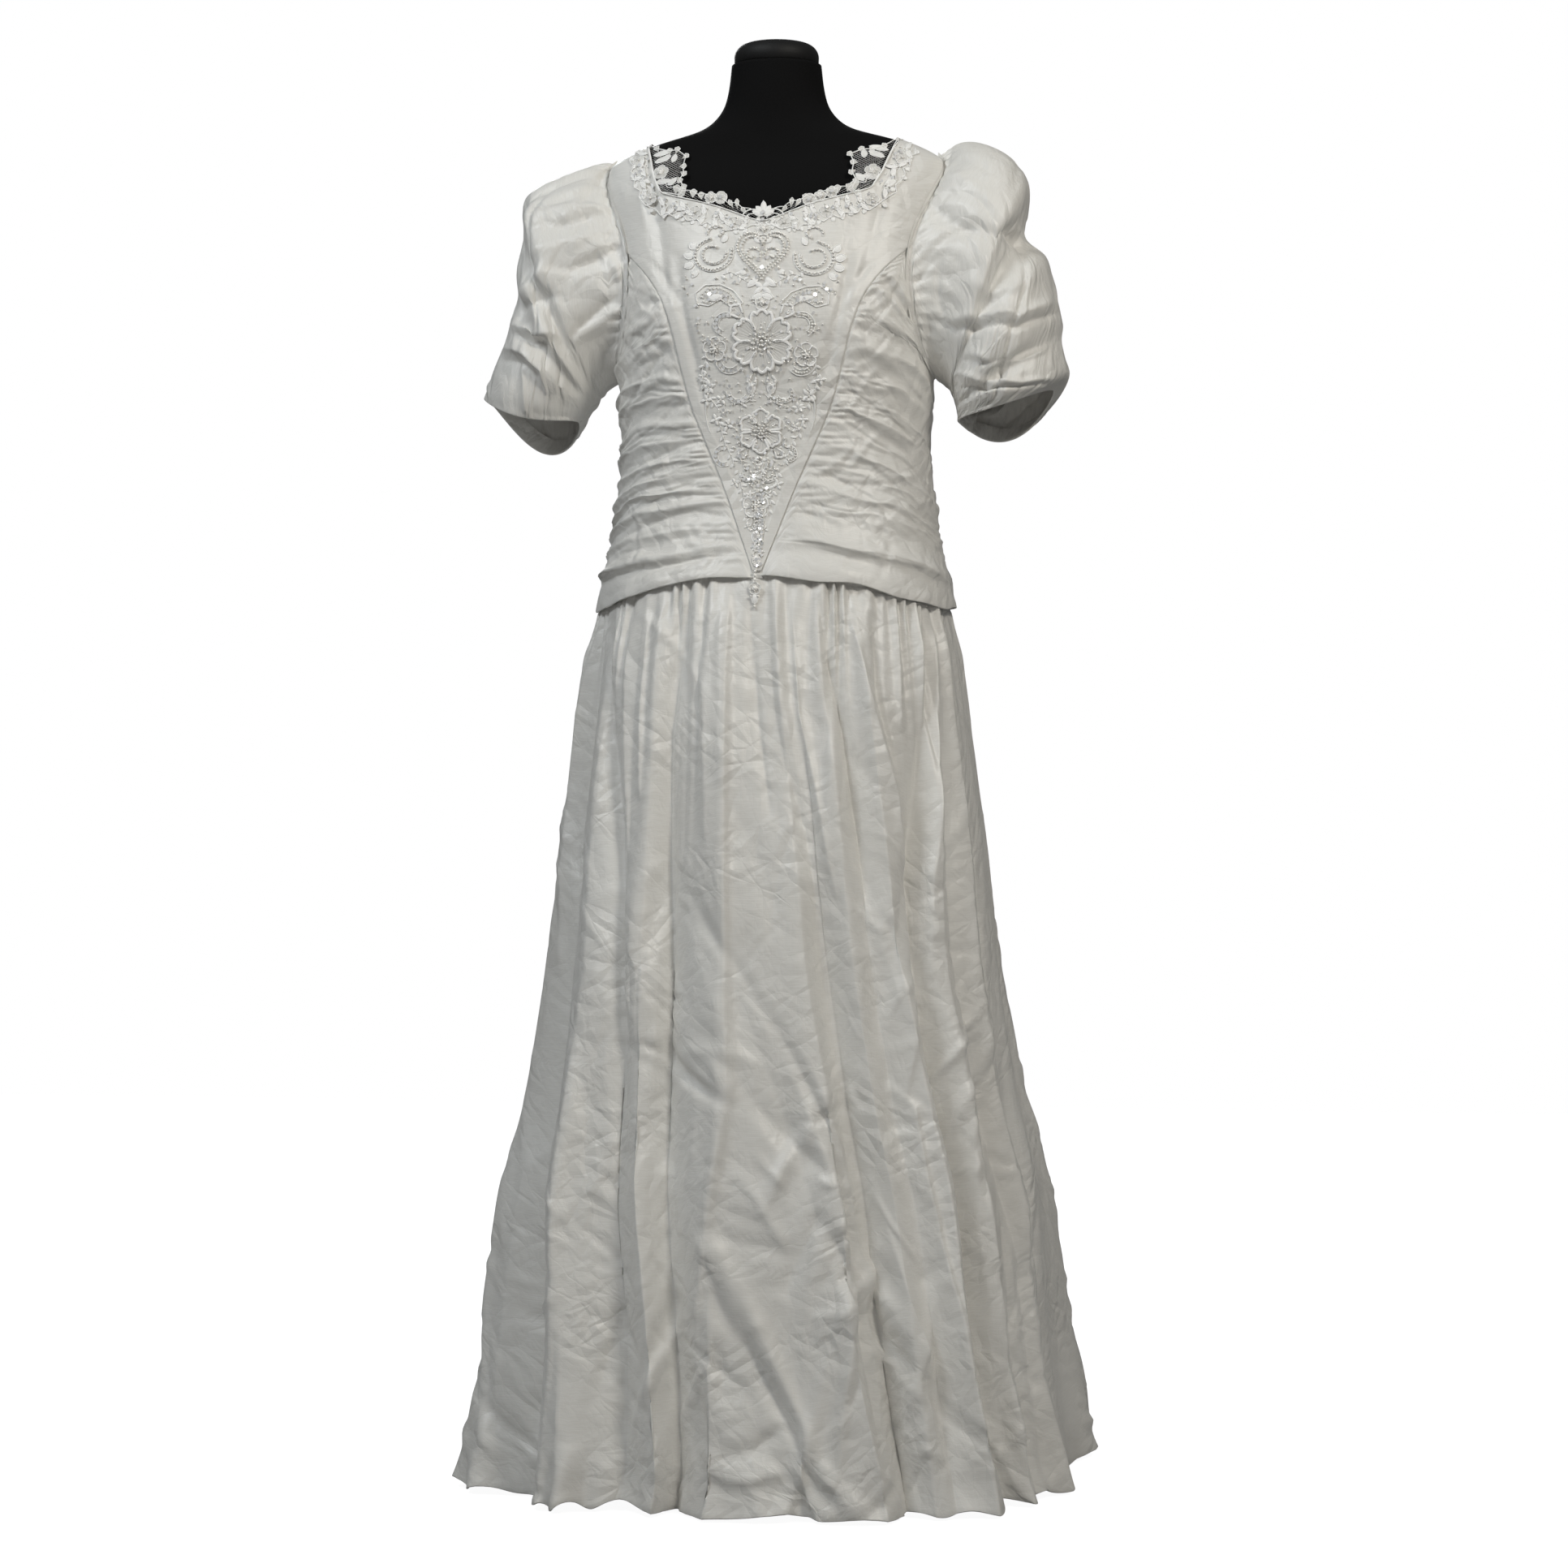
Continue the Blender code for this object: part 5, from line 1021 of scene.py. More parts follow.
def center_front_height(angle, z):
    """Height of the smooth front: a band along each V seam, a soft trough inside it, and loose creases."""
    x = section(BODY_SECTIONS, angle, z)[..., 0]
    inside = columns_at(V_SEAM, z)[..., 0] - np.abs(x)
    below = ease((V_TOP_Z - z) / 0.03)
    band = SEAM_BAND[1] * ease((SEAM_BAND[0] - inside) / 0.0014)
    trough = -SEAM_TROUGH[1] * bump(inside - SEAM_TROUGH[0], 0.0045) * ease((z - 1.06) / 0.08)
    height = (band + trough) * below
    height += fold_lines(x, z, (1.0, 1.0), YOKE_LINES_SOFT)
    height += 0.0006 * soft_noise(x * 45, z * 18, 61) * ease((np.abs(x) - 0.03) / 0.04)
    return height


def embroidered_share(x, z):
    """Where the long V carries the embroidery's net, from 0 to 1, with an uneven edge."""
    reach = columns_at(V_SEAM, z)[..., 0] - 0.021 + 0.003 * soft_noise(z * 110.0, z * 0.0, 63)
    return ease((reach - np.abs(x)) / 0.008) * ease((1.292 - z - 0.35 * np.abs(x)) / 0.012)


def add_center_front(satin):
    """Smooth front with its shoulder straps, in one mesh."""
    yoke, long_v = center_front_grids()
    upper = body(*yoke, center_front_height(*yoke))
    lower = body(*long_v, center_front_height(*long_v))
    rows_up, columns_up = upper.shape[:2]
    rows_low, columns_low = lower.shape[:2]
    shared = (rows_up - 1) * columns_up + (columns_up - columns_low) // 2
    number = np.arange(rows_low * columns_low) + rows_up * columns_up - columns_low
    number[:columns_low] = shared + np.arange(columns_low)
    faces = np.concatenate([grid_faces(rows_up, columns_up), number[grid_faces(rows_low, columns_low)]])
    points = np.concatenate([upper.reshape(-1, 3), lower[1:].reshape(-1, 3)])
    mesh = set_mesh("bodice_center", points, faces, points[:, [0, 2]])
    ground = mesh.attributes.new("ground", "FLOAT", "POINT")
    ground.data.foreach_set("value", embroidered_share(points[:, 0], points[:, 2]).astype(np.float32))
    piece = add_piece("satin_bodice_center_front", mesh, [satin], "satin", "bodice_center_front")
    add_wall(piece, FRONT_WALL)


def add_wall(piece, thickness):
    """A thin wall inwards from the outer face."""
    solidify = piece.modifiers.new("wall", "SOLIDIFY")
    solidify.thickness = thickness
    solidify.offset = -1.0
    solidify.use_rim_only = True


def back_outer_edge(table):
    """Angles, levels and heights down a back panel's armhole and side seam, with a row for each ruche."""
    turns = np.concatenate([[360.0, 354.0, 345.0], 360.0 - 15.0 * np.arange(2, 12)])
    edge = [(angle, z, 0.0) for angle, z in zip(*armhole(turns))]
    edge.append((90.0, UNDERARM_Z, 0.0))
    for row in table[:-1] + [(TIP_Z, SIDE_WAIST_Z, SIDE_WAIST_Z, 0, 0, 0)]:
        if row[2] < UNDERARM_Z - 0.004:
            edge.append((90.0, row[2], row[5] * MILLIMETRE))
    return edge


def back_inner_edge(count):
    """As many angles and levels down its neckline and the centre back."""
    neck_steps = np.array([0.0, 0.12, 0.5, 1.0, 2.0, 3.0, 4.0, 5.0, 6.0])
    x, z = along(NECK_EDGE_BACK, neck_steps / neck_steps[-1]).T
    edge = list(zip(180.0 - angle_at(x, z), z))
    neck_back_z = NECK_EDGE_BACK[-1][1]
    drop = count - len(edge)
    edge += [(180.0, neck_back_z + (SIDE_WAIST_Z - neck_back_z) * k / drop) for k in range(1, drop + 1)]
    return np.array(edge)


def back_grid(table, side_edge, columns=70, steps=6):
    """Grid of one back panel on the +X side, which meets the front's edge at the side seam."""
    outer = back_outer_edge(table)
    inner = back_inner_edge(len(outer))
    place = np.linspace(0.0, len(outer) - 1, (len(outer) - 1) * steps + 1)
    outer = columns_at([(k, *row) for k, row in enumerate(outer)], place)
    inner = np.stack([np.interp(place, np.arange(len(inner)), column) for column in inner.T], -1)
    share = np.linspace(0.0, 1.0, columns)
    height = outer[:, 2:] * (1.0 - ease(share / 0.65))
    angle = outer[:, :1] + (inner[:, :1] - outer[:, :1]) * share
    z = outer[:, 1:2] + (inner[:, 1:] - outer[:, 1:2]) * share
    points = body(angle, z, height)
    below_arm = outer[:, 1] <= UNDERARM_Z
    shift = np.interp(-outer[:, 1], -side_edge[:, 2], side_edge[:, 0]) - points[:, 0, 0]
    points[below_arm, :, 0] += shift[below_arm, None] * (1.0 - ease(share / 0.25))
    points[below_arm, 0, 1] = 0.5 * SEAM_GAP
    points[inner[:, 0] > 179.9, -1, 0] = 0.5 * SEAM_GAP
    return points


def add_backs(satin, edge_left, edge_right):
    """The two back panels, given the fronts' edges at the side seams."""
    left = soften(back_grid(RUCHES_LEFT, edge_left), 500)
    right = soften(back_grid(RUCHES_RIGHT, edge_right), 550)
    for side, points in (("left", left), ("right", mirrored(right))):
        name = "bodice_back_" + side
        add_cloth("satin_" + name, turned_under(points, *TURNED_EDGES["back"]), satin, "satin", name)


# Sleeves

def sleeve_rings(table, place, turns):
    """Rings of a sleeve at places down its table: oval, wider to the front or back, and sagging there."""
    rings = columns_at([(k, *row) for k, row in enumerate(table)], place)[:, None, :]
    x_over, z_over, x_under, z_under, half_front, half_back, sag_front, sag_back = np.moveaxis(rings, -1, 0)
    turn = np.radians(turns)
    across, sine = 0.5 + 0.5 * np.cos(turn), np.sin(turn)
    half = np.where(sine > 0.0, half_front, half_back)
    sag = np.where(sine > 0.0, sag_front, sag_back)
    return np.stack([
        x_under + (x_over - x_under) * across,
        -half * sine,
        z_under + (z_over - z_under) * across - sag * sine * sine,
    ], -1)


def sleeve_grid(table, rows=150, columns=190):
    """Tube of one sleeve on the +X side, open along the underarm: rows from the armhole to the cuff, after
    three that lie in under the shoulder as the seam allowance."""
    turns = np.linspace(180.0, -180.0, columns)
    angle, z = armhole(turns)
    edge = body(angle, z)
    outward = unit(edge - edge[:-1].mean(axis=0))
    first = body(angle, z, SLEEVE_LIFT) - outward * SLEEVE_INSET
    place = np.linspace(0.0, len(table) - 1, rows)
    setting = columns_at(SLEEVE_SETTING, place)[:, None, :]
    tube = first + (sleeve_rings(table, place, turns) - first) * setting
    under = body(angle, z, -0.0016)
    allowance = np.stack([under + outward * 0.0060, under + outward * 0.0008, 0.5 * (under + first)])
    place = np.concatenate([[0.0, 0.0, 0.0], place])
    return np.concatenate([allowance, tube]), place[:, None], turns[None, :]


SLEEVE_SCALE = (0.0016, 0.025)  # metres for a degree and for a ring
SLEEVE_LINES_LEFT = [
    # height, width_left, width_right, (turn, ring) ...
    (-4.5, 5, 5, (62, 0.5), (66, 0.74), (74, 1.43), (77, 2.1)),
    (3.0, 6, 6, (45, 0.4), (52, 1.4), (56, 2.4)),
    (-3.0, 5, 5, (30, 0.3), (38, 1.3), (40, 2.3)),
    (-5.0, 5, 7, (70, 0.6), (79, 1.56), (68, 2.9), (45, 3.6), (20, 4.19), (5, 4.6)),
    (-3.5, 4, 4, (19, 4.2), (56, 3.3)),
    (4.0, 4, 9, (120, 0.9), (120, 2.16), (108, 3.18), (88, 4.6), (67, 5.9), (40, 6.3), (15, 6.4)),
    (-4.5, 5, 3, (126, 1.2), (124, 2.4), (112, 3.5), (92, 5.0), (70, 6.3), (40, 6.7), (12, 6.8)),
    (3.0, 8, 5, (100, 2.4), (86, 3.7), (64, 4.9), (40, 5.3)),
    (3.5, 4, 9, (150, 2.9), (128, 5.8), (105, 8.3), (76, 9.6), (39, 10.1)),
    (-3.5, 5, 3, (140, 6.2), (110, 8.8), (76, 10.0), (42, 10.4)),
    (2.5, 6, 6, (120, 4.6), (100, 6.9), (70, 8.2), (44, 8.5)),
    (-2.5, 5, 5, (130, 4.0), (112, 6.2), (84, 7.6), (52, 7.9)),
    (4.0, 6, 6, (-30, 0.3), (-38, 1.6), (-44, 3.0)),
    (-4.5, 5, 5, (-52, 0.3), (-60, 1.6), (-66, 3.2)),
    (4.0, 6, 6, (-80, 0.3), (-88, 1.8), (-92, 3.4)),
    (-4.0, 5, 6, (-108, 0.4), (-116, 2.2), (-120, 4.0)),
    (-4.5, 5, 7, (-20, 4.2), (-50, 3.8), (-90, 4.4), (-120, 5.4)),
    (-4.0, 4, 6, (-14, 6.8), (-50, 6.6), (-90, 7.6), (-120, 8.6)),
    (3.5, 6, 6, (-30, 5.2), (-70, 5.4), (-104, 6.6)),
    (3.0, 6, 6, (-40, 8.6), (-80, 9.0), (-118, 9.8)),
]
SLEEVE_LINES_RIGHT = [
    # height, width_left, width_right, (turn, ring) ...
    (-3.5, 6, 6, (54, 0.3), (52, 0.6), (44, 2.22), (36, 3.0)),
    (3.5, 6, 6, (61, 0.4), (56, 1.4), (44, 2.4), (32, 3.3)),
    (-4.0, 4, 6, (64, 0.3), (62, 1.97), (48, 3.1)),
    (-6.5, 5, 9, (80, 0.1), (87, 1.46), (87, 2.09), (78, 3.2)),
    (5.0, 6, 8, (94, 1.2), (90, 2.01), (76, 3.4), (60, 4.7), (50, 5.5)),
    (3.5, 5, 6, (76, 1.2), (70, 2.47), (59, 3.7)),
    (-4.5, 5, 7, (104, 0.1), (115, 1.84), (124, 3.6)),
    (4.5, 6, 6, (112, 0.1), (119, 1.38), (123, 3.3)),
    (-4.0, 5, 5, (100, 2.4), (86, 3.8), (66, 5.2), (50, 6.1)),
    (5.5, 3, 10, (42, 7.0), (60, 6.6), (78, 6.03), (96, 5.0), (106, 4.2)),
    (-4.0, 5, 3, (44, 7.3), (62, 6.9), (80, 6.3), (98, 5.4)),
    (4.5, 3, 9, (30, 8.2), (50, 7.8), (74, 7.28), (98, 7.2), (112, 8.2)),
    (-3.5, 5, 3, (36, 8.5), (56, 8.1), (76, 7.7), (96, 7.7)),
    (3.0, 6, 6, (20, 1.0), (14, 2.4), (8, 4.2)),
    (-3.5, 5, 5, (34, 0.3), (27, 1.8), (18, 3.6)),
    (4.0, 6, 6, (-30, 0.3), (-34, 1.6), (-40, 3.0)),
    (-4.5, 5, 5, (-50, 0.3), (-56, 1.8), (-62, 3.4)),
    (4.5, 6, 6, (-76, 0.3), (-84, 2.0), (-90, 3.8)),
    (-4.0, 5, 6, (-104, 0.4), (-112, 2.2), (-116, 4.2)),
    (4.0, 4, 9, (-40, 6.6), (-70, 5.8), (-100, 4.6)),
    (3.5, 4, 8, (-30, 8.0), (-70, 7.4), (-106, 7.6)),
]
SLEEVE_CRUMPLES = [
    # count, length, half_width, height, lean
    (26, 0.070, 0.011, 0.0046, 60),
    (40, 0.036, 0.007, 0.0030, 70),
    (60, 0.022, 0.0045, 0.0018, 50),
]
SLEEVE_FOLD_SHARE = 1.35        # share of the heights in the two tables
SLEEVE_GATHER_ANGLE = 8.0       # degrees round the armhole from one gather to the next
SLEEVE_GATHER_DEPTH = 0.0062


def shaped_sleeve(points, place, turns, lines, seed):
    """A sleeve with gathers at its armhole, listed folds and crumples."""
    place, turns = np.broadcast_arrays(place, turns)
    across, down = cloth_places(points)
    phase = turns / SLEEVE_GATHER_ANGLE + 0.9 * soft_noise(turns / 22.0, place * 0.4, seed)
    reach = 0.9 + 0.5 * soft_noise(turns / 11.0, 0.0 * place, seed + 1)
    fading = ease(place / 0.35) * np.exp(-place / reach) * ease((165.0 - np.abs(turns)) / 50.0)
    height = SLEEVE_GATHER_DEPTH * (np.abs(np.cos(math.pi * phase)) ** 0.8 - 0.6) * fading
    height += SLEEVE_FOLD_SHARE * fold_lines(turns, place, SLEEVE_SCALE, lines)
    edge = ease(place / 0.6) * ease((place.max() - place) / 0.5) * ease((180.0 - np.abs(turns)) / 12.0)
    for index, row in enumerate(SLEEVE_CRUMPLES):
        height += crumples(across, down, *row, seed + 3 + index) * edge
    height += 0.0014 * soft_noise(across * 18, down * 22, seed + 9) * edge
    return points + grid_normals(points) * height[..., None]


def add_sleeves(satin):
    """The two puffed sleeves, with turned cuffs."""
    left = shaped_sleeve(*sleeve_grid(SLEEVE_LEFT), SLEEVE_LINES_LEFT, 600)
    right = shaped_sleeve(*sleeve_grid(SLEEVE_RIGHT), SLEEVE_LINES_RIGHT, 650)
    for name, points in (("sleeve_left", left), ("sleeve_right", mirrored(right))):
        add_cloth("satin_" + name, turned_under(points, *TURNED_EDGES["sleeve"]), satin, "satin", name)


# Closing at the back

BUTTON_LEVELS = (1.305, 0.925)
BUTTON_COUNT = 12
BUTTON_PROFILE = [
    # radius, height over the placket
    (0.0000, 0.0050),
    (0.0022, 0.0049),
    (0.0040, 0.0042),
    (0.0053, 0.0030),
    (0.0060, 0.0016),
    (0.0058, 0.0005),
    (0.0050, 0.0000),
]
BUTTON_OUT = 0.0022
PLACKET_LEVELS = (1.3170, 0.9130)
PLACKET_HALF = 0.0109
PLACKET_OUT = 0.0020


def back(x, z, out):
    """Points at a height over the bodice's back."""
    x, z = np.broadcast_arrays(np.asarray(x, float), np.asarray(z, float))
    return body(180.0 - angle_at(x, z), z, out)


def add_placket(satin):
    """The placket over the centre back seam, drawn in a little between the buttons."""
    z = np.linspace(*PLACKET_LEVELS, 120)[:, None]
    share = np.linspace(-1.0, 1.0, 15)[None, :]
    edge = PLACKET_OUT * ease((1.0 - np.abs(share)) / 0.10)
    pitch = (BUTTON_LEVELS[0] - BUTTON_LEVELS[1]) / (BUTTON_COUNT - 1)
    pull = np.cos(math.tau * (z - BUTTON_LEVELS[1]) / pitch)
    out = edge + 0.0003 * pull * (1.0 - share * share) + 0.0002 * soft_noise(share * 3.0, z * 90.0, 71)
    points = back(PLACKET_HALF * share, z, out)[:, ::-1]
    add_cloth("satin_placket", points, satin, "satin", "back_placket")


def add_buttons(satin):
    """The twelve covered buttons, in one mesh."""
    turn = np.linspace(0.0, math.tau, 25)
    radius, height = np.array(BUTTON_PROFILE).T[..., None]
    points, faces = [], []
    for index, level in enumerate(np.linspace(*BUTTON_LEVELS, BUTTON_COUNT)):
        x, z = radius * np.cos(turn), level + radius * np.sin(turn)
        places = back(x, z, BUTTON_OUT + height + 0.0 * turn)
        faces.append(grid_faces(*x.shape) + index * x.size)
        points.append(places.reshape(-1, 3))
    points = np.concatenate(points)
    mesh = set_mesh("buttons", points, np.concatenate(faces), points[:, [0, 2]])
    nodes = ["button_%02d" % (index + 1) for index in range(BUTTON_COUNT)]
    add_piece("satin_buttons", mesh, [satin], "satin", *nodes)


# Lace, appliques and beads

THREAD, PEARL, SEQUIN, FIELD = 0, 1, 2, 3      # material slots of a trim piece
CORD_HEIGHT = 0.65             # height of a cord over its width
RIM_HEIGHT = 0.40              # the same for the stitched rim of a petal
BASE_OUT = 0.0004              # underside of a trim over the satin
BALL_STEPS = 3


def ball_grid():
    """Points and quads of a small ball: a cube with each side in BALL_STEPS by BALL_STEPS, blown round."""
    lines = np.linspace(-1.0, 1.0, BALL_STEPS + 1)
    a, b = np.meshgrid(lines, lines, indexing="ij")
    one = np.ones_like(a)
    sides = [(one, a, b), (-one, b, a), (b, one, a), (a, -one, b), (a, b, one), (b, a, -one)]
    points = np.concatenate([np.stack(side, -1).reshape(-1, 3) for side in sides])
    n = BALL_STEPS + 1
    i, j = np.meshgrid(np.arange(BALL_STEPS), np.arange(BALL_STEPS), indexing="ij")
    first = (i * n + j).ravel()
    quads = np.stack([first, first + n, first + n + 1, first + 1], -1)
    faces = np.concatenate([quads + side * n * n for side in range(6)])
    return unit(points), faces


BALL_POINTS, BALL_FACES = ball_grid()


def evenly(path, spacing):
    """Points spaced evenly along a line."""
    path = np.asarray(path, float)
    length = np.linalg.norm(np.diff(path, axis=0), axis=1).sum()
    return along(path, np.linspace(0.0, 1.0, max(int(round(length / spacing)), 1) + 1))


def arc(x, z, radius_x, radius_z, start, end, shrink=1.0, steps=24):
    """Points of an arc or spiral round (x, z), with turns in degrees from +X towards +Z."""
    share = np.linspace(0.0, 1.0, steps)
    turn = np.radians(start + (end - start) * share)
    size = 1.0 + (shrink - 1.0) * share
    return np.stack([x + radius_x * size * np.cos(turn), z + radius_z * size * np.sin(turn)], -1)


def nested_arcs(x, z, radius_x, radius_z, *turns, sizes, steps=24):
    """The same arc at several sizes."""
    return [arc(x, z, radius_x * size, radius_z * size, *turns, steps=steps) for size in sizes]


def towards(x, z, turn, distance):
    """The place at a distance from (x, z) along a turn in degrees."""
    return x + distance * math.cos(math.radians(turn)), z + distance * math.sin(math.radians(turn))


def laid(x, z, turn, ahead, aside, out):
    """Places (x, z, out) of what lies ahead of (x, z), along a turn in degrees, and aside of that line."""
    cosine, sine = math.cos(math.radians(turn)), math.sin(math.radians(turn))
    ahead, aside, out = np.broadcast_arrays(ahead, aside, out)
    return np.stack([x + ahead * cosine - aside * sine, z + ahead * sine + aside * cosine, out], -1)


class Trim:
    """Cords, petals, pearls and sequins of one piece, laid out on the front by (x, z, out)."""

    def __init__(self):
        self.places, self.faces, self.slots = [], [], []
        self.count = 0

    def add(self, places, faces, slot):
        """Keep some quads."""
        places = np.asarray(places, float).reshape(-1, 3)
        self.places.append(places)
        self.faces.append(np.asarray(faces) + self.count)
        self.slots.append(np.full(len(faces), slot))
        self.count += len(places)

    def cord(self, path, radius, lift=0.0, closed=False, sides=6, tall=CORD_HEIGHT):
        """A cord along a line of (x, z), so many times as tall as wide."""
        path = np.asarray(path, float)
        if closed:
            ahead, behind = np.roll(path, -1, axis=0), np.roll(path, 1, axis=0)
        else:
            ahead = np.concatenate([path[1:], 2 * path[-1:] - path[-2:-1]])
            behind = np.concatenate([2 * path[:1] - path[1:2], path[:-1]])
        run = unit(ahead - behind)
        side = np.stack([-run[:, 1], run[:, 0]], -1)
        size = np.full(len(path), radius)
        if not closed:
            size[0] = size[-1] = 0.35 * radius
        turn = np.linspace(0.0, math.tau, sides, endpoint=False)
        across = side[:, None, :] * (size[:, None] * np.cos(turn))[..., None]
        up = BASE_OUT + lift + tall * (radius + size[:, None] * np.sin(turn))
        places = np.concatenate([path[:, None, :] + across, up[..., None]], -1)
        rows = len(path) if closed else len(path) - 1
        i, j = np.meshgrid(np.arange(rows), np.arange(sides), indexing="ij")
        i_next, j_next = (i + 1) % len(path), (j + 1) % sides
        corners = (i * sides + j, i * sides + j_next, i_next * sides + j_next, i_next * sides + j)
        self.add(places, np.stack([corner.ravel() for corner in corners], -1), THREAD)

    def pearls(self, places, radius, lift=0.0, slot=PEARL):
        """Small balls at (x, z)."""
        for x, z in places:
            middle = np.array([x, z, BASE_OUT + lift + radius * 0.9])
            self.add(middle + BALL_POINTS[:, [0, 2, 1]] * radius * (1, 1, -1), BALL_FACES, slot)

    def sequins(self, places, radius, lift=0.0006, seed=1):
        """Small tilted discs at (x, z)."""
        chance = np.random.default_rng(seed)
        turn = np.radians(np.arange(8) * 45.0)
        for x, z in places:
            lean_x, lean_z = chance.uniform(-0.35, 0.35, 2)
            dx, dz = radius * np.cos(turn), radius * np.sin(turn)
            out = BASE_OUT + lift + lean_x * dx + lean_z * dz + 0.35 * radius
            self.add(np.stack([x + dx, z + dz, out], -1), [(0, 1, 2, 3), (0, 3, 4, 7), (4, 5, 6, 7)], SEQUIN)

    def leaf(self, x, z, turn, length, width, rise=0.0009, lift=0.0, border=0.0):
        """A padded leaf from its stalk at (x, z) along a turn, with a cord round it if it has a border."""
        run, side = np.linspace(0.0, 1.0, 8)[:, None], np.linspace(-1.0, 1.0, 7)[None, :]
        half = 0.5 * width * np.sin(math.pi * np.clip(run, 0.02, 0.98) ** 0.85) ** 0.7
        dome = np.sqrt(np.clip(1.0 - side * side, 0.0, 1.0)) * np.sin(math.pi * run) ** 0.4
        places = laid(x, z, turn, length * run, half * side, BASE_OUT + lift + rise * dome)
        self.add(places, grid_faces(8, 7)[:, ::-1], THREAD)
        if border:
            rim = np.concatenate([places[:, -1, :2], places[-2:0:-1, 0, :2]])
            self.cord(rim, border, lift, closed=True)

    def petal(self, x, z, turn, length, width, lobes=3, rise=0.0008, lift=0.0, border=0.0006):
        """A petal that widens from (x, z) to a scalloped edge: cupped, stitched along and edged with cord."""
        columns = 6 * lobes + 7
        run, side = np.linspace(0.10, 1.0, 8)[:, None], np.linspace(-1.0, 1.0, columns)[None, :]
        scallops = np.abs(np.sin(0.5 * math.pi * lobes * (side + 1.0 / lobes))) ** 0.8
        edge = 1.0 - 0.26 * np.abs(side) ** 2.2 - 0.12 * (1.0 - scallops)
        half = 0.5 * width * run * (1.0 - 0.30 * np.abs(side) ** 2.6)
        stitches = 0.00030 * np.cos(math.tau * (lobes + 1.0) * side) * np.sin(math.pi * run)
        cup = (0.15 + 0.85 * run) * (0.25 + 0.75 * side * side)
        out = BASE_OUT + lift + rise * cup + stitches
        places = laid(x, z, turn, length * run * edge, half * side, out)
        self.add(places, grid_faces(8, columns)[:, ::-1], FIELD)
        rim = np.concatenate([places[3:, 0, :2], places[-1, 1:-1, :2], places[:2:-1, -1, :2]])
        self.cord(rim, border, lift + 0.35 * rise, tall=RIM_HEIGHT)

    def flower(
        self, x, z, radius, petals, turn=90.0, lobes=3, rise=0.0008, lift=0.0, stamens=0, border=0.0006,
    ):
        """A flower of corded petals, with a pearl and three rings of small ones in its middle for stamens."""
        width = 2.0 * radius * math.tan(math.pi / petals) * 0.88
        for k in range(petals):
            self.petal(x, z, turn + 360.0 * k / petals, radius, width, lobes, rise, lift, border)
        if stamens:
            self.pearls([(x, z)], 0.0016, lift + 0.4 * rise)
            for reach, size, shift, count in (
                (0.14, 0.0013, 0.0, max(stamens - 3, 4)),
                (0.28, 0.0012, 180.0 / stamens, stamens),
                (0.42, 0.0010, 0.0, stamens),
            ):
                ring = arc(x, z, reach * radius, reach * radius, shift, 360.0 + shift, steps=count + 1)
                self.pearls(ring[:-1], size, lift + 0.35 * rise)

    def blossom(self, x, z, size, turn, petals=4):
        """A small flower of separate leaves."""
        for k in range(petals):
            way = turn + 360.0 * k / petals
            self.leaf(*towards(x, z, way, 0.12 * size), way, size * 0.88, size * 0.55)
        self.pearls([(x, z)], 0.0009, 0.0003)

    def vine(self, path, leaf, radius=0.0004):
        """A cord with small leaves on alternate sides and a bead between them."""
        path = np.asarray(path, float)
        self.cord(path, radius)
        places = evenly(path, leaf * 0.80)
        for k, (place, ahead) in enumerate(zip(places[:-1], places[1:])):
            way = math.degrees(math.atan2(*(ahead - place)[::-1])) + (55.0 if k % 2 else -55.0)
            self.leaf(*place, way, leaf, leaf * 0.5, rise=0.0006)
            if k % 2:
                self.pearls([ahead], 0.0008, 0.0002)

    def piece(self, name, materials, *nodes):
        """Turn everything into one mesh on the front."""
        places = np.concatenate(self.places)
        points = front(places[:, 0], places[:, 1], places[:, 2])
        mesh = set_mesh(name, points, np.concatenate(self.faces), slots=np.concatenate(self.slots))
        return add_piece(name, mesh, materials, "lace", *nodes)


FLOWERS = [
    # node, x, z, radius, petals, turn, lobes, stamens
    ("flower_bust", 0.0033, 1.1640, 0.0315, 6, 90, 3, 12),
    ("flower_middle", 0.0010, 1.0735, 0.0225, 6, 90, 2, 9),
    ("flower_low", -0.0036, 0.9975, 0.0130, 5, 90, 1, 6),
    ("flower_small_left", 0.0480, 1.1500, 0.0120, 5, 90, 1, 5),
    ("flower_small_right", -0.0458, 1.1570, 0.0120, 5, 90, 1, 5),
]
LOOSE_PETALS = [
    # flower, x, z, turn, length, width: corded petals beside and under a flower
    ("flower_bust", -0.0130, 1.1850, 135, 0.0210, 0.0190),
    ("flower_bust", 0.0196, 1.1840, 47, 0.0210, 0.0190),
    ("flower_bust", -0.0035, 1.1345, 250, 0.0160, 0.0120),
    ("flower_bust", 0.0090, 1.1345, 290, 0.0160, 0.0120),
    ("flower_middle", -0.0110, 1.0580, 228, 0.0150, 0.0120),
    ("flower_middle", 0.0130, 1.0580, 312, 0.0150, 0.0120),
    ("flower_low", -0.0056, 0.9870, 240, 0.0100, 0.0080),
    ("flower_low", -0.0010, 0.9860, 295, 0.0100, 0.0080),
]
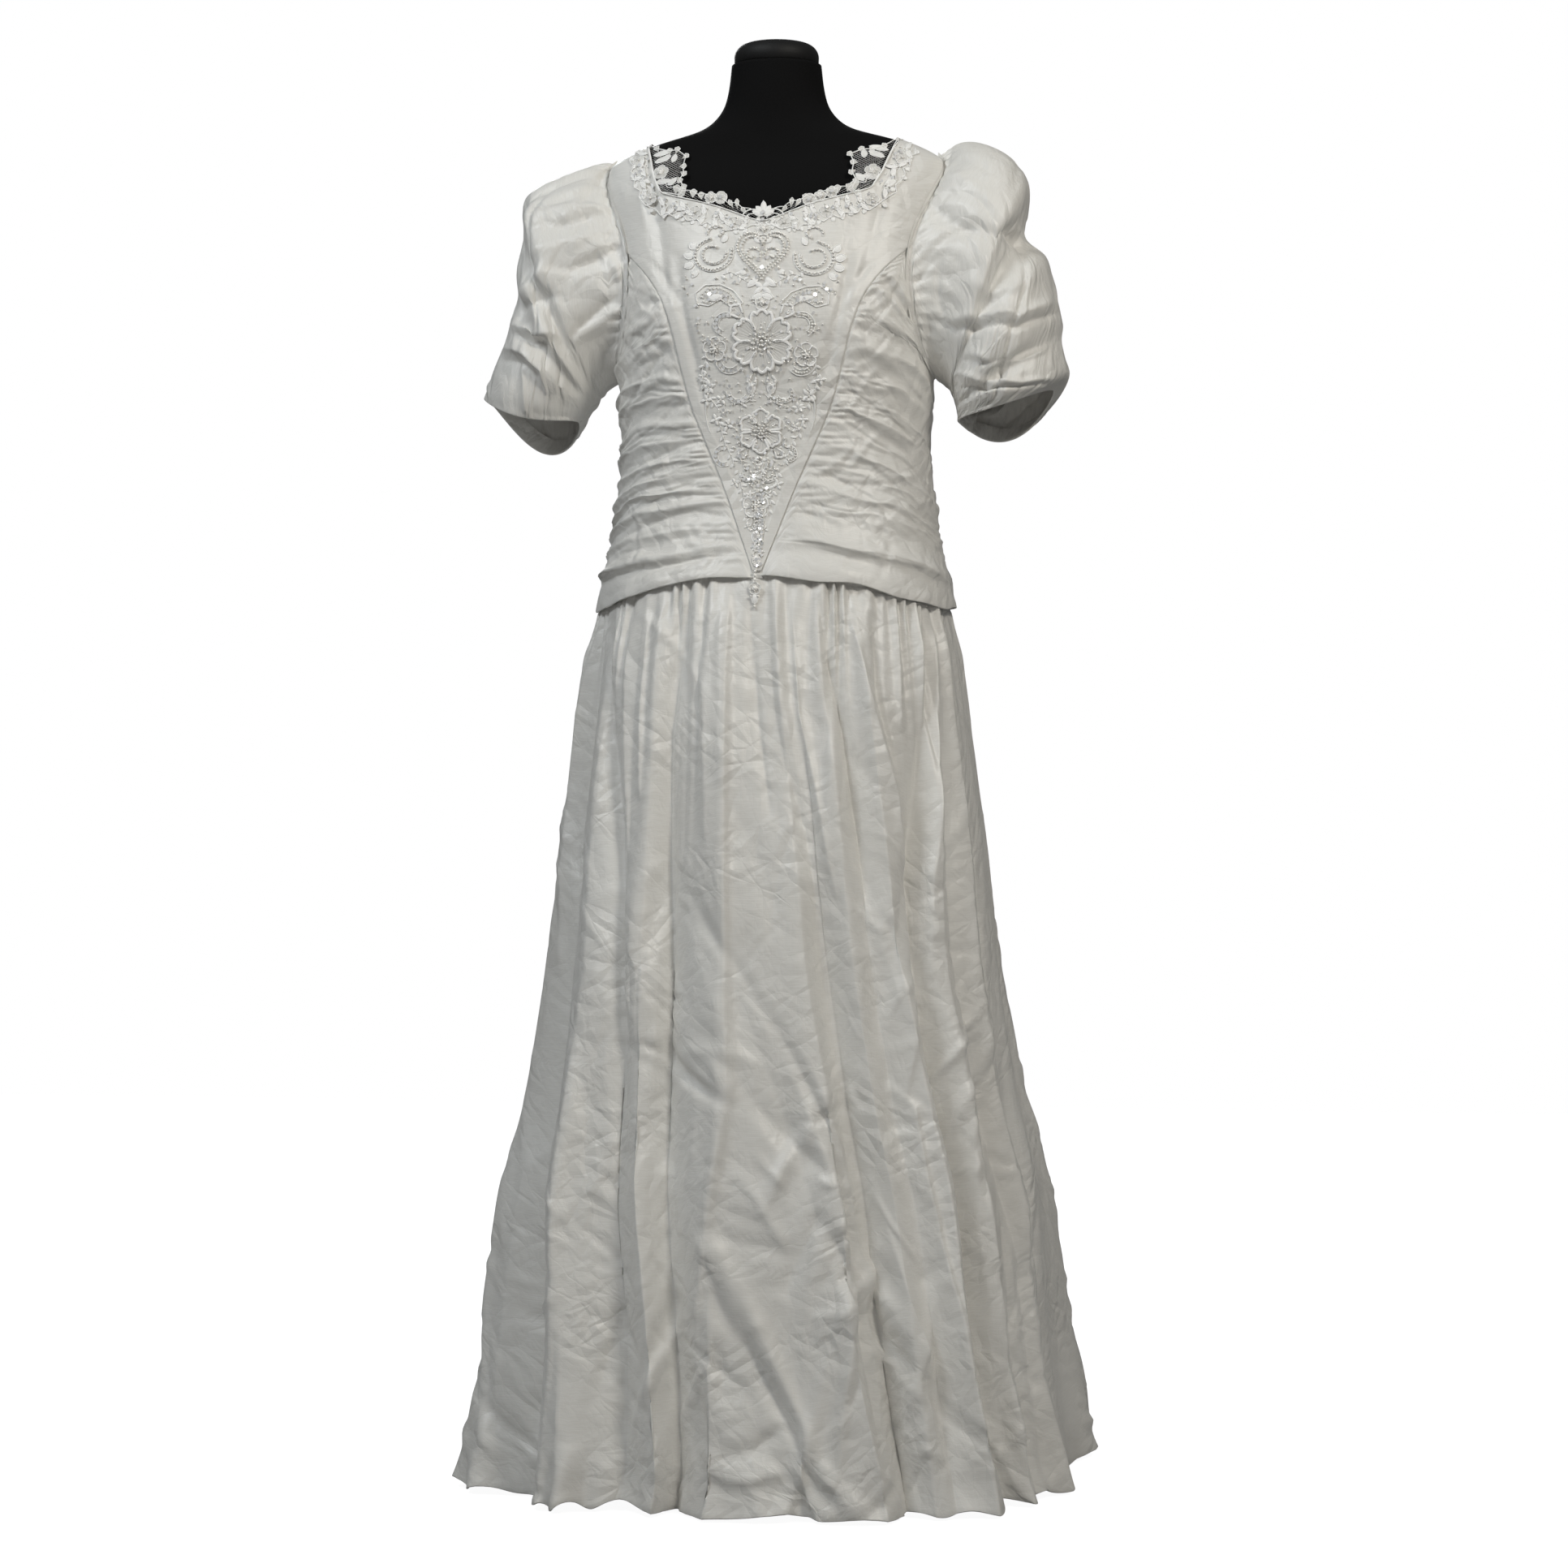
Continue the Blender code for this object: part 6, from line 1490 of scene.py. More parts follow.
BLOSSOMS = [
    # x, z, size, turn, petals
    (-0.0530, 1.1190, 0.0080, 20, 5),
    (-0.0585, 1.1290, 0.0060, 60, 4),
    (-0.0555, 1.1060, 0.0065, 10, 4),
    (-0.0400, 1.1060, 0.0060, 45, 4),
    (-0.0455, 1.0860, 0.0065, 20, 4),
    (-0.0340, 1.0800, 0.0070, 70, 4),
    (0.0500, 1.1090, 0.0085, 40, 4),
    (0.0620, 1.1250, 0.0060, 10, 4),
    (0.0390, 1.0970, 0.0065, 30, 5),
    (0.0370, 1.0770, 0.0060, 60, 4),
    (0.0440, 1.0850, 0.0055, 0, 4),
    (-0.0250, 1.0210, 0.0055, 30, 4),
    (0.0190, 1.0190, 0.0060, 20, 4),
    (-0.0100, 1.0080, 0.0055, 10, 5),
    (0.0090, 1.0090, 0.0050, 50, 4),
    (-0.0110, 0.9760, 0.0045, 20, 4),
    (0.0060, 0.9730, 0.0050, 65, 4),
    (-0.0040, 0.9540, 0.0045, 30, 5),
    (0.0035, 0.9490, 0.0040, 10, 4),
]
CRESCENTS = [
    # x, z, radius_x, radius_z, start, end: rows of beads between two cords
    (-0.0300, 1.1470, 0.0150, 0.0150, 190, 320),
    (0.0430, 1.1440, 0.0150, 0.0150, 215, 350),
    (-0.0220, 1.1130, 0.0120, 0.0110, 170, 350),
    (0.0250, 1.1110, 0.0100, 0.0090, 190, 400),
    (-0.0370, 1.0490, 0.0110, 0.0110, 90, 300),
    (0.0300, 1.0500, 0.0080, 0.0080, 240, 470),
    (-0.0120, 1.0290, 0.0080, 0.0070, 150, 390),
    (0.0095, 1.0280, 0.0080, 0.0070, 150, 390),
    (-0.0330, 1.1820, 0.0140, 0.0120, 60, 250),
    (0.0430, 1.1800, 0.0140, 0.0130, -60, 110),
    (-0.0010, 0.9790, 0.0060, 0.0070, 200, 430),
]
WINGS = [
    # node, outline of (x, z): a corded wing full of beads
    ("scroll_wing_right", (-0.0640, 1.2040), (-0.0660, 1.2150), (-0.0560, 1.2230), (-0.0400, 1.2230),
     (-0.0260, 1.2160), (-0.0160, 1.2030), (-0.0290, 1.2000), (-0.0400, 1.2080), (-0.0520, 1.2010)),
    ("scroll_wing_left", (0.0700, 1.2010), (0.0710, 1.2120), (0.0620, 1.2200), (0.0470, 1.2190),
     (0.0320, 1.2130), (0.0210, 1.2010), (0.0340, 1.1990), (0.0450, 1.2060), (0.0580, 1.1980)),
]
SCROLLS = [
    # node, x, z, radius_x, radius_z, start, end, shrink
    ("scroll_top_right", -0.0500, 1.2560, 0.0225, 0.0205, 20, -260, 0.80),
    ("scroll_top_right", -0.0500, 1.2570, 0.0165, 0.0150, 10, -300, 0.45),
    ("scroll_top_right", -0.0460, 1.2790, 0.0110, 0.0090, 200, -60, 0.50),
    ("scroll_top_left", 0.0560, 1.2500, 0.0225, 0.0205, 160, 440, 0.80),
    ("scroll_top_left", 0.0560, 1.2510, 0.0165, 0.0150, 170, 480, 0.45),
    ("scroll_top_left", 0.0530, 1.2750, 0.0110, 0.0090, -20, 240, 0.50),
]
SCROLL_LEAVES = [
    # node, x, z, turn, length, width
    ("scroll_top_right", -0.0700, 1.2540, 165, 0.0110, 0.0080),
    ("scroll_top_right", -0.0690, 1.2470, 200, 0.0110, 0.0080),
    ("scroll_top_right", -0.0650, 1.2400, 235, 0.0100, 0.0070),
    ("scroll_top_right", -0.0690, 1.2620, 130, 0.0090, 0.0070),
    ("scroll_top_right", -0.0400, 1.2680, 60, 0.0090, 0.0060),
    ("scroll_top_left", 0.0760, 1.2480, 15, 0.0110, 0.0080),
    ("scroll_top_left", 0.0750, 1.2410, -20, 0.0110, 0.0080),
    ("scroll_top_left", 0.0710, 1.2340, -55, 0.0100, 0.0070),
    ("scroll_top_left", 0.0750, 1.2560, 50, 0.0090, 0.0070),
    ("scroll_top_left", 0.0470, 1.2630, 120, 0.0090, 0.0060),
]
HEART_CENTRE = (0.0020, 1.2560)
HEART_HALF = (0.0265, 0.0255)
HEART_ROWS = (1.0, 0.82)        # sizes of its two rows of pearls
PEARL_SPACING = 0.0033
PEARL_RADIUS = 0.00135
DROPS = [
    # node, x, z
    ("drop_upper_left", 0.0120, 1.1165),
    ("drop_upper_right", -0.0085, 1.1165),
    ("drop_low", -0.0028, 0.9650),
    ("drop_tip", -0.0008, 0.9400),
]
VINES = [
    # points (x, z) of a leafed cord
    ((0.0560, 1.1440), (0.0590, 1.1290), (0.0560, 1.1150), (0.0500, 1.1010), (0.0430, 1.0930)),
    ((-0.0540, 1.1500), (-0.0600, 1.1350), (-0.0570, 1.1180), (-0.0490, 1.1050), (-0.0420, 1.0960)),
    ((0.0440, 1.0860), (0.0400, 1.0700), (0.0330, 1.0620), (0.0290, 1.0500), (0.0240, 1.0390)),
    ((-0.0430, 1.0880), (-0.0390, 1.0720), (-0.0350, 1.0600), (-0.0280, 1.0460), (-0.0250, 1.0360)),
    ((0.0200, 1.0350), (0.0170, 1.0220), (0.0130, 1.0100), (0.0110, 0.9950), (0.0080, 0.9840)),
    ((-0.0220, 1.0340), (-0.0190, 1.0210), (-0.0160, 1.0080), (-0.0150, 0.9930), (-0.0110, 0.9810)),
    ((0.0280, 1.1040), (0.0200, 1.1000), (0.0120, 1.1040), (0.0060, 1.1110)),
    ((-0.0260, 1.1060), (-0.0180, 1.1010), (-0.0100, 1.1050), (-0.0040, 1.1120)),
    ((-0.0020, 1.0480), (0.0040, 1.0420), (0.0020, 1.0340), (-0.0040, 1.0280), (-0.0030, 1.0180)),
    ((-0.0400, 1.2330), (-0.0300, 1.2360), (-0.0200, 1.2300), (-0.0120, 1.2250)),
    ((0.0440, 1.2290), (0.0340, 1.2330), (0.0240, 1.2280), (0.0170, 1.2230)),
]
LOOSE_BEADS = 620
LOOSE_SEQUINS = 0.30            # share of them that are sequins
LEAF_CROSS_X = 0.0033
TAIL_X = -0.0013
TAIL_LIFT = 0.0018              # the skirt stands this far out over the bodice's surface there


def heart_path(size, steps=60):
    """Outline of the strung heart, from its notch round to the notch."""
    turn = np.linspace(0.0, math.tau, steps)
    wide = np.sin(turn) ** 3
    tall = (13 * np.cos(turn) - 5 * np.cos(2 * turn) - 2 * np.cos(3 * turn) - np.cos(4 * turn)) / 14.5
    middle, half = np.array(HEART_CENTRE), np.array(HEART_HALF)
    return middle + half * size * np.stack([wide, tall], -1)


def add_flowers(materials):
    """Flowers with their corded petals."""
    for node, x, z, radius, petals, turn, lobes, stamens in FLOWERS:
        trim = Trim()
        rise, border = 0.0006 + 0.03 * radius, 0.0003 + 0.046 * radius
        trim.flower(x, z, radius, petals, turn, lobes, rise, 0.0, stamens, border)
        for flower, *petal in LOOSE_PETALS:
            if flower == node:
                trim.petal(*petal, lobes=2, rise=rise, border=0.7 * border)
        trim.piece("lace_" + node, materials, node)


def add_scrolls(materials):
    """Scrolls of two cords with a row of pearls between them, and scalloped leaves round them."""
    for node in ("scroll_top_left", "scroll_top_right"):
        trim = Trim()
        for name, *curve in SCROLLS:
            if name == node:
                outer, row, inner = nested_arcs(*curve, sizes=(1.0, 0.93, 0.86), steps=40)
                trim.cord(outer, 0.0007)
                trim.cord(inner, 0.0005)
                trim.pearls(evenly(row, 0.0036)[1:-1], 0.0012, 0.0003)
                trim.pearls(outer[-1:], 0.0016)
        for name, *leaf in SCROLL_LEAVES:
            if name == node:
                trim.leaf(*leaf, border=0.0006)
        trim.piece("lace_" + node, materials, node)


def add_wings(materials):
    """The two corded wings full of beads under the scrolls."""
    for node, *outline in WINGS:
        trim = Trim()
        outline = np.array(outline + outline[:1])
        middle = outline[:-1].mean(axis=0)
        trim.cord(evenly(outline, 0.0022)[:-1], 0.0007, closed=True)
        trim.pearls(evenly(middle + (outline - middle) * 0.70, 0.0042)[:-1], 0.0010)
        trim.sequins(evenly(middle + (outline - middle) * 0.42, 0.0062), 0.0019, seed=len(node))
        trim.leaf(*(middle - (0.010, 0.002)), 10, 0.018, 0.0080)
        trim.piece("lace_" + node, materials, node)


def add_heart(materials):
    """Heart of strung pearls, with curls, leaves and sequins inside and a flower in its notch."""
    trim = Trim()
    for size in HEART_ROWS:
        trim.pearls(evenly(heart_path(size), PEARL_SPACING), PEARL_RADIUS)
    x, z = HEART_CENTRE
    for side in (-1.0, 1.0):
        curl = arc(x + side * 0.0105, z - 0.002, side * 0.0085, 0.0085, 200, -130, 0.35, steps=30)
        trim.pearls(evenly(curl, PEARL_SPACING), PEARL_RADIUS)
        trim.leaf(x + side * 0.003, z + 0.010, 90 - side * 40, 0.010, 0.006)
        trim.leaf(x + side * 0.016, z - 0.022, 90 - side * 75, 0.008, 0.006)
        trim.pearls([(x + side * 0.017, z - 0.017)], 0.0017)
    glints = [(x, z + 0.004), (x - 0.004, z - 0.008), (x + 0.005, z - 0.006), (x, z - 0.016)]
    trim.sequins(glints, 0.0019)
    trim.flower(x, z + 0.0250, 0.0075, 5, lobes=1, stamens=4, border=0.0005)
    for side in (-1.0, 1.0):
        trim.leaf(x + side * 0.004, z - 0.027, 270 + side * 50, 0.014, 0.007, border=0.0005)
    trim.piece("lace_heart", materials, "heart_frame")


def add_leaf_cross(materials):
    """Four small leaves over two corded ones and a small flower."""
    cross = Trim()
    for turn in (35, 145, 215, 325):
        cross.leaf(LEAF_CROSS_X, 1.2190, turn, 0.0110, 0.0052)
    for turn in (200, -20):
        cross.leaf(LEAF_CROSS_X, 1.2120, turn, 0.0120, 0.0070, border=0.0006)
    cross.flower(LEAF_CROSS_X, 1.2030, 0.0075, 5, lobes=1, stamens=4)
    cross.piece("lace_leaf_cross", materials, "leaf_cross")


def add_sprigs(materials):
    """The small blossoms of each side with a curved stem."""
    for node, side in (("sprig_left", 1.0), ("sprig_right", -1.0)):
        sprig = Trim()
        for x, *blossom in BLOSSOMS:
            if math.copysign(1.0, x) == side:
                sprig.blossom(x, *blossom)
        sprig.cord(arc(side * 0.036, 1.095, side * 0.020, 0.034, -40, 50), 0.0005)
        sprig.piece("lace_" + node, materials, node)


def add_drops(materials):
    """Padded drops, each with three pearls and a sequin."""
    for node, x, z in DROPS:
        drop = Trim()
        drop.leaf(x, z + 0.0065, 270, 0.0125, 0.0085, rise=0.0016, border=0.0006)
        drop.pearls([(x - 0.0038, z + 0.007), (x + 0.0038, z + 0.007), (x, z - 0.0085)], 0.0012)
        drop.sequins([(x, z + 0.001)], 0.0019, lift=0.0018)
        drop.piece("lace_" + node, materials, node)


def add_loose_beads(beads):
    """Single pearls and sequins over the long V, closer together towards its tip."""
    chance = np.random.default_rng(77)
    for _ in range(LOOSE_BEADS):
        z = 0.935 + 0.300 * chance.uniform() ** 1.25
        x = chance.uniform(-1.0, 1.0) * max(columns_at(V_SEAM, z)[..., 0] - 0.026, 0.005)
        if chance.uniform() < LOOSE_SEQUINS:
            beads.sequins([(x, z)], 0.0016, lift=0.0010, seed=int(z * 1e5))
        else:
            beads.pearls([(x, z)], chance.uniform(0.0008, 0.0012))


def add_beads(materials):
    """Crescents of beads between two cords, leafed vines and single beads between the flowers."""
    beads = Trim()
    for index, crescent in enumerate(CRESCENTS):
        outer, row, inner = nested_arcs(*crescent, sizes=(1.0, 0.81, 0.62))
        beads.cord(outer, 0.0006)
        beads.cord(inner, 0.0005)
        if index % 2:
            beads.pearls(evenly(row, 0.0030)[1:-1], 0.0010)
        else:
            beads.sequins(evenly(row, 0.0044)[1:-1], 0.0018, seed=index)
    for path in VINES:
        beads.vine(evenly(path, 0.0030), 0.0062)
    add_loose_beads(beads)
    beads.piece("lace_beads", materials)


def add_tail(materials):
    """The beaded drop that hangs from the tip over the skirt."""
    tail = Trim()
    tail.pearls([(TAIL_X, z) for z in np.arange(0.9290, 0.9180, -0.0042)], 0.0016, TAIL_LIFT)
    tail.flower(TAIL_X, 0.9120, 0.0062, 5, lobes=1, lift=TAIL_LIFT, stamens=4, border=0.0005)
    tail.leaf(TAIL_X, 0.9060, 270, 0.0100, 0.0060, rise=0.0016, lift=TAIL_LIFT, border=0.0006)
    tail.pearls([(TAIL_X, 0.8940), (-0.0050, 0.9040), (0.0024, 0.9040)], 0.0014, TAIL_LIFT)
    tail.piece("lace_tail", materials)


# Neckline lace

CORNER_LEFT = [
    # x, z of the lace corner on the wearer's left, from the strap round to the neckline
    (0.1310, 1.3860), (0.1181, 1.3745), (0.1068, 1.3705), (0.0961, 1.3699), (0.0850, 1.3640),
    (0.0897, 1.3543), (0.0889, 1.3427), (0.0940, 1.3335), (0.0900, 1.3242), (0.0960, 1.3200),
    (0.1090, 1.3255), (0.1180, 1.3430), (0.1250, 1.3660),
]
CORNER_RIGHT = [
    # x, z of the same corner on the wearer's right
    (-0.1320, 1.3850), (-0.1208, 1.3786), (-0.1059, 1.3740), (-0.0975, 1.3751), (-0.0870, 1.3665),
    (-0.0881, 1.3543), (-0.0863, 1.3456), (-0.0898, 1.3381), (-0.0846, 1.3306), (-0.0877, 1.3213),
    (-0.1090, 1.3258), (-0.1180, 1.3430), (-0.1250, 1.3660),
]
EDGE_MOTIFS = [
    # x, z, turn, length, width: leaves and lobes that stand over the neckline
    (-0.0930, 1.3215, 80, 0.0110, 0.0120), (-0.0830, 1.3190, 110, 0.0100, 0.0110),
    (-0.0740, 1.3165, 85, 0.0100, 0.0110), (-0.0640, 1.3140, 100, 0.0090, 0.0090),
    (-0.0400, 1.3080, 100, 0.0110, 0.0080), (-0.0300, 1.3035, 120, 0.0110, 0.0060),
    (-0.0260, 1.3020, 95, 0.0120, 0.0060), (-0.0160, 1.2975, 130, 0.0090, 0.0060),
    (0.0190, 1.2980, 50, 0.0090, 0.0060), (0.0290, 1.3020, 85, 0.0120, 0.0060),
    (0.0330, 1.3030, 60, 0.0110, 0.0060), (0.0420, 1.3080, 80, 0.0100, 0.0080),
    (0.0670, 1.3145, 80, 0.0090, 0.0090), (0.0760, 1.3175, 95, 0.0100, 0.0110),
    (0.0850, 1.3195, 70, 0.0100, 0.0110), (0.0940, 1.3220, 100, 0.0110, 0.0120),
]
CORNER_SCALLOPS = 10            # a corner's first points, which have a petal each
CORNER_LEAVES = [
    # x, z, turn, length: as on the wearer's left
    (0.1230, 1.3700, 168, 0.020),
    (0.1200, 1.3610, 158, 0.018),
    (0.1110, 1.3620, 130, 0.010),
    (0.1150, 1.3370, 175, 0.016),
    (0.1020, 1.3330, 140, 0.012),
    (0.1000, 1.3600, 100, 0.010),
]
CENTRE_LEAVES = [
    # turn, length
    (90, 0.0150),
    (128, 0.0120),
    (52, 0.0120),
    (158, 0.0120),
    (22, 0.0120),
]
CENTRE_SEQUINS = [(0.001, 1.2905), (0.001, 1.2985)]
EDGE_SHARES = (0.13, 0.87)      # where the edging between the corners starts and ends along the neckline
EDGE_FLOWERS = [
    # x, z, radius, petals, stamens
    (-0.0548, 1.3165, 0.0062, 5, 4), (-0.0440, 1.3160, 0.0066, 4, 0), (0.0475, 1.3115, 0.0066, 4, 0),
    (0.0585, 1.3155, 0.0062, 5, 4), (0.0700, 1.3200, 0.0060, 5, 0), (0.1094, 1.3440, 0.0080, 5, 5),
    (-0.1114, 1.3490, 0.0080, 5, 5),
]
NET_SPACING = 0.0021
NET_RADIUS = 0.00013
LACE_DEPTH = 0.024             # of the embroidered band on the satin
LACE_STEPS = 62                # along it
LACE_SEQUINS = 46


def inside(points, outline):
    """Which points lie within a closed outline."""
    x, z = points[:, 0], points[:, 1]
    result = np.zeros(len(points), bool)
    for (x_0, z_0), (x_1, z_1) in zip(outline, np.roll(outline, -1, axis=0)):
        crosses = (z_0 > z) != (z_1 > z)
        level = (z - z_0) / np.where(z_1 == z_0, 1.0, z_1 - z_0)
        result ^= crosses & (x < x_0 + level * (x_1 - x_0))
    return result


def neck_line():
    """The whole front neckline, from the wearer's right shoulder to the left."""
    half = np.array(NECK_EDGE)
    return np.concatenate([half * (-1.0, 1.0), half[-2::-1]])


def neck_place(shares, up):
    """Places at shares of the neckline and heights over it."""
    line = neck_line()
    middle = along(line, shares)
    run = unit(along(line, np.clip(shares + 0.012, 0, 1)) - along(line, np.clip(shares - 0.012, 0, 1)))
    return middle + np.stack([-run[:, 1], run[:, 0]], -1) * np.asarray(up)[..., None]


def add_net(trim, outline):
    """Fine threads in two directions over an outline."""
    outline = np.asarray(outline, float)
    low, high = outline.min(axis=0), outline.max(axis=0)
    centre, reach = 0.5 * (low + high), np.linalg.norm(high - low) * 0.5
    for turn in (30.0, 150.0):
        run = np.array([math.cos(math.radians(turn)), math.sin(math.radians(turn))])
        side = np.array([-run[1], run[0]])
        for offset in np.arange(-reach, reach, NET_SPACING):
            line = centre + side * offset + run * np.arange(-reach, reach, 0.0015)[:, None]
            kept = inside(line, outline)
            starts = np.flatnonzero(kept & ~np.concatenate([[False], kept[:-1]]))
            ends = np.flatnonzero(kept & ~np.concatenate([kept[1:], [False]]))
            for start, end in zip(starts, ends):
                if end - start >= 2:
                    count = max((end - start) // 3, 1) + 1
                    thread = along(line[[start, end]], np.linspace(0, 1, count))
                    trim.cord(thread, NET_RADIUS, 0.0004, sides=3)


def add_corner(trim, outline):
    """An open corner of the lace: net in a corded rim, a petal at each scallop, and leaves."""
    outline = np.array(outline)
    side = math.copysign(1.0, outline[0, 0])
    middle = outline.mean(axis=0)
    add_net(trim, middle + (outline - middle) * 0.97)
    rim = np.concatenate([outline, outline[:1]])
    trim.cord(evenly(rim, 0.0020)[:-1], 0.0006, closed=True)
    for x, z in outline[:CORNER_SCALLOPS]:
        turn = math.degrees(math.atan2(z - middle[1], x - middle[0]))
        trim.petal(*towards(x, z, turn, -0.005), turn, 0.0085, 0.0088, 2, rise=0.0003, border=0.0004)
    for x, z, turn, length in CORNER_LEAVES:
        way = turn if side > 0.0 else 180.0 - turn
        trim.leaf(side * x, z, way, length, 0.0060, rise=0.0003, border=0.0004)


def add_edge(trim):
    """The narrow edging between the corners: net under a scalloped cord, with lobes and flowers over it."""
    shares = np.linspace(*EDGE_SHARES, 75)
    upper = neck_place(shares, 0.8 * (0.0075 + 0.0020 * np.cos(shares * 75.0)))
    lower = neck_place(shares[::-1], np.full(75, 0.0003))
    add_net(trim, np.concatenate([upper, lower]))
    scallops = 0.0062 + 0.0022 * np.abs(np.cos(np.arange(120) * 0.42))
    trim.cord(neck_place(np.linspace(*EDGE_SHARES, 120), scallops), 0.0005)
    for motif in EDGE_MOTIFS:
        trim.petal(*motif, 2, rise=0.0004, border=0.0004)
    for x, z, radius, petals, stamens in EDGE_FLOWERS:
        trim.flower(x, z, radius, petals, 90, 1, 0.0005, 0.0, stamens, 0.0004)


def add_centre(trim):
    """The corded leaves in the middle of the neckline with two loops at each side."""
    for turn, length in CENTRE_LEAVES:
        trim.leaf(0.0010, 1.2960, turn, length, 0.0060, rise=0.0010, border=0.0006)
    for side in (-1.0, 1.0):
        x = 0.001 + side * 0.0110
        trim.cord(arc(x, 1.2935, side * 0.0105, 0.0085, 170, 10), 0.0008)
        trim.cord(arc(x, 1.2915, side * 0.0075, 0.0060, 170, 10), 0.0006)


def add_neck_lace(materials):
    """Lace edging: open corners, motifs over the edge and an embroidered band on the satin."""
    trim = Trim()
    for outline in (CORNER_LEFT, CORNER_RIGHT):
        add_corner(trim, outline)
    add_edge(trim)
    add_centre(trim)
    trim.sequins([(x, z) for x, z, *_ in EDGE_FLOWERS] + CENTRE_SEQUINS, 0.0020, 0.0016)
    add_band(trim)
    trim.piece("lace_neck", materials, "neck_lace")


def lace_depth(share):
    """Depth of the embroidered band at shares of the neckline, less in its middle."""
    return LACE_DEPTH * (1.0 - 0.75 * bump(share - 0.5, 0.05))


def add_band(trim):
    """The embroidery on the satin under the neckline and along the straps."""
    chance = np.random.default_rng(41)
    shares = np.linspace(0.02, 0.98, LACE_STEPS)
    lower = -lace_depth(shares) * (0.90 + 0.12 * np.cos(shares * 150.0))
    trim.cord(evenly(neck_place(shares, lower), 0.0020), 0.0006)
    trim.cord(evenly(neck_place(shares, np.full(LACE_STEPS, -0.0008)), 0.0030), 0.0007)
    for k, share in enumerate(shares[::2]):
        reach = float(lace_depth(share))
        place = neck_place(np.array([share]), np.array([-0.55 * reach]))[0]
        turn = chance.uniform(0.0, 360.0)
        if k % 4 == 1 and reach > 0.016:
            trim.flower(*place, 0.0070, 5, turn, 1, 0.0004, 0.0, 0, 0.0004)
            trim.pearls([place], 0.0011, 0.0003)
        else:
            trim.cord(arc(*place, 0.0050, 0.0050, turn, turn + 400.0, 0.35), 0.0004)
            for way in (turn, turn + 140.0):
                trim.leaf(*place, way, 0.35 * reach + 0.004, 0.0048, rise=0.0003, border=0.0004)
        tip = neck_place(np.array([share + 0.008]), np.array([-0.88 * reach]))[0]
        trim.leaf(*tip, chance.uniform(200.0, 340.0), 0.0055, 0.0042, rise=0.0003, border=0.0003)
        trim.pearls([neck_place(np.array([share]), np.array([-0.25 * reach]))[0]], 0.0009)
    for share in chance.uniform(0.03, 0.97, LACE_SEQUINS):
        place = neck_place(np.array([share]), np.array([-chance.uniform(0.1, 0.9) * LACE_DEPTH * 0.9]))
        if abs(share - 0.5) > 0.05:
            trim.sequins(place, 0.0016, 0.0008, seed=int(share * 1e5))


def add_trims(materials):
    """Everything that is sewn or beaded on the front."""
    add_flowers(materials)
    add_scrolls(materials)
    add_wings(materials)
    add_heart(materials)
    add_leaf_cross(materials)
    add_sprigs(materials)
    add_drops(materials)
    add_beads(materials)
    add_tail(materials)
    add_neck_lace(materials)


# Form and stand

def form_grid():
    """The form's torso and neck, closed at both ends."""
    neck, torso = np.linspace(NECK_TOP_Z, 1.36, 40), np.linspace(1.355, 0.808, 50)
    levels = np.concatenate([neck, torso, [FORM_BOTTOM_Z]])
    inset = columns_at(FORM_INSET, levels)
    inset[-1] += 0.012
    angle = np.linspace(0.0, 360.0, 97)
    points = section(BODY_SECTIONS, angle[None, :], levels[:, None] + 0.002)
    points[..., 2] = levels[:, None]
    reach = np.linalg.norm(points[..., :2], axis=-1)
    points[..., :2] *= ((reach - inset) / reach)[..., None]
    top, bottom = points[:1] * [0.0, 0.0, 1.0], points[-1:] * [0.0, 0.0, 1.0]
    return np.concatenate([top, points, bottom])


def turned_grid(profile, z, steps=72):
    """Grid of a turned form from (radius, height) pairs, top first."""
    profile = np.array(profile, float)
    angle = np.radians(np.linspace(0.0, 360.0, steps + 1))
    x, y = profile[:, :1] * np.sin(angle), -profile[:, :1] * np.cos(angle)
    return np.stack([x, y, np.broadcast_to(z + profile[:, 1:], x.shape)], -1)


CAP_HEIGHT = 0.022
CAP_RADIUS = 0.0445
CAP_ROUND = 0.014               # radius of its upper edge
CAP_GAP = 0.0003


def add_form(jersey, cap):
    """Torso and neck cap; the stand keeps its solids."""
    add_cloth("jersey_torso", form_grid(), jersey, "jersey", "dress_form_torso")
    radius, height = CAP_RADIUS - CAP_ROUND, CAP_HEIGHT - CAP_ROUND
    profile = [(0.0, CAP_HEIGHT), (0.030, CAP_HEIGHT)]
    for turn in np.radians(np.linspace(90.0, 0.0, 14)):
        profile.append((radius + CAP_ROUND * math.cos(turn), height + CAP_ROUND * math.sin(turn)))
    profile += [(0.0442, 0.001), (0.0430, 0.0)]
    add_cloth("cap_neck", turned_grid(profile, NECK_TOP_Z + CAP_GAP), cap, "cap", "dress_form_neck_cap")


# Finishes

def principled(name, colour, roughness, **inputs):
    """A Principled material and its shader."""
    material = bpy.data.materials.new(name)
    material.use_nodes = True
    shader = material.node_tree.nodes["Principled BSDF"]
    shader.inputs["Base Color"].default_value = (*colour, 1.0)
    shader.inputs["Roughness"].default_value = roughness
    for key, value in inputs.items():
        shader.inputs[key.replace("_", " ")].default_value = value
    return material, shader


def link(owner, output, target):
    """Join two sockets of a material or world."""
    owner.node_tree.links.new(output, target)


def new_node(owner, kind, **settings):
    """A node of a material or world, with some of its inputs or attributes set."""
    node = owner.node_tree.nodes.new(kind)
    for key, value in settings.items():
        if key in node.inputs:
            node.inputs[key].default_value = value
        else:
            setattr(node, key, value)
    return node


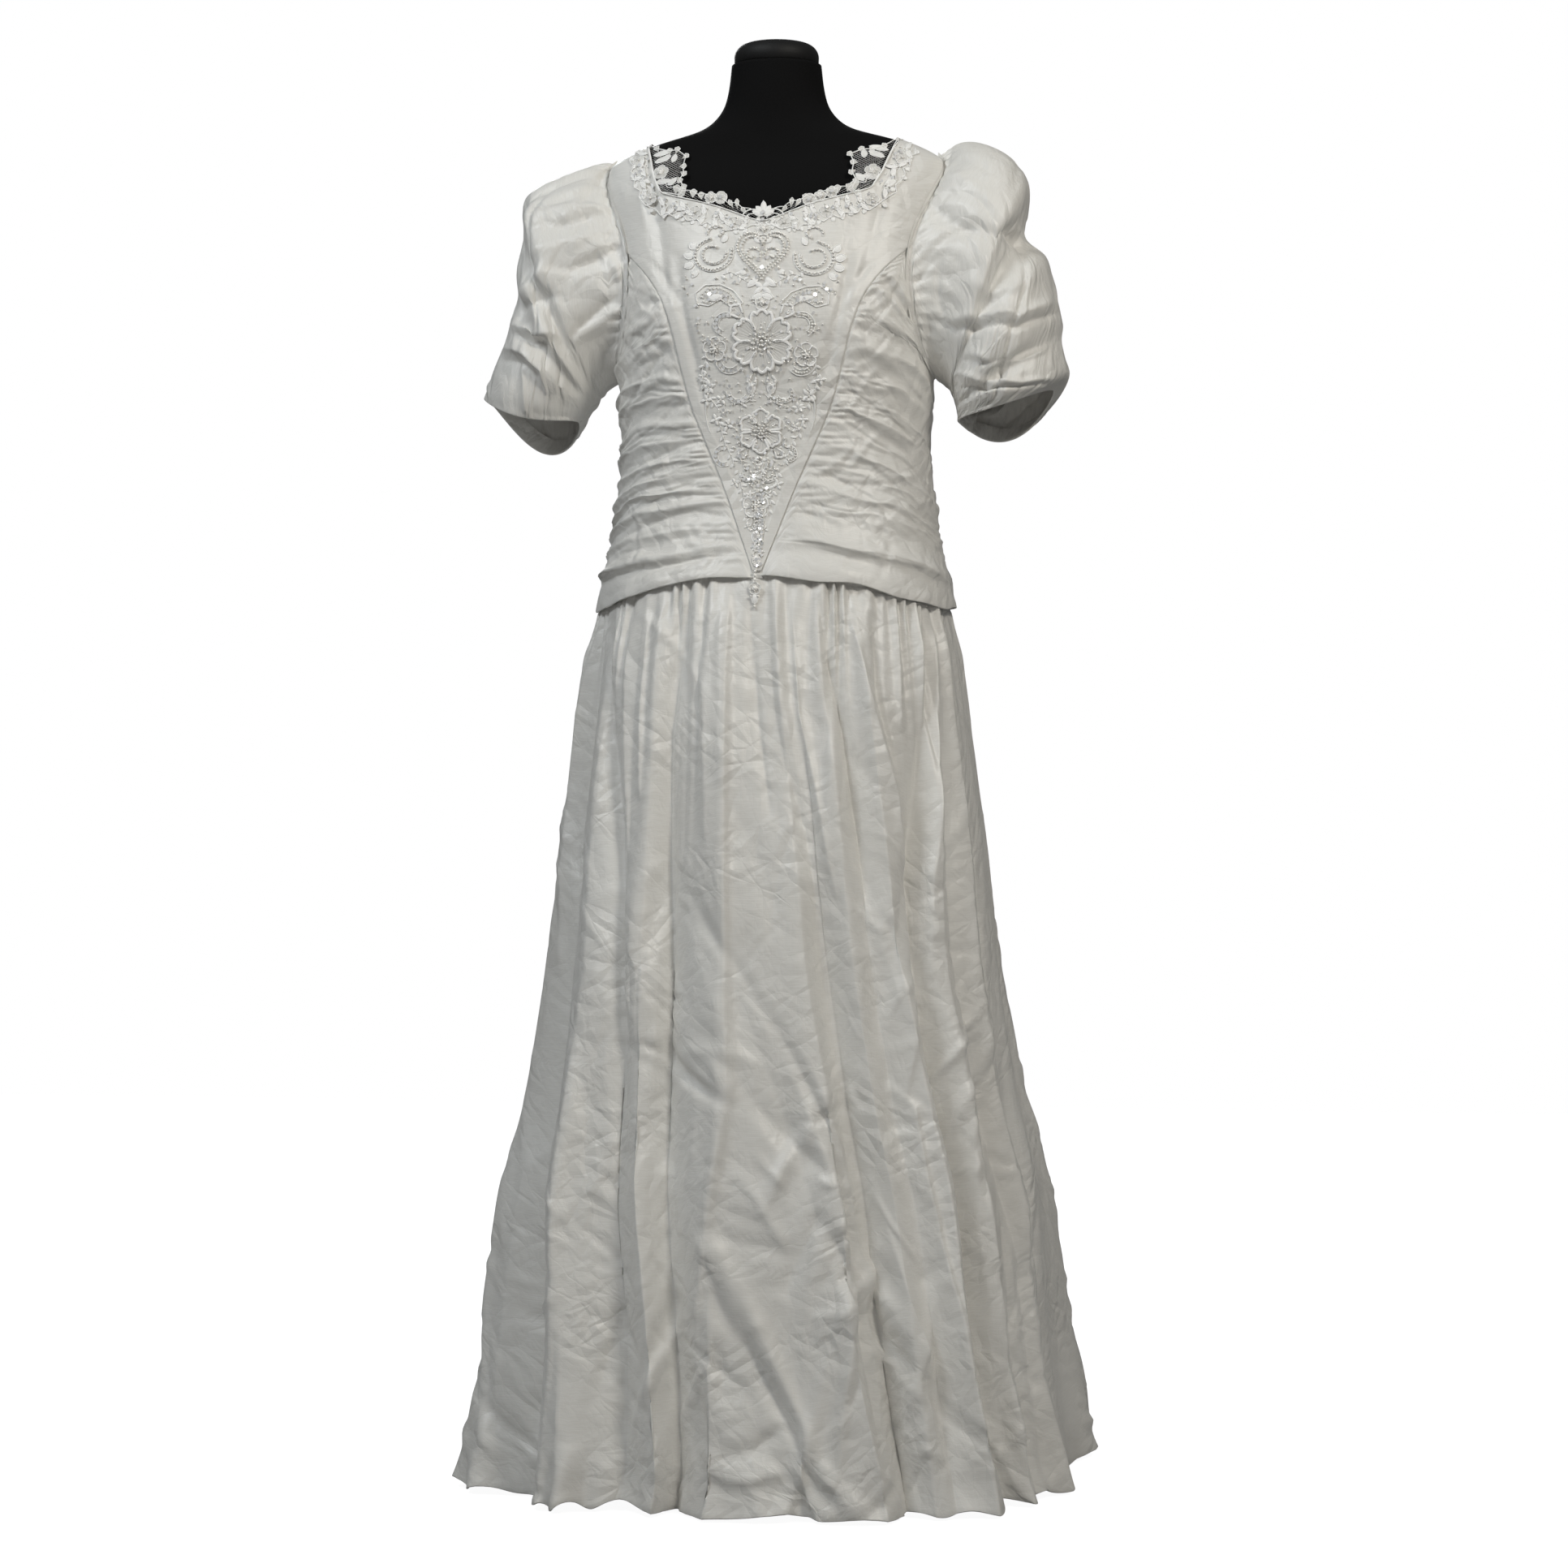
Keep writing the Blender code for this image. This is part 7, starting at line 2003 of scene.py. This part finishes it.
def combined(owner, operation, first, second):
    """A maths node over two outputs or numbers."""
    node = new_node(owner, "ShaderNodeMath", operation=operation)
    for socket, value in zip(node.inputs, (first, second)):
        if isinstance(value, (int, float)):
            socket.default_value = value
        else:
            link(owner, value, socket)
    return node.outputs[0]


def toned(owner, value, low, high):
    """A colour that runs between two, each given with the value at which it is reached."""
    tone = new_node(owner, "ShaderNodeValToRGB")
    for element, (position, colour) in zip(tone.color_ramp.elements, (low, high)):
        element.position = position
        element.color = (*colour, 1.0)
    link(owner, value, tone.inputs[0])
    return tone.outputs["Color"]


def bumped(material, shader, height, distance=1.0):
    """Let the shader's face follow a height."""
    relief = new_node(material, "ShaderNodeBump", Strength=1.0, Distance=distance)
    link(material, height, relief.inputs["Height"])
    link(material, relief.outputs["Normal"], shader.inputs["Normal"])


def cloth_coordinates(material, across, down, turn=0.0):
    """The cloth's own places, turned by some degrees and scaled to so many units a metre."""
    uv = new_node(material, "ShaderNodeUVMap", uv_map="cloth")
    mapping = new_node(material, "ShaderNodeMapping", vector_type="TEXTURE")
    mapping.inputs["Rotation"].default_value = (0.0, 0.0, math.radians(turn))
    mapping.inputs["Scale"].default_value = (1.0 / across, 1.0 / down, 1.0)
    link(material, uv.outputs["UV"], mapping.inputs["Vector"])
    return mapping.outputs["Vector"]


SATIN_RELIEF = [
    # texture, turn, scale_across, scale_down, height: scales are per metre of cloth
    ("crinkle", 12, 36, 14, 0.0032),
    ("crinkle", -48, 44, 20, 0.0028),
    ("crinkle", 62, 58, 26, 0.0022),
    ("crinkle", 0, 120, 85, 0.0005),
    ("slub", 0, 950, 45, 0.00005),
    ("slub", 0, 40, 1150, 0.00013),
]
NET_SHADE = 0.03                # how much darker the satin is under the embroidery's net


def noise(material, place, detail=2.0):
    """Noise over a place."""
    texture = new_node(material, "ShaderNodeTexNoise", Scale=1.0, Detail=detail)
    link(material, place, texture.inputs["Vector"])
    return texture.outputs[0]


def crinkles(material, turn, across, down):
    """Fine straight creases between the cells of a stretched pattern, which come and go."""
    place = cloth_coordinates(material, across, down, turn)
    texture = new_node(material, "ShaderNodeTexVoronoi", feature="DISTANCE_TO_EDGE", Scale=1.0)
    link(material, place, texture.inputs["Vector"])
    cell = combined(material, "MINIMUM", texture.outputs[0], 0.35)
    patch = noise(material, cloth_coordinates(material, across * 0.25, down * 0.4, turn), 0.0)
    patch = combined(material, "MAXIMUM", combined(material, "SUBTRACT", patch, 0.36), 0.02)
    return combined(material, "MULTIPLY", cell, combined(material, "MULTIPLY", patch, 4.2))


def satin_height(material):
    """Height of the satin's crinkles and of its uneven yarns both ways."""
    total = 0.0
    for kind, turn, across, down, height in SATIN_RELIEF:
        if kind == "crinkle":
            level = crinkles(material, turn, across, down)
        else:
            level = noise(material, cloth_coordinates(material, across, down, turn))
        total = combined(material, "ADD", total, combined(material, "MULTIPLY", level, height))
    return total


def satin_colour(material, streaks):
    """Ivory that wanders with its streaks and with clouds, and is darker under the embroidery's net."""
    clouds = noise(material, cloth_coordinates(material, 9, 6), 3.0)
    streaks = combined(material, "MULTIPLY", streaks, 0.45)
    mixed = combined(material, "ADD", streaks, combined(material, "MULTIPLY", clouds, 0.55))
    tone = toned(material, mixed, (0.30, (0.75, 0.735, 0.70)), (0.70, (0.87, 0.865, 0.84)))
    ground = new_node(material, "ShaderNodeAttribute", attribute_name="ground")
    shade = combined(material, "MULTIPLY", ground.outputs["Fac"], NET_SHADE)
    tinted = new_node(material, "ShaderNodeVectorMath", operation="SCALE")
    link(material, tone, tinted.inputs[0])
    link(material, combined(material, "SUBTRACT", 1.0, shade), tinted.inputs["Scale"])
    return tinted.outputs[0]


def make_satin():
    """Off-white slubbed satin, crinkled."""
    material, shader = principled(
        "ivory_satin", (0.80, 0.785, 0.745), 0.36,
        Specular_IOR_Level=0.55, Sheen_Weight=0.12, Sheen_Roughness=0.4,
    )
    bumped(material, shader, satin_height(material))
    streaks = noise(material, cloth_coordinates(material, 60, 700))
    link(material, satin_colour(material, streaks), shader.inputs["Base Color"])
    gloss = combined(material, "ADD", combined(material, "MULTIPLY", streaks, 0.22), 0.30)
    link(material, gloss, shader.inputs["Roughness"])
    return material


def grained(name, colours, roughness, size, height, **inputs):
    """A material whose colour wanders between two with a grain of a size, and whose face follows it."""
    material, shader = principled(name, colours[0], roughness, **inputs)
    place = new_node(material, "ShaderNodeTexCoord")
    grain = new_node(material, "ShaderNodeTexNoise", Scale=1.0 / size, Detail=2.0)
    link(material, place.outputs["Object"], grain.inputs["Vector"])
    tone = toned(material, grain.outputs[0], (0.35, colours[0]), (0.65, colours[1]))
    link(material, tone, shader.inputs["Base Color"])
    bumped(material, shader, grain.outputs[0], height)
    return material


def make_trims():
    """Matt white stitches, ivory pearls, clear sequins and the greyer ground inside a petal, by slot."""
    return [
        grained("white_thread", ((0.97, 0.965, 0.95), (1.0, 1.0, 0.99)), 0.60, 0.0005, 0.00012,
                Specular_IOR_Level=0.35, Sheen_Weight=0.25),
        grained("pearl", ((0.98, 0.955, 0.91), (0.96, 0.95, 0.93)), 0.22, 0.0040, 0.00001,
                Specular_IOR_Level=0.8, Coat_Weight=0.5),
        grained("sequin", ((0.95, 0.93, 0.92), (0.91, 0.93, 0.96)), 0.16, 0.0060, 0.00001,
                Metallic=0.25, Coat_Weight=0.8),
        grained("petal_ground", ((0.70, 0.69, 0.665), (0.79, 0.78, 0.755)), 0.50, 0.0006, 0.00015,
                Specular_IOR_Level=0.4),
    ]


def make_jersey():
    """Black jersey with a fine knit."""
    return grained("black_jersey", ((0.0032, 0.0032, 0.0035), (0.0042, 0.0042, 0.0045)), 0.9, 0.0008, 0.00010,
                   Specular_IOR_Level=0.15)


def make_cap():
    """The neck cap's cloth, with a little more sheen."""
    return grained("black_cap", ((0.0055, 0.0055, 0.006), (0.0065, 0.0065, 0.007)), 0.6, 0.0010, 0.00006,
                   Specular_IOR_Level=0.3)


def make_metal():
    """Painted metal of the stand."""
    return grained("black_metal", ((0.018, 0.018, 0.019), (0.022, 0.022, 0.023)), 0.4, 0.0030, 0.00003,
                   Metallic=0.6)


# Light and camera

ROOM_STRENGTH = 0.165
ROOM_LOW = (0.30, (0.42, 0.38, 0.32))      # share of the way up, colour
ROOM_HIGH = (0.75, (0.97, 1.0, 1.0))
FLOOR_HALF = 4.0
LIGHTS = [
    # name, place, target, size, power, colour
    ("warm", (1.6, -1.7, 2.5), (0.0, 0.0, 1.0), 0.6, 28.0, (1.0, 0.95, 0.86)),
    ("cool", (-1.2, -1.6, 2.9), (0.0, 0.0, 1.0), 0.7, 27.0, (0.94, 0.98, 1.0)),
    ("low", (0.2, -2.6, 0.35), (0.0, 0.0, 1.25), 1.0, 2.6, (1.0, 0.97, 0.93)),
    ("behind", (-0.9, 2.7, 2.4), (0.0, 0.0, 0.9), 1.0, 34.0, (0.98, 0.99, 1.0)),
]
CAMERA_TURN = 8.0               # degrees from the front to the wearer's left
CAMERA_DISTANCE = 3.6
CAMERA_SHIFT = 0.0077           # to its right, so that the dress is where the photo has it
CAMERA_Z = 0.715
SENSOR_HALF_MM = 18.0
PHOTO_HALF_PIXELS = 966.0
FOCAL_PIXELS = 4219.0


def add_world():
    """White to the camera; soft light that is stronger from above."""
    world = bpy.data.worlds.new("studio")
    bpy.context.scene.world = world
    world.use_nodes = True
    world.node_tree.nodes.clear()
    place = new_node(world, "ShaderNodeTexCoord")
    parts = new_node(world, "ShaderNodeSeparateXYZ")
    link(world, place.outputs["Generated"], parts.inputs[0])
    upward = combined(world, "ADD", combined(world, "MULTIPLY", parts.outputs["Z"], 0.5), 0.5)
    room = new_node(world, "ShaderNodeBackground", Strength=ROOM_STRENGTH)
    link(world, toned(world, upward, ROOM_LOW, ROOM_HIGH), room.inputs["Color"])
    white = new_node(world, "ShaderNodeBackground", Color=(1.0, 1.0, 1.0, 1.0))
    path = new_node(world, "ShaderNodeLightPath")
    mix = new_node(world, "ShaderNodeMixShader")
    link(world, path.outputs["Is Camera Ray"], mix.inputs[0])
    link(world, room.outputs[0], mix.inputs[1])
    link(world, white.outputs[0], mix.inputs[2])
    output = new_node(world, "ShaderNodeOutputWorld")
    link(world, mix.outputs[0], output.inputs["Surface"])


def add_area(name, place, target, size, power, colour):
    """A square area light."""
    data = bpy.data.lights.new(name, "AREA")
    data.size, data.energy, data.color = size, power, colour
    lamp = bpy.data.objects.new(name, data)
    bpy.context.scene.collection.objects.link(lamp)
    lamp.location = place
    lamp.rotation_mode = "QUATERNION"
    lamp.rotation_quaternion = (Vector(target) - Vector(place)).to_track_quat("-Z", "Y")


def add_lights():
    """A warm light above the front on the wearer's left, a cooler one on the right, a weak low one that
    reaches the undersides of the folds and the inside of the cuffs, and one behind for the back."""
    for light in LIGHTS:
        add_area(*light)


def add_floor():
    """A plain white floor, as bright as the background, which shows only the dress's soft shadow."""
    mesh = bpy.data.meshes.new("floor")
    corners = [(x * FLOOR_HALF, y * FLOOR_HALF, FLOOR_Z) for x, y in ((-1, -1), (1, -1), (1, 1), (-1, 1))]
    mesh.from_pydata(corners, [], [(0, 1, 2, 3)])
    floor = bpy.data.objects.new("floor", mesh)
    bpy.context.scene.collection.objects.link(floor)
    material, shader = principled("white_floor", (0.30, 0.30, 0.30), 0.9, Specular_IOR_Level=0.1)
    shader.inputs["Emission Color"].default_value = (1.0, 1.0, 1.0, 1.0)
    path = new_node(material, "ShaderNodeLightPath")
    glow = combined(material, "MULTIPLY", path.outputs["Is Camera Ray"], 0.95)
    link(material, glow, shader.inputs["Emission Strength"])
    mesh.materials.append(material)


def add_camera():
    """The camera, level with the middle of the dress and a few degrees to the wearer's left."""
    turn = math.radians(CAMERA_TURN)
    data = bpy.data.cameras.new("camera")
    data.lens = SENSOR_HALF_MM * FOCAL_PIXELS / PHOTO_HALF_PIXELS
    camera = bpy.data.objects.new("camera", data)
    bpy.context.scene.collection.objects.link(camera)
    x = CAMERA_DISTANCE * math.sin(turn) + CAMERA_SHIFT * math.cos(turn)
    y = -CAMERA_DISTANCE * math.cos(turn) + CAMERA_SHIFT * math.sin(turn)
    camera.location = (x, y, CAMERA_Z)
    camera.rotation_euler = (math.pi / 2.0, 0.0, turn)
    bpy.context.scene.camera = camera


def main():
    """Build every piece round the frame."""
    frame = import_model()
    satin, jersey, cap, metal = make_satin(), make_jersey(), make_cap(), make_metal()
    for name in ("dress_form_pole", "dress_form_base"):
        frame["nodes"][name].data.materials.clear()
        frame["nodes"][name].data.materials.append(metal)
    add_form(jersey, cap)
    add_skirt(satin)
    add_center_front(satin)
    add_backs(satin, *add_side_fronts(satin))
    add_sleeves(satin)
    add_trims(make_trims())
    add_placket(satin)
    add_buttons(satin)
    add_world()
    add_floor()
    add_lights()
    add_camera()
    bpy.context.scene.view_settings.view_transform = "Standard"


main()
